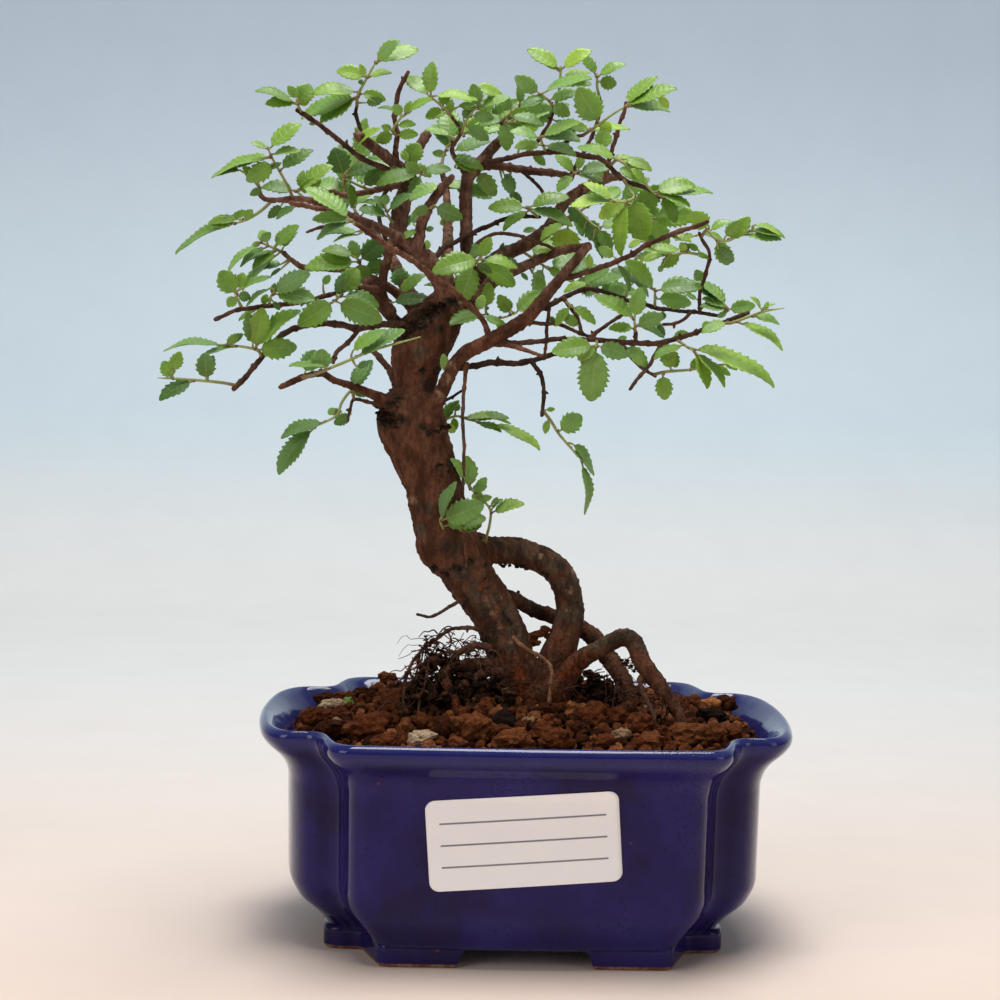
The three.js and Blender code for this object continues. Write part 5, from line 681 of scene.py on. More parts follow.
def on_limb(name, column, row):
    """The point of a limb that shows nearest a column and row."""
    curve = limbs[name].curve
    checks = len(curve.stations) * 12
    points = curve.at(np.arange(checks + 1) / checks)
    columns, rows = shown_at(points)
    return points[np.argmin((columns - column) ** 2 + (rows - row) ** 2)]


def shoot_curve(limb, stem):
    foot = on_limb(limb, *stem[0][:2])
    return Curve([foot] + [seen(column, row, foot[1] + depth) for column, row, depth in stem[1:]])


def stem_point(curve, along):
    """A leaf's seat on the straight that runs from ring to ring of its stem."""
    steps = len(curve.stations) - 1
    place = steps * min(along, 1 - STEM_END / curve.length)
    index = math.floor(place)
    start, end = curve.along([index / steps, (index + 1) / steps])
    return start + (end - start) * (place - index)


class Leaf:
    """A leaf's base, length and width, its way along and across, and its upper normal."""

    def __init__(self, seat, tip, shown_width):
        self.along = unit(tip - seat)
        self.base = seat + self.along * LEAF_SEAT
        reach = tip - self.base
        self.length = np.linalg.norm(reach)
        self.along = reach / self.length
        self.width = max(shown_width, LEAF_SLENDER * self.length)
        facing = EYE - self.base
        facing = unit(facing - self.along * (facing @ self.along))
        side = np.cross(self.along, facing)
        turn = math.acos(min(1, shown_width / self.width))
        sign = 1 if side[2] >= 0 else -1
        self.normal = facing * math.cos(turn) + side * sign * math.sin(turn)
        self.across = np.cross(self.normal, self.along)

    def point(self, share, across_share):
        lift = LEAF_ARCH * self.length * 4 * share * (1 - share)
        edge = across_share * self.width / 2
        return (self.base + self.along * (share * self.length) + self.across * edge
                + self.normal * (lift + LEAF_FOLD * abs(edge)))


SAMPLE_SHARES = [(0.35, 0), (0.35, 0.9), (0.35, -0.9), (0.6, 0), (0.6, 0.9), (0.6, -0.9),
                 (0.82, 0), (0.82, 0.5), (0.82, -0.5), (1, 0)]
RULED_START = 0.18


def is_clear(samples, others):
    """Whether a leaf's samples keep off the wood and the other sprays."""
    for point in samples:
        share = ((point - ROD_STARTS) * ROD_RUNS).sum(1) / (ROD_RUNS ** 2).sum(1)
        nearest = ROD_STARTS + ROD_RUNS * np.clip(share, 0, 1)[:, None]
        if (np.linalg.norm(nearest - point, axis=1) < ROD_RADII + WOOD_CLEARANCE).any():
            return False
        if (np.linalg.norm(others - point, axis=1) < LEAF_CLEARANCE).any():
            return False
    return True


def plan_leaves():
    """Every leaf leans to or from the eye by a draw. It is drawn again where it would cross
    another shoot or the wood, and left out where no draw is clear."""
    sprays = {**SPRAYS, **BACK_SPRAYS}
    curves = {name: shoot_curve(limb, stem) for name, (limb, stem, leaves) in sprays.items()}
    taken = {name: [stem_point(curve, i / 12) for i in range(2, 13)] for name, curve in curves.items()}
    planned = {}
    draw = drawer(2024)
    for name, (limb, stem, tips) in sprays.items():
        curve = curves[name]
        others = np.array([point for key, points in taken.items() if key != name for point in points])
        leaves = []

        def place(choose):
            for attempt in range(LEAF_TRIES):
                leaf = choose(attempt)
                samples = [leaf.point(share, across) for share, across in SAMPLE_SHARES]
                if is_clear(samples, others):
                    leaves.append(leaf)
                    taken[name].extend(samples)
                    return

        def seen_leaf(along, column, row, shown):
            base = stem_point(curve, along)

            def choose(attempt):
                flat = seen(column, row, base[1])
                lean = (draw() - 0.5) * (0.5 + 0.13 * attempt) * np.linalg.norm(flat - base)
                scale = EYE_FOCAL / ((base - EYE) @ AHEAD)
                return Leaf(base, seen(column, row, base[1] + lean), shown / scale)
            return choose

        def ruled_leaf(along):
            base = stem_point(curve, along)

            def choose(attempt):
                tangent = curve.tangent(along)
                outward = np.array([draw() - 0.5, draw() - 0.15, draw() - 0.35])
                outward = unit(outward - tangent * (outward @ tangent))
                way = unit(tangent * 0.6 + outward * 0.8)
                length = RULED_LENGTH[0] + draw() * (RULED_LENGTH[1] - RULED_LENGTH[0])
                return Leaf(base, base + way * length, length * RULED_WIDTH * (0.4 + 0.6 * draw()))
            return choose

        if name in SPRAYS:
            for tip in tips:
                place(seen_leaf(*tip))
        else:
            for i in range(tips):
                place(ruled_leaf(RULED_START + (1 - RULED_START) * (i / (tips - 1))))
        planned[name] = (curve, leaves)
    return planned


class Build:
    """Gathers the points and faces of one piece, with a tone and a map place for each point."""

    def __init__(self):
        self.points, self.faces, self.tones, self.places, self.finishes = [], [], [], [], []
        self.count = 0

    def add(self, points, faces, tone=0.0, places=None, finish=0):
        points = np.asarray(points, float)
        self.points.append(points)
        self.faces.extend([tuple(self.count + i for i in face) for face in faces])
        self.tones.append(np.broadcast_to(np.asarray(tone, float), len(points)))
        self.places.append(np.zeros((len(points), 2)) if places is None else np.asarray(places, float))
        self.finishes.extend([finish] * len(faces))
        self.count += len(points)

    def piece(self, name, materials, smooth=True):
        mesh = bpy.data.meshes.new(name)
        mesh.from_pydata(((np.vstack(self.points) + SHIFT) * MM).tolist(), [], self.faces)
        mesh.attributes.new("tone", "FLOAT", "POINT").data.foreach_set("value", np.concatenate(self.tones))
        places = np.vstack(self.places)
        corners = np.zeros(len(mesh.loops), int)
        mesh.loops.foreach_get("vertex_index", corners)
        mesh.uv_layers.new(name="map").data.foreach_set("uv", places[corners].ravel())
        for material in materials:
            mesh.materials.append(material)
        mesh.polygons.foreach_set("material_index", self.finishes)
        mesh.polygons.foreach_set("use_smooth", [smooth] * len(self.faces))
        mesh.update()
        piece = bpy.data.objects.new(name, mesh)
        bpy.context.scene.collection.objects.link(piece)
        return piece


def grid_faces(rows, columns, closed=True):
    """Faces between rings of points, each with as many columns."""
    faces = []
    for row in range(rows - 1):
        for column in range(columns if closed else columns - 1):
            after = (column + 1) % columns
            faces.append((row * columns + column, row * columns + after,
                          (row + 1) * columns + after, (row + 1) * columns + column))
    return faces


def sheet_faces(rows, columns):
    """Faces of a thin closed sheet: a grid of upper points, then as many lower ones."""
    front = grid_faces(rows, columns, False)
    lower = rows * columns
    back = [tuple(lower + i for i in face[::-1]) for face in front]
    border = (list(range(columns)) + [row * columns + columns - 1 for row in range(1, rows)]
              + [(rows - 1) * columns + column for column in range(columns - 2, -1, -1)]
              + [row * columns for row in range(rows - 2, 0, -1)])
    rim = [(start, lower + start, lower + end, end) for start, end in zip(border, border[1:] + border[:1])]
    return front + back + rim


def loft(rings):
    """A closed skin through rings of points, anticlockwise about the way from first to last."""
    rings = np.asarray(rings, float)
    rows, columns = rings.shape[:2]
    points = np.vstack([rings.reshape(-1, 3), rings[0].mean(0), rings[-1].mean(0)])
    faces = grid_faces(rows, columns)
    first, last = rows * columns, rows * columns + 1
    top = (rows - 1) * columns
    for column in range(columns):
        after = (column + 1) % columns
        faces.append((after, column, first))
        faces.append((top + column, top + after, last))
    return points, faces


def carried_frames(points):
    """The two ways across a path at each point, turning no more than the path does."""
    tangents = np.gradient(points, axis=0)
    tangents /= np.linalg.norm(tangents, axis=1)[:, None]
    start = np.array([0, 0, 1]) if abs(tangents[0][2]) < 0.9 else np.array([1, 0, 0])
    normal = unit(start - tangents[0] * (start @ tangents[0]))
    normals = []
    for tangent in tangents:
        normal = unit(normal - tangent * (normal @ tangent))
        normals.append(normal)
    normals = np.array(normals)
    return normals, np.cross(tangents, normals)


def sweep(points, radii, sides):
    """A round tube along points, its ends domed."""
    normals, binormals = carried_frames(points)
    angles = (np.arange(sides) / sides * 2 * math.pi)[None, :, None]
    ring = np.cos(angles) * normals[:, None] + np.sin(angles) * binormals[:, None]
    return loft(points[:, None] + ring * np.asarray(radii)[:, None, None])


def bake(piece):
    """The piece with its modifiers applied to its mesh."""
    graph = bpy.context.evaluated_depsgraph_get()
    mesh = bpy.data.meshes.new_from_object(piece.evaluated_get(graph))
    piece.modifiers.clear()
    old = piece.data
    piece.data = mesh
    bpy.data.meshes.remove(old)
    return piece


# Materials are built from these.
def add_node(tree, kind, settings=None, **sockets):
    """A node with its settings, and its sockets set or linked by name."""
    node = tree.nodes.new(kind)
    for key, value in (settings or {}).items():
        setattr(node, key, value)
    for key, value in sockets.items():
        join(tree, value, node.inputs[key.replace("_", " ")])
    return node


def join(tree, value, socket):
    if isinstance(value, bpy.types.NodeSocket):
        tree.links.new(value, socket)
    else:
        socket.default_value = value


def calculate(tree, operation, first, second=0.0):
    node = tree.nodes.new("ShaderNodeMath")
    node.operation = operation
    join(tree, first, node.inputs[0])
    join(tree, second, node.inputs[1])
    return node.outputs[0]


def times(tree, first, second):
    return calculate(tree, "MULTIPLY", first, second)


def plus(tree, first, second):
    return calculate(tree, "ADD", first, second)


def blend_colour(tree, share, first, second, kind="MIX"):
    node = tree.nodes.new("ShaderNodeMix")
    node.data_type = "RGBA"
    node.blend_type = kind
    join(tree, share, node.inputs["Factor"])
    join(tree, first if isinstance(first, bpy.types.NodeSocket) else (*first, 1), node.inputs[6])
    join(tree, second if isinstance(second, bpy.types.NodeSocket) else (*second, 1), node.inputs[7])
    return node.outputs[2]


def fade(tree, value, low, high):
    """0 below low, 1 above high, and smooth between."""
    node = tree.nodes.new("ShaderNodeMapRange")
    node.interpolation_type = "SMOOTHSTEP"
    join(tree, value, node.inputs["Value"])
    join(tree, low, node.inputs["From Min"])
    join(tree, high, node.inputs["From Max"])
    return node.outputs["Result"]


def new_group(name, inputs, outputs):
    """A shader node group with named inputs and outputs, and its ends."""
    tree = bpy.data.node_groups.new(name, "ShaderNodeTree")
    for label, kind, value in inputs:
        socket = tree.interface.new_socket(name=label, in_out="INPUT", socket_type=kind)
        if value is not None:
            socket.default_value = value
    for label in outputs:
        tree.interface.new_socket(name=label, in_out="OUTPUT", socket_type="NodeSocketFloat")
    return tree, tree.nodes.new("NodeGroupInput"), tree.nodes.new("NodeGroupOutput")


def patches_group():
    """Soft patches of noise: a mask that rises from Low to High."""
    tree, start, end = new_group("patches", [
        ("Vector", "NodeSocketVector", None), ("Scale", "NodeSocketFloat", 100.0),
        ("Detail", "NodeSocketFloat", 4.0), ("Low", "NodeSocketFloat", 0.4),
        ("High", "NodeSocketFloat", 0.6)], ["Mask", "Height"])
    cloud = add_node(tree, "ShaderNodeTexNoise", Vector=start.outputs["Vector"],
                     Scale=start.outputs["Scale"], Detail=start.outputs["Detail"], Roughness=0.6)
    mask = fade(tree, cloud.outputs["Fac"], start.outputs["Low"], start.outputs["High"])
    tree.links.new(mask, end.inputs["Mask"])
    tree.links.new(cloud.outputs["Fac"], end.inputs["Height"])
    return tree


def specks_group():
    """Scattered round specks: a mask that is 1 inside Size of each cell's middle."""
    tree, start, end = new_group("specks", [
        ("Vector", "NodeSocketVector", None), ("Scale", "NodeSocketFloat", 500.0),
        ("Size", "NodeSocketFloat", 0.2)], ["Mask"])
    cells = add_node(tree, "ShaderNodeTexVoronoi", Vector=start.outputs["Vector"],
                     Scale=start.outputs["Scale"])
    soft = times(tree, start.outputs["Size"], 1.5)
    inside = fade(tree, cells.outputs["Distance"], soft, start.outputs["Size"])
    tree.links.new(inside, end.inputs["Mask"])
    return tree


def veins_group():
    """A leaf's midrib and its side veins. The map holds the way across, with the midrib at
    a half, and the count of teeth along."""
    tree, start, end = new_group("veins", [("Map", "NodeSocketVector", None)], ["Rib", "Veins", "Across"])
    split = add_node(tree, "ShaderNodeSeparateXYZ", Vector=start.outputs["Map"])
    middle = calculate(tree, "SUBTRACT", split.outputs["X"], 0.5)
    across = times(tree, calculate(tree, "ABSOLUTE", middle), 2.0)
    rib = fade(tree, across, 0.1, 0.03)
    tooth = calculate(tree, "FRACT", plus(tree, split.outputs["Y"], 0.65))
    gap = calculate(tree, "ABSOLUTE", calculate(tree, "SUBTRACT", tooth, 0.5))
    thin = fade(tree, gap, 0.14, 0.04)
    veins = times(tree, thin, fade(tree, across, 1.0, 0.5))
    tree.links.new(rib, end.inputs["Rib"])
    tree.links.new(veins, end.inputs["Veins"])
    tree.links.new(across, end.inputs["Across"])
    return tree


PATCHES = patches_group()
SPECKS = specks_group()
VEINS = veins_group()


class Finish:
    """A material with one Principled shader, and shorthands for what feeds it."""

    def __init__(self, name):
        self.material = bpy.data.materials.new(name)
        self.material.use_nodes = True
        self.tree = self.material.node_tree
        self.shader = self.tree.nodes["Principled BSDF"]
        self.here = self.tree.nodes.new("ShaderNodeTexCoord").outputs["Object"]

    def patches(self, scale, low=0.4, high=0.6, detail=4.0, vector=None, output="Mask"):
        node = add_node(self.tree, "ShaderNodeGroup", {"node_tree": PATCHES}, Vector=vector or self.here,
                        Scale=scale, Detail=detail, Low=low, High=high)
        return node.outputs[output]

    def specks(self, scale, size, vector=None):
        node = add_node(self.tree, "ShaderNodeGroup", {"node_tree": SPECKS}, Vector=vector or self.here,
                        Scale=scale, Size=size)
        return node.outputs["Mask"]

    def attribute(self, name):
        return add_node(self.tree, "ShaderNodeAttribute", {"attribute_name": name}).outputs["Fac"]

    def squeezed(self, scale):
        """Object coordinates scaled along each axis."""
        node = self.tree.nodes.new("ShaderNodeMapping")
        join(self.tree, self.here, node.inputs["Vector"])
        node.inputs["Scale"].default_value = scale
        return node.outputs["Vector"]

    def height(self):
        return add_node(self.tree, "ShaderNodeSeparateXYZ", Vector=self.here).outputs["Z"]

    def mix(self, share, first, second, kind="MIX"):
        return blend_colour(self.tree, share, first, second, kind)

    def between(self, share, low, high):
        """A number that goes from low to high with a mask."""
        return plus(self.tree, times(self.tree, share, high - low), low)

    def tint(self, mask, share, body, colour):
        """The body with a colour laid over a share of it where the mask shows."""
        return self.mix(times(self.tree, mask, share), body, colour)

    def map_place(self):
        """The piece's own map."""
        return add_node(self.tree, "ShaderNodeUVMap", {"uv_map": "map"}).outputs["UV"]

    def set(self, **sockets):
        for key, value in sockets.items():
            join(self.tree, value, self.shader.inputs[key.replace("_", " ")])

    def bump(self, height, strength, distance):
        bump = add_node(self.tree, "ShaderNodeBump", Height=height, Strength=strength, Distance=distance)
        self.tree.links.new(bump.outputs["Normal"], self.shader.inputs["Normal"])


# Finishes.
def make_glaze():
    """Cobalt glaze, thinner and paler along edges, with painted highlights in the same pale bands and a
    painted sky sheen down the inner slope, and the bare clay showing under the feet.
    """
    glaze = Finish("glaze")
    tree = glaze.tree
    thin = glaze.attribute("tone")
    height = glaze.height()
    deep = glaze.mix(glaze.patches(35, 0.35, 0.7), (0.012, 0.007, 0.050), (0.021, 0.014, 0.124))
    deep = glaze.tint(glaze.patches(70, 0.52, 0.75), 0.45, deep, (0.024, 0.026, 0.100))
    at_lip = fade(tree, height, 0.0525, 0.0552)
    lip = glaze.mix(at_lip, deep, (0.010, 0.009, 0.110))
    drips = glaze.patches(160, 0.45, 0.75, vector=glaze.squeezed((1, 1, 0.25)))
    washed = glaze.tint(drips, 0.25, lip, (0.022, 0.018, 0.16))
    # Thin glaze shows paler, and the same pale bands are painted highlights along the lip, the folds and the
    # base's edge, and a painted sky sheen down the inner slope.
    edge = times(tree, thin, glaze.between(glaze.patches(240, 0.3, 0.7), 0.45, 1.0))
    paled_and_highlight = glaze.mix(edge, washed, (0.034, 0.044, 0.135))
    clusters = times(tree, glaze.specks(900, 0.24), glaze.patches(34, 0.57, 0.63))
    pinholes = calculate(tree, "MAXIMUM", glaze.specks(260, 0.07), clusters)
    spotted = glaze.tint(pinholes, 0.6, paled_and_highlight, (0.006, 0.005, 0.02))
    spotted = glaze.tint(glaze.specks(85, 0.035), 0.7, spotted, (0.16, 0.035, 0.02))
    clay = fade(tree, height, 0.0012, 0.0007)
    rust = glaze.mix(glaze.patches(600, 0.4, 0.6), (0.16, 0.06, 0.03), (0.30, 0.17, 0.10))
    worn = calculate(tree, "MAXIMUM", times(tree, clay, 0.7),
                     glaze.between(glaze.patches(90, 0.4, 0.8), 0.06, 0.15))
    glaze.set(Base_Color=glaze.mix(clay, spotted, rust), Roughness=worn,
              Specular_IOR_Level=glaze.between(at_lip, 0.17, 0.3),
              Coat_Weight=glaze.between(at_lip, 0.0, 0.15), Coat_Roughness=0.06)
    ripple = plus(tree, glaze.patches(45, output="Height", detail=2.0), times(tree, pinholes, -0.3))
    glaze.bump(ripple, 0.25, 0.0012)
    return glaze.material


RULED_LINES = (0.26, 0.5, 0.74)
RULED_WEIGHT = 0.008


def make_sticker():
    """White coated paper with three plain ruled lines to write on."""
    sticker = Finish("sticker")
    tree = sticker.tree
    split = add_node(tree, "ShaderNodeSeparateXYZ", Vector=sticker.map_place())
    lines = None
    for row in RULED_LINES:
        gap = calculate(tree, "ABSOLUTE", calculate(tree, "SUBTRACT", split.outputs["Y"], row))
        line = fade(tree, gap, RULED_WEIGHT * 1.5, RULED_WEIGHT)
        lines = line if lines is None else calculate(tree, "MAXIMUM", lines, line)
    side = calculate(tree, "ABSOLUTE", calculate(tree, "SUBTRACT", split.outputs["X"], 0.5))
    lines = times(tree, lines, fade(tree, side, 0.432, 0.43))
    paper = sticker.mix(sticker.patches(150, 0.3, 0.8), (0.95, 0.94, 0.96), (0.98, 0.97, 0.98))
    sticker.set(Base_Color=sticker.mix(lines, paper, (0.22, 0.22, 0.24)), Roughness=0.42)
    sticker.bump(sticker.patches(2500, output="Height"), 0.08, 0.0002)
    return sticker.material


def make_net():
    """Black moulded plastic."""
    net = Finish("net")
    net.set(Base_Color=net.mix(net.patches(400), (0.01, 0.01, 0.01), (0.03, 0.03, 0.028)), Roughness=0.6)
    net.bump(net.patches(900, output="Height"), 0.3, 0.0003)
    return net.material


def make_granule(name, dark, middle, light):
    """Baked clay crumbs: each has its own tone, with darker patches and darker pits."""
    crumb = Finish(name)
    tree = crumb.tree
    tone = crumb.attribute("tone")
    low = crumb.mix(fade(tree, tone, 0.0, 0.45), dark, middle)
    body = crumb.mix(fade(tree, tone, 0.6, 1.0), low, light)
    dust = crumb.patches(700, 0.42, 0.68)
    # The pits are tinted darker where the bump dips.
    pits = crumb.specks(1300, 0.16)
    crumb.set(Base_Color=crumb.tint(pits, 0.6, crumb.tint(dust, 0.55, body, dark), dark),
              Roughness=crumb.between(dust, 0.85, 0.98), Specular_IOR_Level=0.08)
    relief = plus(tree, crumb.patches(650, output="Height", detail=8.0), times(tree, pits, -0.35))
    crumb.bump(relief, 1.0, 0.0013)
    return crumb.material


def make_bark():
    """Reddish brown bark with dark plates, and four painted masks: dark for old cuts and
    moss, and for painted shade in hollows, under the ledge and the arching root and in the split;
    grey for smooth lower bark, orange for roots that were under the soil, and pale for scraped
    places and cut ends, and for painted highlights on the arching root's bend and right edge."""
    bark = Finish("bark")
    tree = bark.tree
    stretched = bark.squeezed((1, 1, 0.45))
    plates = bark.patches(270, 0.40, 0.60, 8.0, stretched)
    fine = bark.patches(900, 0.35, 0.65, 5.0, stretched)
    edges = bark.patches(520, 0.32, 0.68, 5.0)

    def mask(name):
        """An attribute's mask with its edge broken up by noise."""
        return fade(tree, plus(tree, bark.attribute(name), bark.between(edges, -0.45, 0.3)), 0.15, 0.9)

    old = bark.mix(plates, (0.195, 0.079, 0.042), (0.090, 0.035, 0.018))
    young = bark.mix(plates, (0.300, 0.155, 0.105), (0.120, 0.058, 0.038))
    red = bark.mix(fade(tree, bark.height(), 0.158, 0.178), old, young)
    grey = bark.mix(plates, (0.135, 0.094, 0.062), (0.055, 0.037, 0.024))
    orange = bark.mix(fine, (0.230, 0.060, 0.018), (0.085, 0.020, 0.007))
    # The pale colour is also a painted highlight on the arching root's bend and right edge.
    pale = bark.mix(fine, (0.33, 0.20, 0.12), (0.17, 0.085, 0.05))
    # Over the dark mask: moss on old cuts, and painted shade in hollows, under the ledge and the arching root
    # and in the split.
    moss_and_shade = bark.mix(bark.patches(800, 0.42, 0.62), (0.013, 0.009, 0.006), (0.060, 0.044, 0.025))
    body = bark.mix(mask("grey"), red, grey)
    body = bark.mix(mask("pale"), bark.mix(mask("orange"), body, orange), pale)
    dusted = bark.tint(bark.specks(620, 0.11), 0.22, body, (0.30, 0.19, 0.13))
    worn = bark.tint(fine, 0.5, dusted, (0.035, 0.018, 0.012))
    bark.set(Base_Color=bark.mix(mask("dark"), worn, moss_and_shade), Roughness=bark.between(plates, 0.75, 0.95),
             Specular_IOR_Level=0.12)
    relief = plus(tree, bark.patches(300, output="Height", vector=stretched),
                  times(tree, bark.patches(1000, output="Height", detail=6.0), 0.7))
    bark.bump(relief, 1.0, 0.0016)
    return bark.material


def make_twig():
    """Thin wood. Its tone runs from dark old twigs over red brown to pale young ones."""
    twig = Finish("twig")
    tree = twig.tree
    tone = twig.attribute("tone")
    cloud = twig.patches(260, 0.35, 0.65)
    dark = twig.mix(cloud, (0.085, 0.044, 0.027), (0.034, 0.017, 0.011))
    brown = twig.mix(cloud, (0.190, 0.085, 0.050), (0.078, 0.034, 0.021))
    pale = twig.mix(cloud, (0.34, 0.165, 0.078), (0.20, 0.078, 0.032))
    body = twig.mix(fade(tree, tone, 0.5, 1.0), twig.mix(fade(tree, tone, 0.0, 0.5), dark, brown), pale)
    pored = twig.tint(twig.specks(1100, 0.1), 0.3, body, (0.25, 0.14, 0.09))
    worn = twig.tint(twig.patches(1300, 0.45, 0.65), 0.5, pored, (0.03, 0.016, 0.011))
    twig.set(Base_Color=worn, Roughness=twig.between(cloud, 0.6, 0.8), Specular_IOR_Level=0.14)
    twig.bump(twig.patches(1000, output="Height", detail=6.0), 0.9, 0.0008)
    return twig.material


def make_blade():
    """Leaf: each has its own tone, from old dark green to young yellow green, which is partly painted shade
    and light, and patches carry a painted bluish sky sheen.
    """
    blade = Finish("blade")
    tree = blade.tree
    tone = blade.attribute("tone")
    veins = add_node(tree, "ShaderNodeGroup", {"node_tree": VEINS}, Map=blade.map_place())
    old = blade.mix(fade(tree, tone, 0.0, 0.5), (0.060, 0.130, 0.024), (0.195, 0.345, 0.034))
    body = blade.mix(fade(tree, tone, 0.5, 1.0), old, (0.410, 0.600, 0.070))
    # A painted bluish sky sheen over patches of leaves.
    sky_sheened = blade.tint(blade.patches(40, 0.46, 0.62, 2.0), 0.5, body, (0.165, 0.315, 0.115))
    mottled = blade.tint(blade.patches(500, 0.4, 0.7), 0.35, sky_sheened, (0.075, 0.19, 0.022))
    veined = blade.tint(veins.outputs["Veins"], 0.07, mottled, (0.40, 0.52, 0.12))
    ribbed = blade.tint(veins.outputs["Rib"], 0.2, veined, (0.42, 0.52, 0.12))
    blade.set(Base_Color=ribbed, Roughness=blade.between(blade.patches(300), 0.38, 0.52),
              Specular_IOR_Level=0.5, Subsurface_Weight=0.25, Subsurface_Radius=(0.0006, 0.0010, 0.0003),
              Subsurface_Scale=1.0)
    folds = plus(tree, times(tree, veins.outputs["Veins"], -0.6), times(tree, veins.outputs["Rib"], -1.0))
    blade.bump(folds, 0.25, 0.0002)
    return blade.material


def make_shoot():
    """Green shoot that reddens towards its foot."""
    shoot = Finish("shoot")
    tone = shoot.attribute("tone")
    green = shoot.mix(shoot.patches(700), (0.26, 0.36, 0.09), (0.38, 0.46, 0.14))
    shoot.set(Base_Color=shoot.mix(tone, green, (0.20, 0.085, 0.045)),
              Roughness=shoot.between(tone, 0.45, 0.6))
    shoot.bump(shoot.patches(1200, output="Height"), 0.3, 0.0003)
    return shoot.material


GLAZE = make_glaze()
STICKER = make_sticker()
NET = make_net()
GRANULE = make_granule("granule", (0.028, 0.008, 0.003), (0.122, 0.033, 0.010), (0.280, 0.100, 0.036))
PEAT = make_granule("peat", (0.010, 0.006, 0.004), (0.052, 0.022, 0.012), (0.125, 0.052, 0.027))
CHIP = make_granule("chip", (0.15, 0.08, 0.045), (0.30, 0.18, 0.10), (0.58, 0.43, 0.28))
SCRAP = make_granule("scrap", (0.10, 0.18, 0.03), (0.20, 0.34, 0.07), (0.30, 0.45, 0.12))
RIND = make_granule("rind", (0.16, 0.05, 0.015), (0.42, 0.15, 0.04), (0.55, 0.24, 0.08))
BARK = make_bark()
TWIG = make_twig()
BLADE = make_blade()
SHOOT = make_shoot()


# Pot.
def eased_corner(before, corner, after, reaches, steps):
    """A corner rounded off, from its reach before to its reach after."""
    start = corner + unit(before - corner) * reaches[0]
    end = corner + unit(after - corner) * reaches[1]
    shares = np.linspace(0, 1, steps + 1)[:, None]
    return list(start * (1 - shares) ** 2 + 2 * corner * shares * (1 - shares) + end * shares ** 2)


def eased_ring(corners, steps, along):
    """A closed ring of points round corners given as x, y and reaches."""
    places = [np.array(corner[:2], float) for corner in corners]
    eased = [eased_corner(places[i - 1], places[i], places[(i + 1) % len(places)], corner[2], steps)
             for i, corner in enumerate(corners)]
    ring = []
    for i, points in enumerate(eased):
        following = eased[(i + 1) % len(eased)][0]
        shares = np.arange(1, along)[:, None] / along
        ring += points + list(points[-1] + (following - points[-1]) * shares)
    return np.array(ring)


def pot_plan(offset, height, front_offset=None, steps=7, along=8):
    """The pot's plan at an offset, as a ring."""
    panel = PANEL_HALF + offset * PANEL_SPREAD
    front = PANEL_FRONT + (offset if front_offset is None else front_offset)
    lobe, end = LOBE_HALF + offset * LOBE_SPREAD, LOBE_END + offset
    quarter = [(end, lobe, LOBE_EASE), (panel + NOTCH_SLANT, lobe, (NOTCH_EASE, NOTCH_EASE)),
               (panel - NOTCH_SLANT, front, (PANEL_EASE, PANEL_EASE))]
    corners = []
    for sign_x, sign_y in ((1, 1), (-1, 1), (-1, -1), (1, -1)):
        if sign_x * sign_y > 0:
            corners += [(sign_x * x, sign_y * y, reaches) for x, y, reaches in quarter]
        else:
            corners += [(sign_x * x, sign_y * y, reaches[::-1]) for x, y, reaches in quarter[::-1]]
    plan = eased_ring(corners, steps, along)
    x, y = plan.T
    ahead = np.clip((np.abs(y) - lobe) / (front - lobe), 0, 1)
    bow = PANEL_BOW * (1 - np.clip(x / panel, -1, 1) ** 2) * ahead
    inset = LOBE_BOW * np.clip((np.abs(x) - panel) / (end - panel), 0, 1) * (y / lobe) ** 2
    return np.column_stack([x - np.sign(x) * inset, y + np.sign(y) * bow, np.full(len(x), height)])


PROFILE_EASE = 1.6


def eased_profile(profile, steps=4):
    """A wall's profile with its corners rounded off."""
    points = np.array(profile, float)
    eased = [points[0]]
    for before, corner, after in zip(points, points[1:], points[2:]):
        reaches = [min(PROFILE_EASE, 0.45 * np.linalg.norm(end - corner)) for end in (before, after)]
        eased += eased_corner(before, corner, after, reaches, steps)
    return np.array(eased + [points[-1]])


# Bands where the glaze runs thin and paler, which are also painted highlights: middle height, reach and
# strength. The folds are outside only.
LIP_THIN_AND_HIGHLIGHT, BASE_THIN_AND_HIGHLIGHT = (57.6, 0.8, 0.7), (5.3, 0.7, 0.5)
FOLDS_THIN_AND_HIGHLIGHT = ((12.5, 1.5, 0.18), (53.6, 1.2, 0.18))
SLOPE_THIN_AND_SHEEN, SLOPE_SHEEN_RISE, SLOPE_SHEEN_START = 0.75, 3, 51


def thin_glaze_and_highlight(height, is_inside):
    """How thin the glaze lies: on the lip, down the inside, and on the base's edge. The same bands are
    painted highlights on the lip and the base's edge, and a painted sky sheen down the inside.
    """
    slope = min(1, max(0, (height - SLOPE_SHEEN_START) / SLOPE_SHEEN_RISE)) if is_inside else 0
    bands = (LIP_THIN_AND_HIGHLIGHT, BASE_THIN_AND_HIGHLIGHT) + (() if is_inside else FOLDS_THIN_AND_HIGHLIGHT)
    thin = sum(strength * math.exp(-((height - middle) / reach) ** 2) for middle, reach, strength in bands)
    return min(1, thin + SLOPE_THIN_AND_SHEEN * slope)


# How a foot rises: height, how far its ends draw in, and how far its sides do.
FOOT_RISE = [(0, 0, 0.9), (0.12, 0, 0.5), (0.4, 0.02, 0.15), (0.9, 0.1, 0), (2, 0.35, 0), (3.2, 0.8, 0),
             (4.2, 1.5, 0), (5, FOOT_CURL, 0), (6, FOOT_CURL + 0.5, 0.3)]


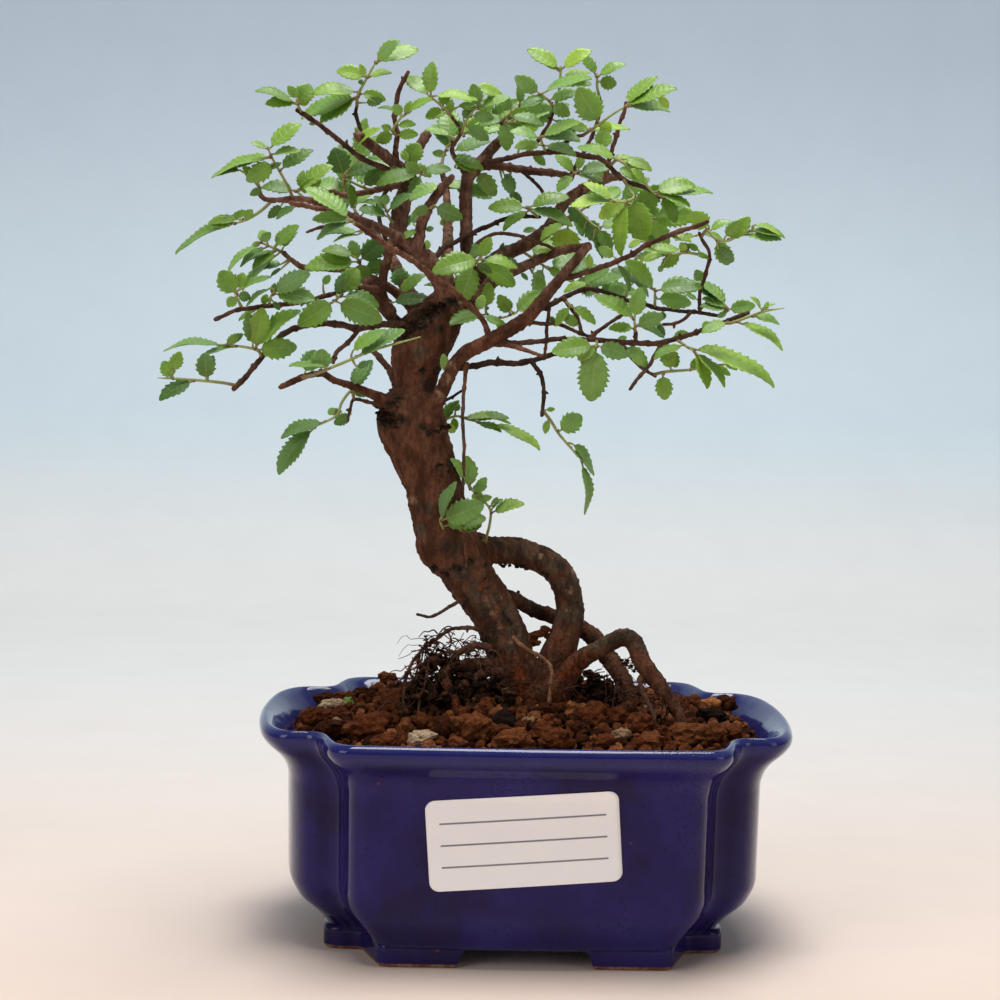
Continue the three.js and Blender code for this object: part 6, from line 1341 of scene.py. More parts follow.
def make_foot(sign_x, sign_y):
    """One foot follows the base round its corner. Its two ends lean inwards as they rise."""
    panel, front = PANEL_HALF + FOOT_OFFSET * PANEL_SPREAD, PANEL_FRONT + FOOT_FRONT_OFFSET
    lobe, end = LOBE_HALF + FOOT_OFFSET * LOBE_SPREAD, LOBE_END + FOOT_OFFSET - FOOT_EASE / 2
    outer, inner = panel + NOTCH_SLANT, panel - NOTCH_SLANT
    sharp, soft = (0.6, 0.6), (FOOT_EASE, FOOT_EASE)

    def ring(height, reach, shrink):
        side = FOOT_SIDE_END - reach + shrink
        ahead = FOOT_FRONT_END - reach + shrink
        back = FOOT_WIDTH - shrink
        corners = [
            (end - shrink, side, sharp), (end - shrink, lobe - shrink, (2 * FOOT_EASE, 2 * FOOT_EASE)),
            (outer - shrink, lobe - shrink, soft), (inner - shrink, front - shrink, soft),
            (ahead, front - shrink, sharp), (ahead, front - back, sharp), (inner - back, front - back, sharp),
            (inner - back, lobe - back, sharp), (end - back, lobe - back, sharp), (end - back, side, sharp)]
        plan = eased_ring(corners, 5, 3)
        points = np.column_stack([plan * (sign_x, sign_y), np.full(len(plan), height)])
        return points if sign_x * sign_y > 0 else points[::-1]

    return [ring(*step) for step in FOOT_RISE]


def make_pot():
    """The pot from its profile, with its drain holes cut, and its four feet."""
    build = Build()
    profile = eased_profile(OUTSIDE + INSIDE)
    crown = int(np.argmax(profile[:, 0]))
    rings, thin = [], []
    for i, (height, offset, front_offset) in enumerate(profile):
        rings.append(pot_plan(offset, height, front_offset))
        thin.append(np.full(len(rings[-1]), thin_glaze_and_highlight(height, i > crown)))
    points, faces = loft(rings)
    build.add(points, faces, np.concatenate(thin + [[0, 0]]))
    pot = build.piece("glazed_pot", [GLAZE])
    drains = Build()
    turns = np.linspace(0, 2 * math.pi, 33)[:-1]
    circle = DRAIN_RADIUS * np.column_stack([np.cos(turns), np.sin(turns)])
    for side in (-1, 1):
        drains.add(*post(circle + (side * DRAIN_PLACE, 0), -1, FLOOR_TOP + 2))
    carve(pot, drains)
    feet = Build()
    for sign_x in (1, -1):
        for sign_y in (1, -1):
            feet.add(*loft(make_foot(sign_x, sign_y)))
    return pot, feet.piece("pot_feet", [GLAZE])


def wall_front(x, z):
    """Where the pot's front wall stands at a place across and up."""
    heights, offsets, fronts = np.array(OUTSIDE).T
    panel = PANEL_HALF + np.interp(z, heights, offsets) * PANEL_SPREAD
    return -(PANEL_FRONT + np.interp(z, heights, fronts) + PANEL_BOW * (1 - (x / panel) ** 2))


LABEL_LAYERS = (0.28, 0.05)


def make_label():
    """The sticker follows the wall, from its face to its back. Its sides draw in round its corners."""
    half_width, half_height = LABEL_WIDTH / 2, LABEL_HEIGHT / 2
    bend = [LABEL_CORNER * (1 - math.cos(turn)) for turn in np.linspace(0, math.pi / 2, 7)]
    rows = [-half_height + step for step in bend]
    rows += list(np.linspace(-half_height + LABEL_CORNER, half_height - LABEL_CORNER, 8)[1:-1])
    rows += [half_height - step for step in bend[::-1]]
    shares = np.linspace(-1, 1, 41)
    layers = []
    for rise in LABEL_LAYERS:
        layer = []
        for z in rows:
            inset = max(0, abs(z) - (half_height - LABEL_CORNER))
            reach = half_width - (LABEL_CORNER - math.sqrt(max(0, LABEL_CORNER ** 2 - inset ** 2)))
            for share in shares:
                x = share * reach
                across = LABEL_MIDDLE[0] + x * math.cos(LABEL_TILT) - z * math.sin(LABEL_TILT)
                up = LABEL_MIDDLE[1] + x * math.sin(LABEL_TILT) + z * math.cos(LABEL_TILT)
                layer.append([across, wall_front(across, up) - rise, up, x / LABEL_WIDTH + 0.5,
                              z / LABEL_HEIGHT + 0.5])
        layers.append(np.array(layer))
    points = np.vstack(layers)
    build = Build()
    build.add(points[:, :3], sheet_faces(len(rows), len(shares)), places=points[:, 3:])
    return build.piece("blank_sticker", [STICKER])


def carve(piece, build):
    """Cuts the shapes gathered in a build out of a piece."""
    tool = build.piece("cutter", list(piece.data.materials))
    cut = piece.modifiers.new("cut", "BOOLEAN")
    cut.operation = "DIFFERENCE"
    cut.solver = "MANIFOLD"
    cut.object = tool
    bake(piece)
    bpy.data.objects.remove(tool)


def post(plan, low, high):
    """A plan of points drawn up from one height to another."""
    plan = np.asarray(plan, float)
    return loft([np.column_stack([plan, np.full(len(plan), height)]) for height in (low, high)])


# Soil.
SOIL_CLEARANCE = FIT_GAP + 0.1
HEAP, BACK_HEAP = 2.4, 2.2
WALL_ROOM = 5.5
# The soil's sides as heights and offsets, and how deep its top lies under the granules.
SOIL_SIDES = [(FLOOR_TOP + FIT_GAP, -8.2), (14.2, -4.8), (46, -4.1), (50.8, -1.7), (SOIL_EDGE - 1.8, -0.2)]
SOIL_SINK = 0.3


def soil_height(x, y):
    """How high the soil's solid stands at a place."""
    mound = SOIL_RISE * np.exp(-(x * x + y * y) / SOIL_SPREAD ** 2)
    rough = np.sin(x * 1.3 + 2) * np.cos(y * 1.1) + np.sin(x * 0.53 - y * 0.71)
    return SOIL_EDGE + mound + SOIL_ROUGHNESS * 0.5 * rough


def heap_height(y, share):
    """How high the granules are heaped on the soil's solid. They lie highest at the back."""
    back = np.clip(y / 30, 0, 1)
    return (HEAP + BACK_HEAP * back) * np.minimum(1, (1 - share) / (0.3 - 0.2 * back))


def soil_rings(rim, shares, sink, heaped=False):
    """Rings of the mound's top, each a share of the rim."""
    rings = []
    for share in shares:
        x, y = rim[:, 0] * share, rim[:, 1] * share
        height = soil_height(x, y) - sink + (heap_height(y, share) if heaped else 0)
        rings.append(np.column_stack([x, y, height]))
    return rings


def make_soil():
    """The soil's body, hidden under the granules, with pockets over the drain screens."""
    rings = [pot_plan(offset - SOIL_CLEARANCE, height) for height, offset in SOIL_SIDES]
    rings += soil_rings(rings[-1], np.linspace(0.97, 0.06, 16), SOIL_SINK)
    build = Build()
    build.add(*loft(rings), tone=0.4)
    soil = build.piece("soil_body", [PEAT])
    pockets = Build()
    square = (SCREEN_SIZE / 2 + FIT_GAP) * np.array([(1, 1), (-1, 1), (-1, -1), (1, -1)])
    for side in (1, -1):
        pockets.add(*post(square + (side * DRAIN_PLACE, 0), FLOOR_TOP - 1,
                          FLOOR_TOP + SCREEN_THICKNESS + 2 * FIT_GAP))
    carve(soil, pockets)
    return soil


# Crumbs at most on a square metre, their kinds of shape, the least and the most that one is
# stretched along an axis, and the power that makes small ones outnumber large ones.
CRUMB_DENSITY = 4e6
CRUMB_SHAPES = 3
CRUMB_SQUASH = (0.75, 1.1)
CRUMB_SKEW = 1.6


def crumb_nodes():
    """Scatters rough crumbs over a surface: three shapes, each crumb turned, sized and toned."""
    tree = bpy.data.node_groups.new("crumbs", "GeometryNodeTree")
    tree.interface.new_socket(name="Surface", in_out="INPUT", socket_type="NodeSocketGeometry")
    for label, value in (("Spacing", 0.002), ("Smallest", 0.001), ("Largest", 0.003)):
        socket = tree.interface.new_socket(name=label, in_out="INPUT", socket_type="NodeSocketFloat")
        socket.default_value = value
    seed = tree.interface.new_socket(name="Seed", in_out="INPUT", socket_type="NodeSocketInt")
    seed.default_value = 1
    tree.interface.new_socket(name="Crumb", in_out="INPUT", socket_type="NodeSocketMaterial")
    tree.interface.new_socket(name="Crumbs", in_out="OUTPUT", socket_type="NodeSocketGeometry")
    start, end = tree.nodes.new("NodeGroupInput"), tree.nodes.new("NodeGroupOutput")
    scatter = add_node(tree, "GeometryNodeDistributePointsOnFaces", {"distribute_method": "POISSON"},
                       Mesh=start.outputs["Surface"], Density_Max=CRUMB_DENSITY,
                       Distance_Min=start.outputs["Spacing"], Seed=start.outputs["Seed"])
    shapes = tree.nodes.new("GeometryNodeJoinGeometry")
    for variant in range(CRUMB_SHAPES):
        ball = add_node(tree, "GeometryNodeMeshIcoSphere", Radius=1.0, Subdivisions=2)
        place = tree.nodes.new("GeometryNodeInputPosition").outputs[0]
        rough = add_node(tree, "ShaderNodeTexNoise", {"noise_dimensions": "4D"}, Vector=place,
                         W=variant * 3.7 + 1, Scale=1.5, Detail=4.0)
        swell = plus(tree, times(tree, rough.outputs["Fac"], 2.0), -0.1)
        moved = add_node(tree, "ShaderNodeVectorMath", {"operation": "SCALE"}, Vector=place, Scale=swell)
        shape = add_node(tree, "GeometryNodeSetPosition", Geometry=ball.outputs["Mesh"],
                         Position=moved.outputs["Vector"])
        wrapped = add_node(tree, "GeometryNodeGeometryToInstance", Geometry=shape.outputs["Geometry"])
        tree.links.new(wrapped.outputs[0], shapes.inputs[0])
    pick = add_node(tree, "FunctionNodeRandomValue", {"data_type": "INT"}, Seed=3)
    pick.inputs[4].default_value, pick.inputs[5].default_value = 0, CRUMB_SHAPES - 1
    turn = add_node(tree, "FunctionNodeRandomValue", {"data_type": "FLOAT_VECTOR"}, Seed=5)
    turn.inputs[1].default_value = (2 * math.pi,) * 3
    share = add_node(tree, "FunctionNodeRandomValue", {"data_type": "FLOAT"}, Seed=7)
    skewed = calculate(tree, "POWER", share.outputs[1], CRUMB_SKEW)
    span = calculate(tree, "SUBTRACT", start.outputs["Largest"], start.outputs["Smallest"])
    size = plus(tree, times(tree, skewed, span), start.outputs["Smallest"])
    squash = add_node(tree, "FunctionNodeRandomValue", {"data_type": "FLOAT_VECTOR"}, Seed=9)
    for socket, value in zip(squash.inputs, CRUMB_SQUASH):
        socket.default_value = (value,) * 3
    scale = add_node(tree, "ShaderNodeVectorMath", {"operation": "SCALE"}, Vector=squash.outputs[0],
                     Scale=size)
    laid = add_node(tree, "GeometryNodeInstanceOnPoints", Points=scatter.outputs["Points"],
                    Instance=shapes.outputs[0], Pick_Instance=True, Instance_Index=pick.outputs[2],
                    Rotation=turn.outputs[0], Scale=scale.outputs["Vector"])
    tone = add_node(tree, "FunctionNodeRandomValue", {"data_type": "FLOAT"}, Seed=11)
    toned = add_node(tree, "GeometryNodeStoreNamedAttribute", {"data_type": "FLOAT", "domain": "INSTANCE"},
                     Geometry=laid.outputs[0], Name="tone", Value=tone.outputs[1])
    solid = add_node(tree, "GeometryNodeRealizeInstances", Geometry=toned.outputs[0])
    finished = add_node(tree, "GeometryNodeSetMaterial", Geometry=solid.outputs[0],
                        Material=start.outputs["Crumb"])
    tree.links.new(finished.outputs[0], end.inputs[0])
    return tree


def scatter_crumbs(name, surface, tree, **inputs):
    """Crumbs over a surface as one baked piece. An input is set by its socket's identifier."""
    grow = surface.modifiers.new("crumbs", "NODES")
    grow.node_group = tree
    for item in tree.interface.items_tree:
        if item.in_out == "INPUT" and item.name in inputs:
            grow[item.identifier] = inputs[item.name]
    bake(surface)
    surface.name = name
    return surface


# Scattered granules: offset of the outmost ones, how deep they lie, their spacing, the half
# sizes of the smallest and the largest, and a seed.
SCATTERS = {"granules": (-2.0, 0.2, 3.2, 1.3, 2.5, 4), "fine_granules": (-0.6, 0.9, 2.0, 0.45, 1.3, 8)}


def make_granules():
    tree = crumb_nodes()
    pieces = []
    for name, (spread, sink, spacing, smallest, largest, seed) in SCATTERS.items():
        rim = pot_plan(spread, SOIL_EDGE)
        build = Build()
        rings = soil_rings(rim, np.linspace(1, 0.06, 18), sink, True)
        build.add(np.vstack(rings), grid_faces(len(rings), len(rim)))
        pieces.append(scatter_crumbs(name, build.piece(name, []), tree, Crumb=GRANULE, Spacing=spacing * MM,
                                     Smallest=smallest * MM, Largest=largest * MM, Seed=seed))
    return pieces


def crumb_ball(subdivisions):
    """The points and faces of a ball."""
    shape = bmesh.new()
    bmesh.ops.create_icosphere(shape, subdivisions=subdivisions, radius=1)
    points = np.array([point.co[:] for point in shape.verts])
    faces = [tuple(point.index for point in face.verts) for face in shape.faces]
    shape.free()
    return points, faces


COARSE_BALL, FINE_BALL = crumb_ball(2), crumb_ball(3)


def add_crumb(build, centre, half_sizes, tone, draw, rough=0.45, ball=COARSE_BALL):
    """One irregular crumb whose half sizes run across, deep and up."""
    points, faces = ball
    start = 50 * draw()
    swell = np.array([1 + rough * noise.fractal(Vector(point * 1.1 + start), 0.6, 2.1, 4)
                      for point in points])
    turn = np.array(Euler([6.3 * draw() for axis in range(3)]).to_matrix())
    build.add(centre + (points * swell[:, None]) @ turn * half_sizes, faces, tone)


SOIL_DEPTHS = (-60.0, 38.0)
HALVINGS = 24


def on_soil(column, row, lift=0.0):
    """The point of the soil that shows at a column and row."""
    near, far = SOIL_DEPTHS
    for step in range(HALVINGS):
        middle = (near + far) / 2
        point = seen(column, row, middle)
        if point[2] > soil_height(point[0], point[1]) + lift:
            near = middle
        else:
            far = middle
    return seen(column, row, near)


def clear_of_wall(point):
    """The point drawn in till a granule there keeps clear of the pot's wall."""
    x, y, z = point
    side = PANEL_FRONT if abs(x) < PANEL_HALF - WALL_ROOM else LOBE_HALF
    return np.array([np.clip(x, WALL_ROOM - LOBE_END, LOBE_END - WALL_ROOM),
                     np.clip(y, WALL_ROOM - side, side - WALL_ROOM), z])


# The pieces that stones and chips are gathered in, and each letter's piece and tone.
STONE_PIECES = {"front_granules": GRANULE, "pale_chips": CHIP, "bark_chips": RIND, "green_scrap": SCRAP,
                "dark_chips": PEAT}
STONE_KINDS = {"P": ("pale_chips", 0.9), "S": ("pale_chips", 0.45), "G": ("green_scrap", 0.6),
               "O": ("bark_chips", 0.7), "K": ("dark_chips", 0.1), "D": ("front_granules", 0.15),
               "M": ("front_granules", 0.45), "L": ("front_granules", 0.75)}


def make_big_granules():
    """The stones that stand out of the soil in front, and the chips that lie on it."""
    draw = drawer(12)
    builds = {name: Build() for name in STONE_PIECES}
    for column, row, width, tall, letter in BIG_GRANULES:
        kind, tone = STONE_KINDS[letter]
        scale = EYE_FOCAL / ((on_soil(column, row) - EYE) @ AHEAD)
        half = np.array([width, (width + tall) / 2, 0.7 * tall + 0.3 * width]) / scale * 0.56
        point = clear_of_wall(on_soil(column, row, HEAP + 0.4 * half[2]))
        add_crumb(builds[kind], point, half, tone, draw, 0.42, FINE_BALL)
    for *place, width in WEDGED_SCRAPS:
        add_crumb(builds["front_granules"], seen(*place), width * np.array([1, 0.6, 0.5]), 0.7, draw, 0.6,
                  FINE_BALL)
    return [builds[name].piece(name, [finish], smooth=False) for name, finish in STONE_PIECES.items()]


PEAT_FOOT = 724


def make_peat():
    """Dark peat heaped round the roots."""
    draw = drawer(40)
    build = Build()
    for tops, depths, count in PEAT_HEAPS:
        columns, rows = np.array(tops, float).T
        for i in range(count):
            column = columns[0] + (columns[-1] - columns[0]) * draw()
            depth = depths[0] + (depths[1] - depths[0]) * draw()
            crest = np.interp(column, columns, rows)
            row = crest + 4 + (PEAT_FOOT - crest) * draw()
            radius = 0.4 + 1.1 * draw() ** 1.8
            point = seen(column, row, depth)
            if point[2] < SOIL_EDGE - 1:
                continue
            add_crumb(build, point, np.array([1, 1, 0.85]) * radius, draw() ** 1.3, draw, 0.8)
    return build.piece("peat", [PEAT], smooth=False)


# Wood. Limbs over a radius go into the thick wood. The knot is a column, a row and a reach. Some
# limbs are drawn thinner than their solids, by a share at their start and one at their end.
THICK = 1.6
KNOT = (441, 470, 7)
THINNER = {"right_limb": (1.0, 0.8), "right_leader": (0.95, 0.82), "top_stub": (1.0, 0.85),
           "high_stub": (1.0, 0.85), "left_stub": (1.0, 0.8), "left_reach": (1.0, 0.74),
           "collar_branch": (1.0, 0.88), "front_leader": (1.0, 0.85)}
SLIM, SLIM_THICKER, SLIM_UNDER = 0.74, 0.88, 1.45
LIMB_STEP, LIMB_SIDES, LIMB_SWELL = 1.2, 18, 1.03
TWIG_STEP, TWIG_SIDES = 0.75, 9
GROOVE_REACH, GROOVE_DEPTH, KNOT_RISE = 3.2, 0.8, 0.6
# The limbs are merged on a grid of this size, and smoothed so many times by this share.
WOOD_VOXEL, WOOD_RELAX, WOOD_RELAX_ROUNDS = 0.5, 0.6, 4


def nearest_wood():
    """A finder of the nearest point on a limb, with the radius there."""
    starts = ROD_STARTS[:, None] + ROD_RUNS[:, None] * np.linspace(0.1, 0.9, 5)[None, :, None]
    points = starts.reshape(-1, 3)
    tree = kdtree.KDTree(len(points))
    for i, point in enumerate(points):
        tree.insert(point, i)
    tree.balance()
    return tree, np.repeat(ROD_RADII, 5)


def capped(points, radii, blunt):
    """Draws a tube's far end in: to a dome, or to a short bevel where it was cut."""
    way = unit(points[-1] - points[-2])
    radius = radii[-1]
    steps = ((0.3, 0.8),) if blunt else ((0.35, 0.93), (0.7, 0.7), (0.92, 0.4))
    extra = np.array([points[-1] + way * radius * ahead for ahead, share in steps])
    return np.vstack([points, extra]), np.concatenate([radii, [radius * share for ahead, share in steps]])


def limb_path(limb, step):
    """A limb's points and radii at even steps."""
    count = max(3, round(limb.curve.length / step))
    along = np.linspace(0, 1, count + 1)
    return limb.curve.along(along), limb.radius(limb.curve.share_at(along))


def make_thick_wood():
    """The trunk, the roots and the thick limbs merged into one skin, with bark relief and masks."""
    build = Build()
    for name, grown in limbs.items():
        if max(grown.radii) <= THICK:
            continue
        points, radii = limb_path(grown, LIMB_STEP)
        radii = radii * LIMB_SWELL * np.linspace(*THINNER.get(name, (1, 1)), len(radii))
        build.add(*sweep(*capped(points, radii, "stub" in name), LIMB_SIDES))
    for stations in LEDGES:
        points = np.array([seen(*place) for *place, radius in stations])
        radii = np.array([radius for *place, radius in stations])
        build.add(*sweep(*capped(points, radii, False), LIMB_SIDES))
    wood = build.piece("old_wood", [BARK])
    merge = wood.modifiers.new("merge", "REMESH")
    merge.mode = "VOXEL"
    merge.voxel_size = WOOD_VOXEL * MM
    merge.use_smooth_shade = True
    relax = wood.modifiers.new("relax", "SMOOTH")
    relax.factor = WOOD_RELAX
    relax.iterations = WOOD_RELAX_ROUNDS
    bake(wood)
    mesh = wood.data
    count = len(mesh.vertices)
    places, normals = np.zeros(count * 3), np.zeros(count * 3)
    mesh.vertices.foreach_get("co", places)
    mesh.vertices.foreach_get("normal", normals)
    places, normals = places.reshape(-1, 3) / MM - SHIFT, normals.reshape(-1, 3)
    tree, radii = nearest_wood()
    columns, rows = shown_at(places)
    towards = -(normals @ AHEAD)
    facing = np.clip(towards * 2, 0, 1)
    cut = near_line(columns, rows, GROOVE, GROOVE_REACH) * facing
    ring = np.abs(np.hypot(columns - KNOT[0], (rows - KNOT[1]) * 1.2) - KNOT[2])
    knot = np.exp(-(ring / 2.2) ** 2) * facing
    moved = places.copy()
    for i in range(count):
        point = Vector(places[i])
        radius = radii[tree.find(point)[1]]
        lumps = noise.fractal(point * 0.16, 1.0, 2.0, 3)
        ridges = noise.fractal(Vector((point.x * 0.75, point.y * 0.75, point.z * 0.22)), 0.8, 2.0, 3)
        flakes = max(0, noise.noise(point * 0.9 + Vector((7, 3, 1))) - 0.12)
        swell = 0.05 * radius * lumps + (0.05 * radius + 0.06) * ridges + 0.55 * flakes
        moved[i] += normals[i] * (swell - GROOVE_DEPTH * cut[i] + KNOT_RISE * knot[i])
    mesh.vertices.foreach_set("co", ((moved + SHIFT) * MM).ravel())
    for name, spots in BARK_SPOTS.items():
        mask = near_spots(columns, rows, spots)
        # The dark mask also takes in the split, as painted shade, and the knot's ring.
        if name == "dark":
            mask = np.maximum(mask, np.maximum(0.7 * cut, 0.8 * knot))
        mesh.attributes.new(name, "FLOAT", "POINT").data.foreach_set("value", mask)
    if not mesh.materials:
        mesh.materials.append(BARK)
    mesh.update()
    return wood


def near_spots(columns, rows, spots):
    """A mask that is 1 in the middle of each spot, and falls to 0 a little past its reach."""
    mask = np.zeros(len(columns))
    for column, row, reach in spots:
        away = np.hypot(columns - column, rows - row) / reach
        mask = np.maximum(mask, np.clip(1.35 - 1.1 * away, 0, 1))
    return mask


def near_line(columns, rows, line, reach):
    """A mask that falls off to both sides of a line of columns and rows."""
    mask = np.zeros(len(columns))
    line = np.array(line, float)
    for share in np.linspace(0, 1, 40):
        place = share * (len(line) - 1)
        column, row = (np.interp(place, range(len(line)), line[:, axis]) for axis in (0, 1))
        mask = np.maximum(mask, np.exp(-((columns - column) ** 2 + (rows - row) ** 2) / reach ** 2))
    return mask


def make_twigs():
    """Every thin limb, with swollen joints and small buds."""
    build = Build()
    draw = drawer(5)
    for name, grown in limbs.items():
        if max(grown.radii) > THICK:
            continue
        tone = next((value for value, names in TWIG_TONES.items() if name in names), 0.42)
        points, radii = limb_path(grown, TWIG_STEP)
        radii = radii * (SLIM if max(radii) < SLIM_UNDER else SLIM_THICKER)
        beat, start = 4.0 + 3 * draw(), draw()
        along = np.arange(len(points)) * TWIG_STEP
        joints = np.maximum(0, np.cos((along / beat + start) * 2 * math.pi)) ** 10
        radii = radii * (0.92 + 0.3 * joints)
        bend = np.array([[noise.noise(Vector((s * 0.22, seed, grown.curve.length))) for seed in (1, 5, 9)]
                         for s in along])
        fade_in = np.minimum(1, along / 6)[:, None]
        points = points + bend * 0.35 * fade_in
        ways = np.gradient(points, axis=0)
        for i in range(2, len(points) - 2):
            if joints[i] > 0.4 and draw() < 0.55:
                outward = unit(np.cross(ways[i], [draw() - 0.5, draw() - 0.5, draw() - 0.5]))
                tip = points[i] + outward * (radii[i] + 0.35 + 0.5 * draw()) + unit(ways[i]) * 0.4
                bud = np.array([points[i], (points[i] + tip) / 2 + outward * radii[i] * 0.3, tip])
                build.add(*sweep(bud, [0.45, 0.4, 0.08], 5), tone=tone - 0.1)
        points, radii = capped(points, radii, radii[-1] > 0.8)
        tube_points, faces = sweep(points, radii, TWIG_SIDES)
        wobble = np.array([noise.noise(Vector(point) * 1.3) for point in tube_points])
        centres = np.vstack([np.repeat(points, TWIG_SIDES, axis=0), points[:1], points[-1:]])
        outward = tube_points - centres
        build.add(tube_points + outward * wobble[:, None] * 0.36, faces, tone=tone)
    return build.piece("twigs", [TWIG])


def make_crumbly_cuts():
    """Rough dark crumbs along the old cuts."""
    build = Build()
    draw = drawer(9)
    for stations, spread, count in CRUMBLY_LINES:
        line = np.array(stations, float)
        for i in range(count):
            place = draw() * (len(line) - 1)
            column, row, depth = (np.interp(place, range(len(line)), line[:, axis]) for axis in range(3))
            point = seen(column + spread * (draw() - 0.5), row + spread * (draw() - 0.5),
                         depth + 2 * (draw() - 0.5))
            radius = 0.22 + 0.42 * draw() ** 1.6
            add_crumb(build, point, np.array([1.3, 1, 0.8]) * radius, 0.75 * draw(), draw, 0.8)
    return build.piece("crumbly_cuts", [PEAT], smooth=False)


# A fine root's steps in columns, how far each falls in rows, how sharply it turns, how far it
# strays in depth, and the height that it ends at.
HAIR_STEP, HAIR_FALL, HAIR_TURN, HAIR_STRAY = 5.5, 3.2, 2.2, 1.6
HAIR_END = SOIL_EDGE - 1


def make_hair_roots():
    """Fine dead roots that wander down in a tangle from the trunk's foot and the roots."""
    build = Build()
    draw = drawer(31)
    for left, right, top, bottom, depths, count, weight in HAIR_PATCHES:
        for i in range(count):
            column, row = left + (right - left) * draw(), top + (bottom - top) * draw()
            depth = depths[0] + (depths[1] - depths[0]) * draw()
            heading = 6.28 * draw()
            stations = [seen(column, row, depth)]
            for step in range(4 + int(5 * draw())):
                heading += HAIR_TURN * (draw() - 0.5)
                column += HAIR_STEP * math.cos(heading)
                row += HAIR_STEP * math.sin(heading) + HAIR_FALL
                depth += HAIR_STRAY * (draw() - 0.5)
                stations.append(seen(column, row, depth))
            curve = Curve(stations)
            points = curve.along(np.linspace(0, 1, len(stations) * 3))
            points = points[points[:, 2] > HAIR_END]
            if len(points) < 6:
                continue
            radius = weight * (0.6 + 0.9 * draw() ** 2)
            radii = np.linspace(radius, radius * 0.5, len(points))
            build.add(*sweep(points, radii, 5), tone=0.1 + 0.55 * draw())
    return build.piece("hair_roots", [TWIG])


# Leaves. A tooth's phases are how far through it and how far out the edge stands.
PETIOLE = 0.1
SIDE_COLUMNS = np.array([-1, -0.68, -0.34, 0, 0.34, 0.68, 1])
TOOTH_PHASES = ((0, 0.87), (0.5, 1.0), (0.85, 1.11))
FOLD_EASE = 0.05


def tooth_count(length):
    return int(min(10, max(5, round(length * 0.62))))


def add_blade(build, leaf, tone, draw):
    """A toothed blade, closed and thin, that lies along the leaf's own frame."""
    teeth = tooth_count(leaf.length)
    rows = [(0.0, 0.0)]
    for tooth in range(teeth):
        rows += [((tooth + phase) / teeth, reach) for phase, reach in TOOTH_PHASES]
    rows = rows[:1] + rows[2:] + [(1.0, 0.0)]
    curl, wave, twist = 0.02 + 0.07 * draw(), draw() * 6.28, 0.25 * (draw() - 0.5)
    ease = FOLD_EASE * leaf.width
    upper, places = [], []
    for share, reach in rows:
        half = reach * max(0, math.sin(math.pi * share ** 0.9)) ** 0.6
        for column in SIDE_COLUMNS:
            lag = 0.1 * 4 * share * (1 - share) * (1 - abs(column))
            along = PETIOLE + (1 - PETIOLE) * (share - lag)
            edge = column * half * leaf.width / 2
            lift = LEAF_ARCH * leaf.length * 4 * along * (1 - along)
            lift += LEAF_FOLD * (math.sqrt(edge ** 2 + ease ** 2) - ease)
            lift -= curl * leaf.length * along ** 3
            lift += 0.035 * leaf.width * math.sin(along * 9 + wave) * column ** 2
            lift += twist * edge * along
            quilt = 0.02 * leaf.width * math.cos((share * teeth - 0.35) * 2 * math.pi)
            lift += quilt * (1 - abs(column)) * abs(column) * 2
            upper.append(leaf.base + leaf.along * along * leaf.length + leaf.across * edge
                         + leaf.normal * lift)
            places.append((0.5 + column / 2, share * teeth))
    upper, places = np.array(upper), np.array(places)
    thin = np.array([0.1 + 0.22 * (1 - abs(column)) for column in SIDE_COLUMNS] * len(rows))
    lower = upper - leaf.normal * thin[:, None]
    outwards = [face[::-1] for face in sheet_faces(len(rows), len(SIDE_COLUMNS))]
    build.add(np.vstack([upper, lower]), outwards, tone, np.vstack([places, places]))


def add_petiole(build, seat, leaf, draw):
    """The short stalk of a leaf, with a bud in its corner."""
    start = seat - leaf.along * 0.1
    end = leaf.point(0.2, 0) - leaf.normal * 0.12
    middle = (start + end) / 2 - leaf.normal * 0.1
    points = Curve([start, middle, end]).along(np.linspace(0, 1, 6))
    build.add(*sweep(points, [0.34, 0.28, 0.25, 0.24, 0.22, 0.1], 6), tone=0.3 + 0.3 * draw(), finish=1)
    side = leaf.across * (1 if draw() > 0.5 else -1)
    bud = np.array([start, start + side * 0.35 + leaf.along * 0.25, start + side * 0.55 + leaf.along * 0.7])
    build.add(*sweep(bud, [0.3, 0.36, 0.06], 6), tone=1.0, finish=1)


# The finer leaves are a little longer than the solids', and the narrow ones wider too.
FULLER = (1.05, 1.1)
NARROW = 6
LEAF_MARGIN = 0.6
LEAF_EDGES = [(1, 0), (0.8, 0.8), (0.8, -0.8), (0.5, 1), (0.5, -1), (0.5, 0)]
TONE_LETTERS = {"D": 0.1, "M": 0.36, "L": 0.52, "B": 0.68, "Y": 0.9}
PLAIN_TONE = 0.4


def stem_tube(points, radii, sides, tones):
    """The points, faces and tones of a stem that ends in a dome."""
    points, radii = capped(points, radii, False)
    ring_tones = np.append(tones, [tones[-1]] * (len(points) - len(tones)))
    return *sweep(points, radii, sides), np.concatenate([np.repeat(ring_tones, sides), [tones[0], tones[-1]]])


def fit_leaf(leaf):
    """Shortens a leaf till it lies inside the object's box."""
    low, high = (np.array(corner) / MM - SHIFT for corner in CAD_BOX)
    for attempt in range(40):
        edges = np.array([leaf.point(share, across) for share, across in LEAF_EDGES])
        if (edges > low + LEAF_MARGIN).all() and (edges < high - LEAF_MARGIN).all():
            return
        leaf.length *= 0.96
        leaf.width *= 0.96


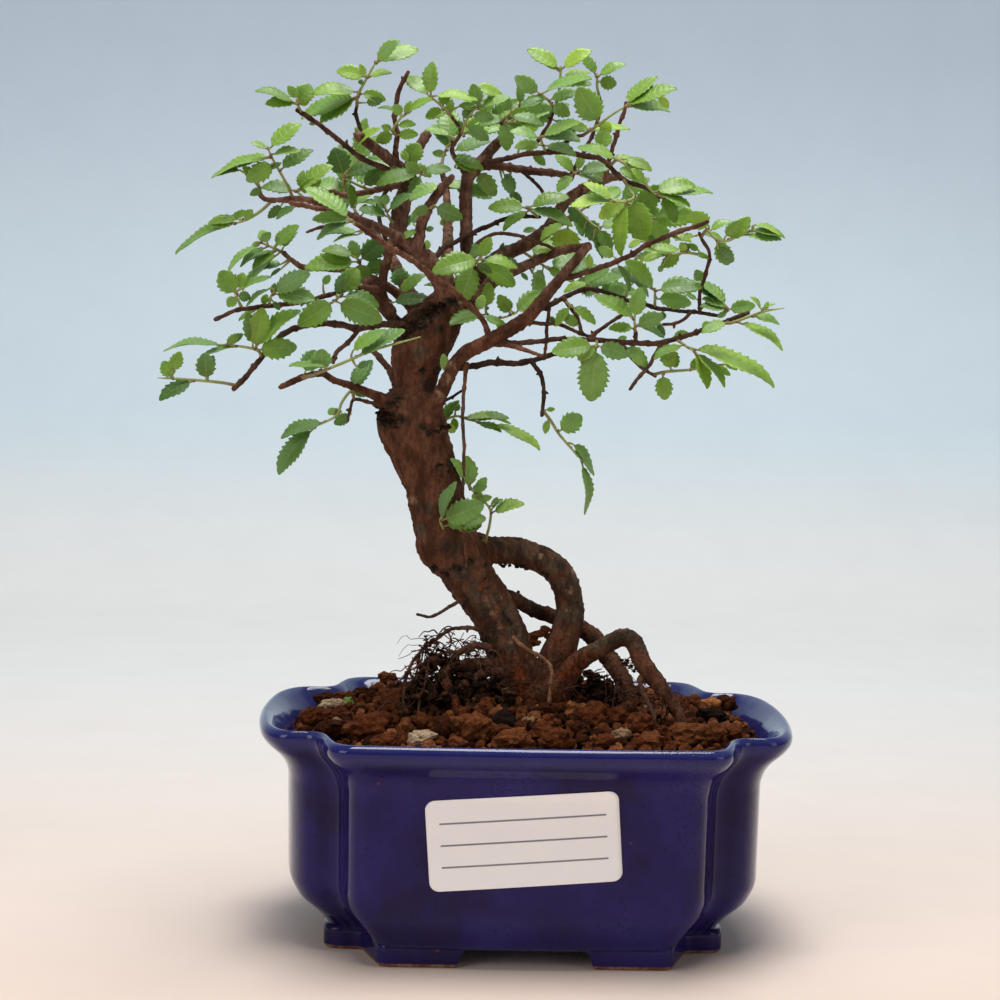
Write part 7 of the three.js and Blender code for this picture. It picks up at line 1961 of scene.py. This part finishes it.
def share_more_leaves(planned):
    """The leaves of MORE_LEAVES by spray, each with its seat on the nearest stem or limb."""
    places = []
    for name, (curve, leaves) in planned.items():
        places += [(name, point) for point in curve.along(np.linspace(0, 1, 50))]
    own_count = len(places)
    for grown in limbs.values():
        places += [(None, point) for point in grown.curve.along(np.linspace(0, 1, 60))]
    columns, rows = shown_at(np.array([point for name, point in places]))
    shared = {name: [] for name in planned}
    for column, row, tip_column, tip_row, width, letter in MORE_LEAVES:
        away = np.hypot(columns - column, rows - row)
        own = int(np.argmin(away[:own_count]))
        nearest = int(np.argmin(away))
        shared[places[own][0]].append((places[nearest][1], column, row, tip_column, tip_row, width, letter))
    return shared


def make_spray(name, curve, leaves, more):
    """A shoot with its planned leaves and those read off beside them."""
    build = Build()
    draw = drawer(sum(map(ord, "leaves_" + name)))
    along = np.linspace(0, 1, max(6, round(curve.length / 0.9)))
    radii = np.interp(along, [0, 0.8, 1], [0.46, 0.31, 0.14])
    tones = np.interp(along, [0, 0.3, 1], [0.9, 0.3, 0.0])
    build.add(*stem_tube(curve.along(along), radii, 7, tones), finish=1)
    # The spray's base tone is partly painted shade and light.
    base_tone = next((value for value, names in SPRAY_TONES.items() if name in names), PLAIN_TONE)
    for leaf in leaves:
        leaf.length *= FULLER[0]
        leaf.width *= FULLER[1] if leaf.width < NARROW else 1
        fit_leaf(leaf)
        young = 0.12 * max(0, 9 - leaf.length) / 5
        tone = min(1, max(0, base_tone + young + 0.4 * (draw() - 0.5)))
        add_blade(build, leaf, tone, draw)
        add_petiole(build, leaf.base - leaf.along * LEAF_SEAT, leaf, draw)
    for seat, column, row, tip_column, tip_row, width, letter in more:
        base = seen(column, row, seat[1])
        lean = 0.7 * (draw() - 0.5) * np.linalg.norm(seen(tip_column, tip_row, seat[1]) - base)
        scale = EYE_FOCAL / ((base - EYE) @ AHEAD)
        leaf = Leaf(base, seen(tip_column, tip_row, base[1] + lean), width / scale)
        fit_leaf(leaf)
        add_blade(build, leaf, min(1, max(0, TONE_LETTERS[letter] + 0.16 * (draw() - 0.5))), draw)
        middle = (seat + base) / 2 + (0, 0, 0.04 * np.linalg.norm(base - seat))
        points = Curve([seat, middle, leaf.point(0.08, 0)]).along(np.linspace(0, 1, 7))
        build.add(*stem_tube(points, np.linspace(0.36, 0.22, 7), 6, np.linspace(0.6, 0.1, 7)), finish=1)
    return build.piece("spray_" + name, [BLADE, SHOOT])


# The object, piece by piece.
def place(piece, slot, *nodes):
    """A piece rides the root, and stands for the solids it is given. Its slot is not used."""
    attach(piece, "root")
    if nodes:
        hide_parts(*nodes)


pot, feet = make_pot()
place(pot, "glaze", "pot")
place(feet, "glaze")
place(make_label(), "sticker", "label")
for node in ("drain_screen_left", "drain_screen_right"):
    screen = bpy.data.objects[node]
    screen.data.materials.clear()
    screen.data.materials.append(NET)
place(make_soil(), "soil", "soil")
for crumbs in make_granules() + make_big_granules() + [make_peat()]:
    place(crumbs, "soil")
place(make_thick_wood(), "bark", "trunk_and_branches")
for thin_wood in (make_twigs(), make_crumbly_cuts(), make_hair_roots()):
    place(thin_wood, "bark")
planned = plan_leaves()
more_leaves = share_more_leaves(planned)
for name, (curve, leaves) in planned.items():
    place(make_spray(name, curve, leaves, more_leaves[name]), "foliage", "leaves_" + name)

# Stage, lights and camera, in metres.
FLOOR_REACH = 1.2
FLOOR_HALF_WIDTH = 2.2
WALL_PLACE = 0.9
WALL_TOP = 1.6
BEND = 0.35


def make_stage():
    """A floor that bends up into a backdrop."""
    bends = [(WALL_PLACE - BEND + BEND * math.sin(turn), BEND - BEND * math.cos(turn))
             for turn in np.linspace(0, math.pi / 2, 24)]
    outline = [(-FLOOR_REACH, 0)] + bends + [(WALL_PLACE, WALL_TOP)]
    points = [(x, y, z) for y, z in outline for x in (-FLOOR_HALF_WIDTH, FLOOR_HALF_WIDTH)]
    faces = [(2 * i, 2 * i + 1, 2 * i + 3, 2 * i + 2) for i in range(len(outline) - 1)]
    mesh = bpy.data.meshes.new("floor")
    mesh.from_pydata(points, [], faces)
    mesh.polygons.foreach_set("use_smooth", [True] * len(faces))
    table = Finish("table")
    tree = table.tree
    split = add_node(tree, "ShaderNodeSeparateXYZ", Vector=table.here)
    depth, height = split.outputs["Y"], split.outputs["Z"]
    ground = table.mix(fade(tree, depth, -0.15, 0.45), (0.77, 0.615, 0.52), (0.69, 0.685, 0.665))
    low = table.mix(fade(tree, height, 0.0, 0.10), ground, (0.515, 0.61, 0.66))
    plain = table.mix(fade(tree, height, 0.08, 0.34), low, (0.41, 0.482, 0.567))
    table.set(Base_Color=table.mix(table.patches(30, 0.3, 0.8), plain, (0.97, 0.97, 0.97), "MULTIPLY"),
              Roughness=0.6)
    mesh.materials.append(table.material)
    floor = bpy.data.objects.new("floor", mesh)
    bpy.context.scene.collection.objects.link(floor)
    return floor


def add_light(name, place, target, size, power, colour=(1, 1, 1)):
    light = bpy.data.lights.new(name, "AREA")
    light.shape = "RECTANGLE"
    light.size, light.size_y = size
    light.energy = power
    light.color = colour
    lamp = bpy.data.objects.new(name, light)
    lamp.location = place
    lamp.rotation_euler = (Vector(target) - Vector(place)).to_track_quat("-Z", "Y").to_euler()
    bpy.context.scene.collection.objects.link(lamp)


make_stage()
add_light("overhead", (0.05, -0.02, 1.5), (0, 0, 0.1), (1.0, 0.6), 24)
add_light("window", (-1.1, -1.0, 0.7), (0, 0, 0.12), (0.9, 0.9), 7, (1, 0.99, 0.97))
add_light("fill", (1.2, -0.9, 0.5), (0, 0, 0.12), (0.8, 0.8), 3)
world = bpy.data.worlds.new("room")
world.use_nodes = True
room = world.node_tree.nodes["Background"]
room.inputs["Color"].default_value = (0.95, 0.97, 1, 1)
room.inputs["Strength"].default_value = 0.13
bpy.context.scene.world = world
bpy.context.scene.view_settings.view_transform = "Standard"

SENSOR = 36
lens = bpy.data.cameras.new("eye")
lens.sensor_width = SENSOR
lens.lens = EYE_FOCAL / PICTURE * SENSOR
eye = bpy.data.objects.new("eye", lens)
turn = Matrix((PICTURE_RIGHT, PICTURE_UP, -AHEAD)).transposed()
eye.matrix_world = Matrix.Translation(Vector((EYE + SHIFT) * MM)) @ turn.to_4x4()
bpy.context.scene.collection.objects.link(eye)
bpy.context.scene.camera = eye
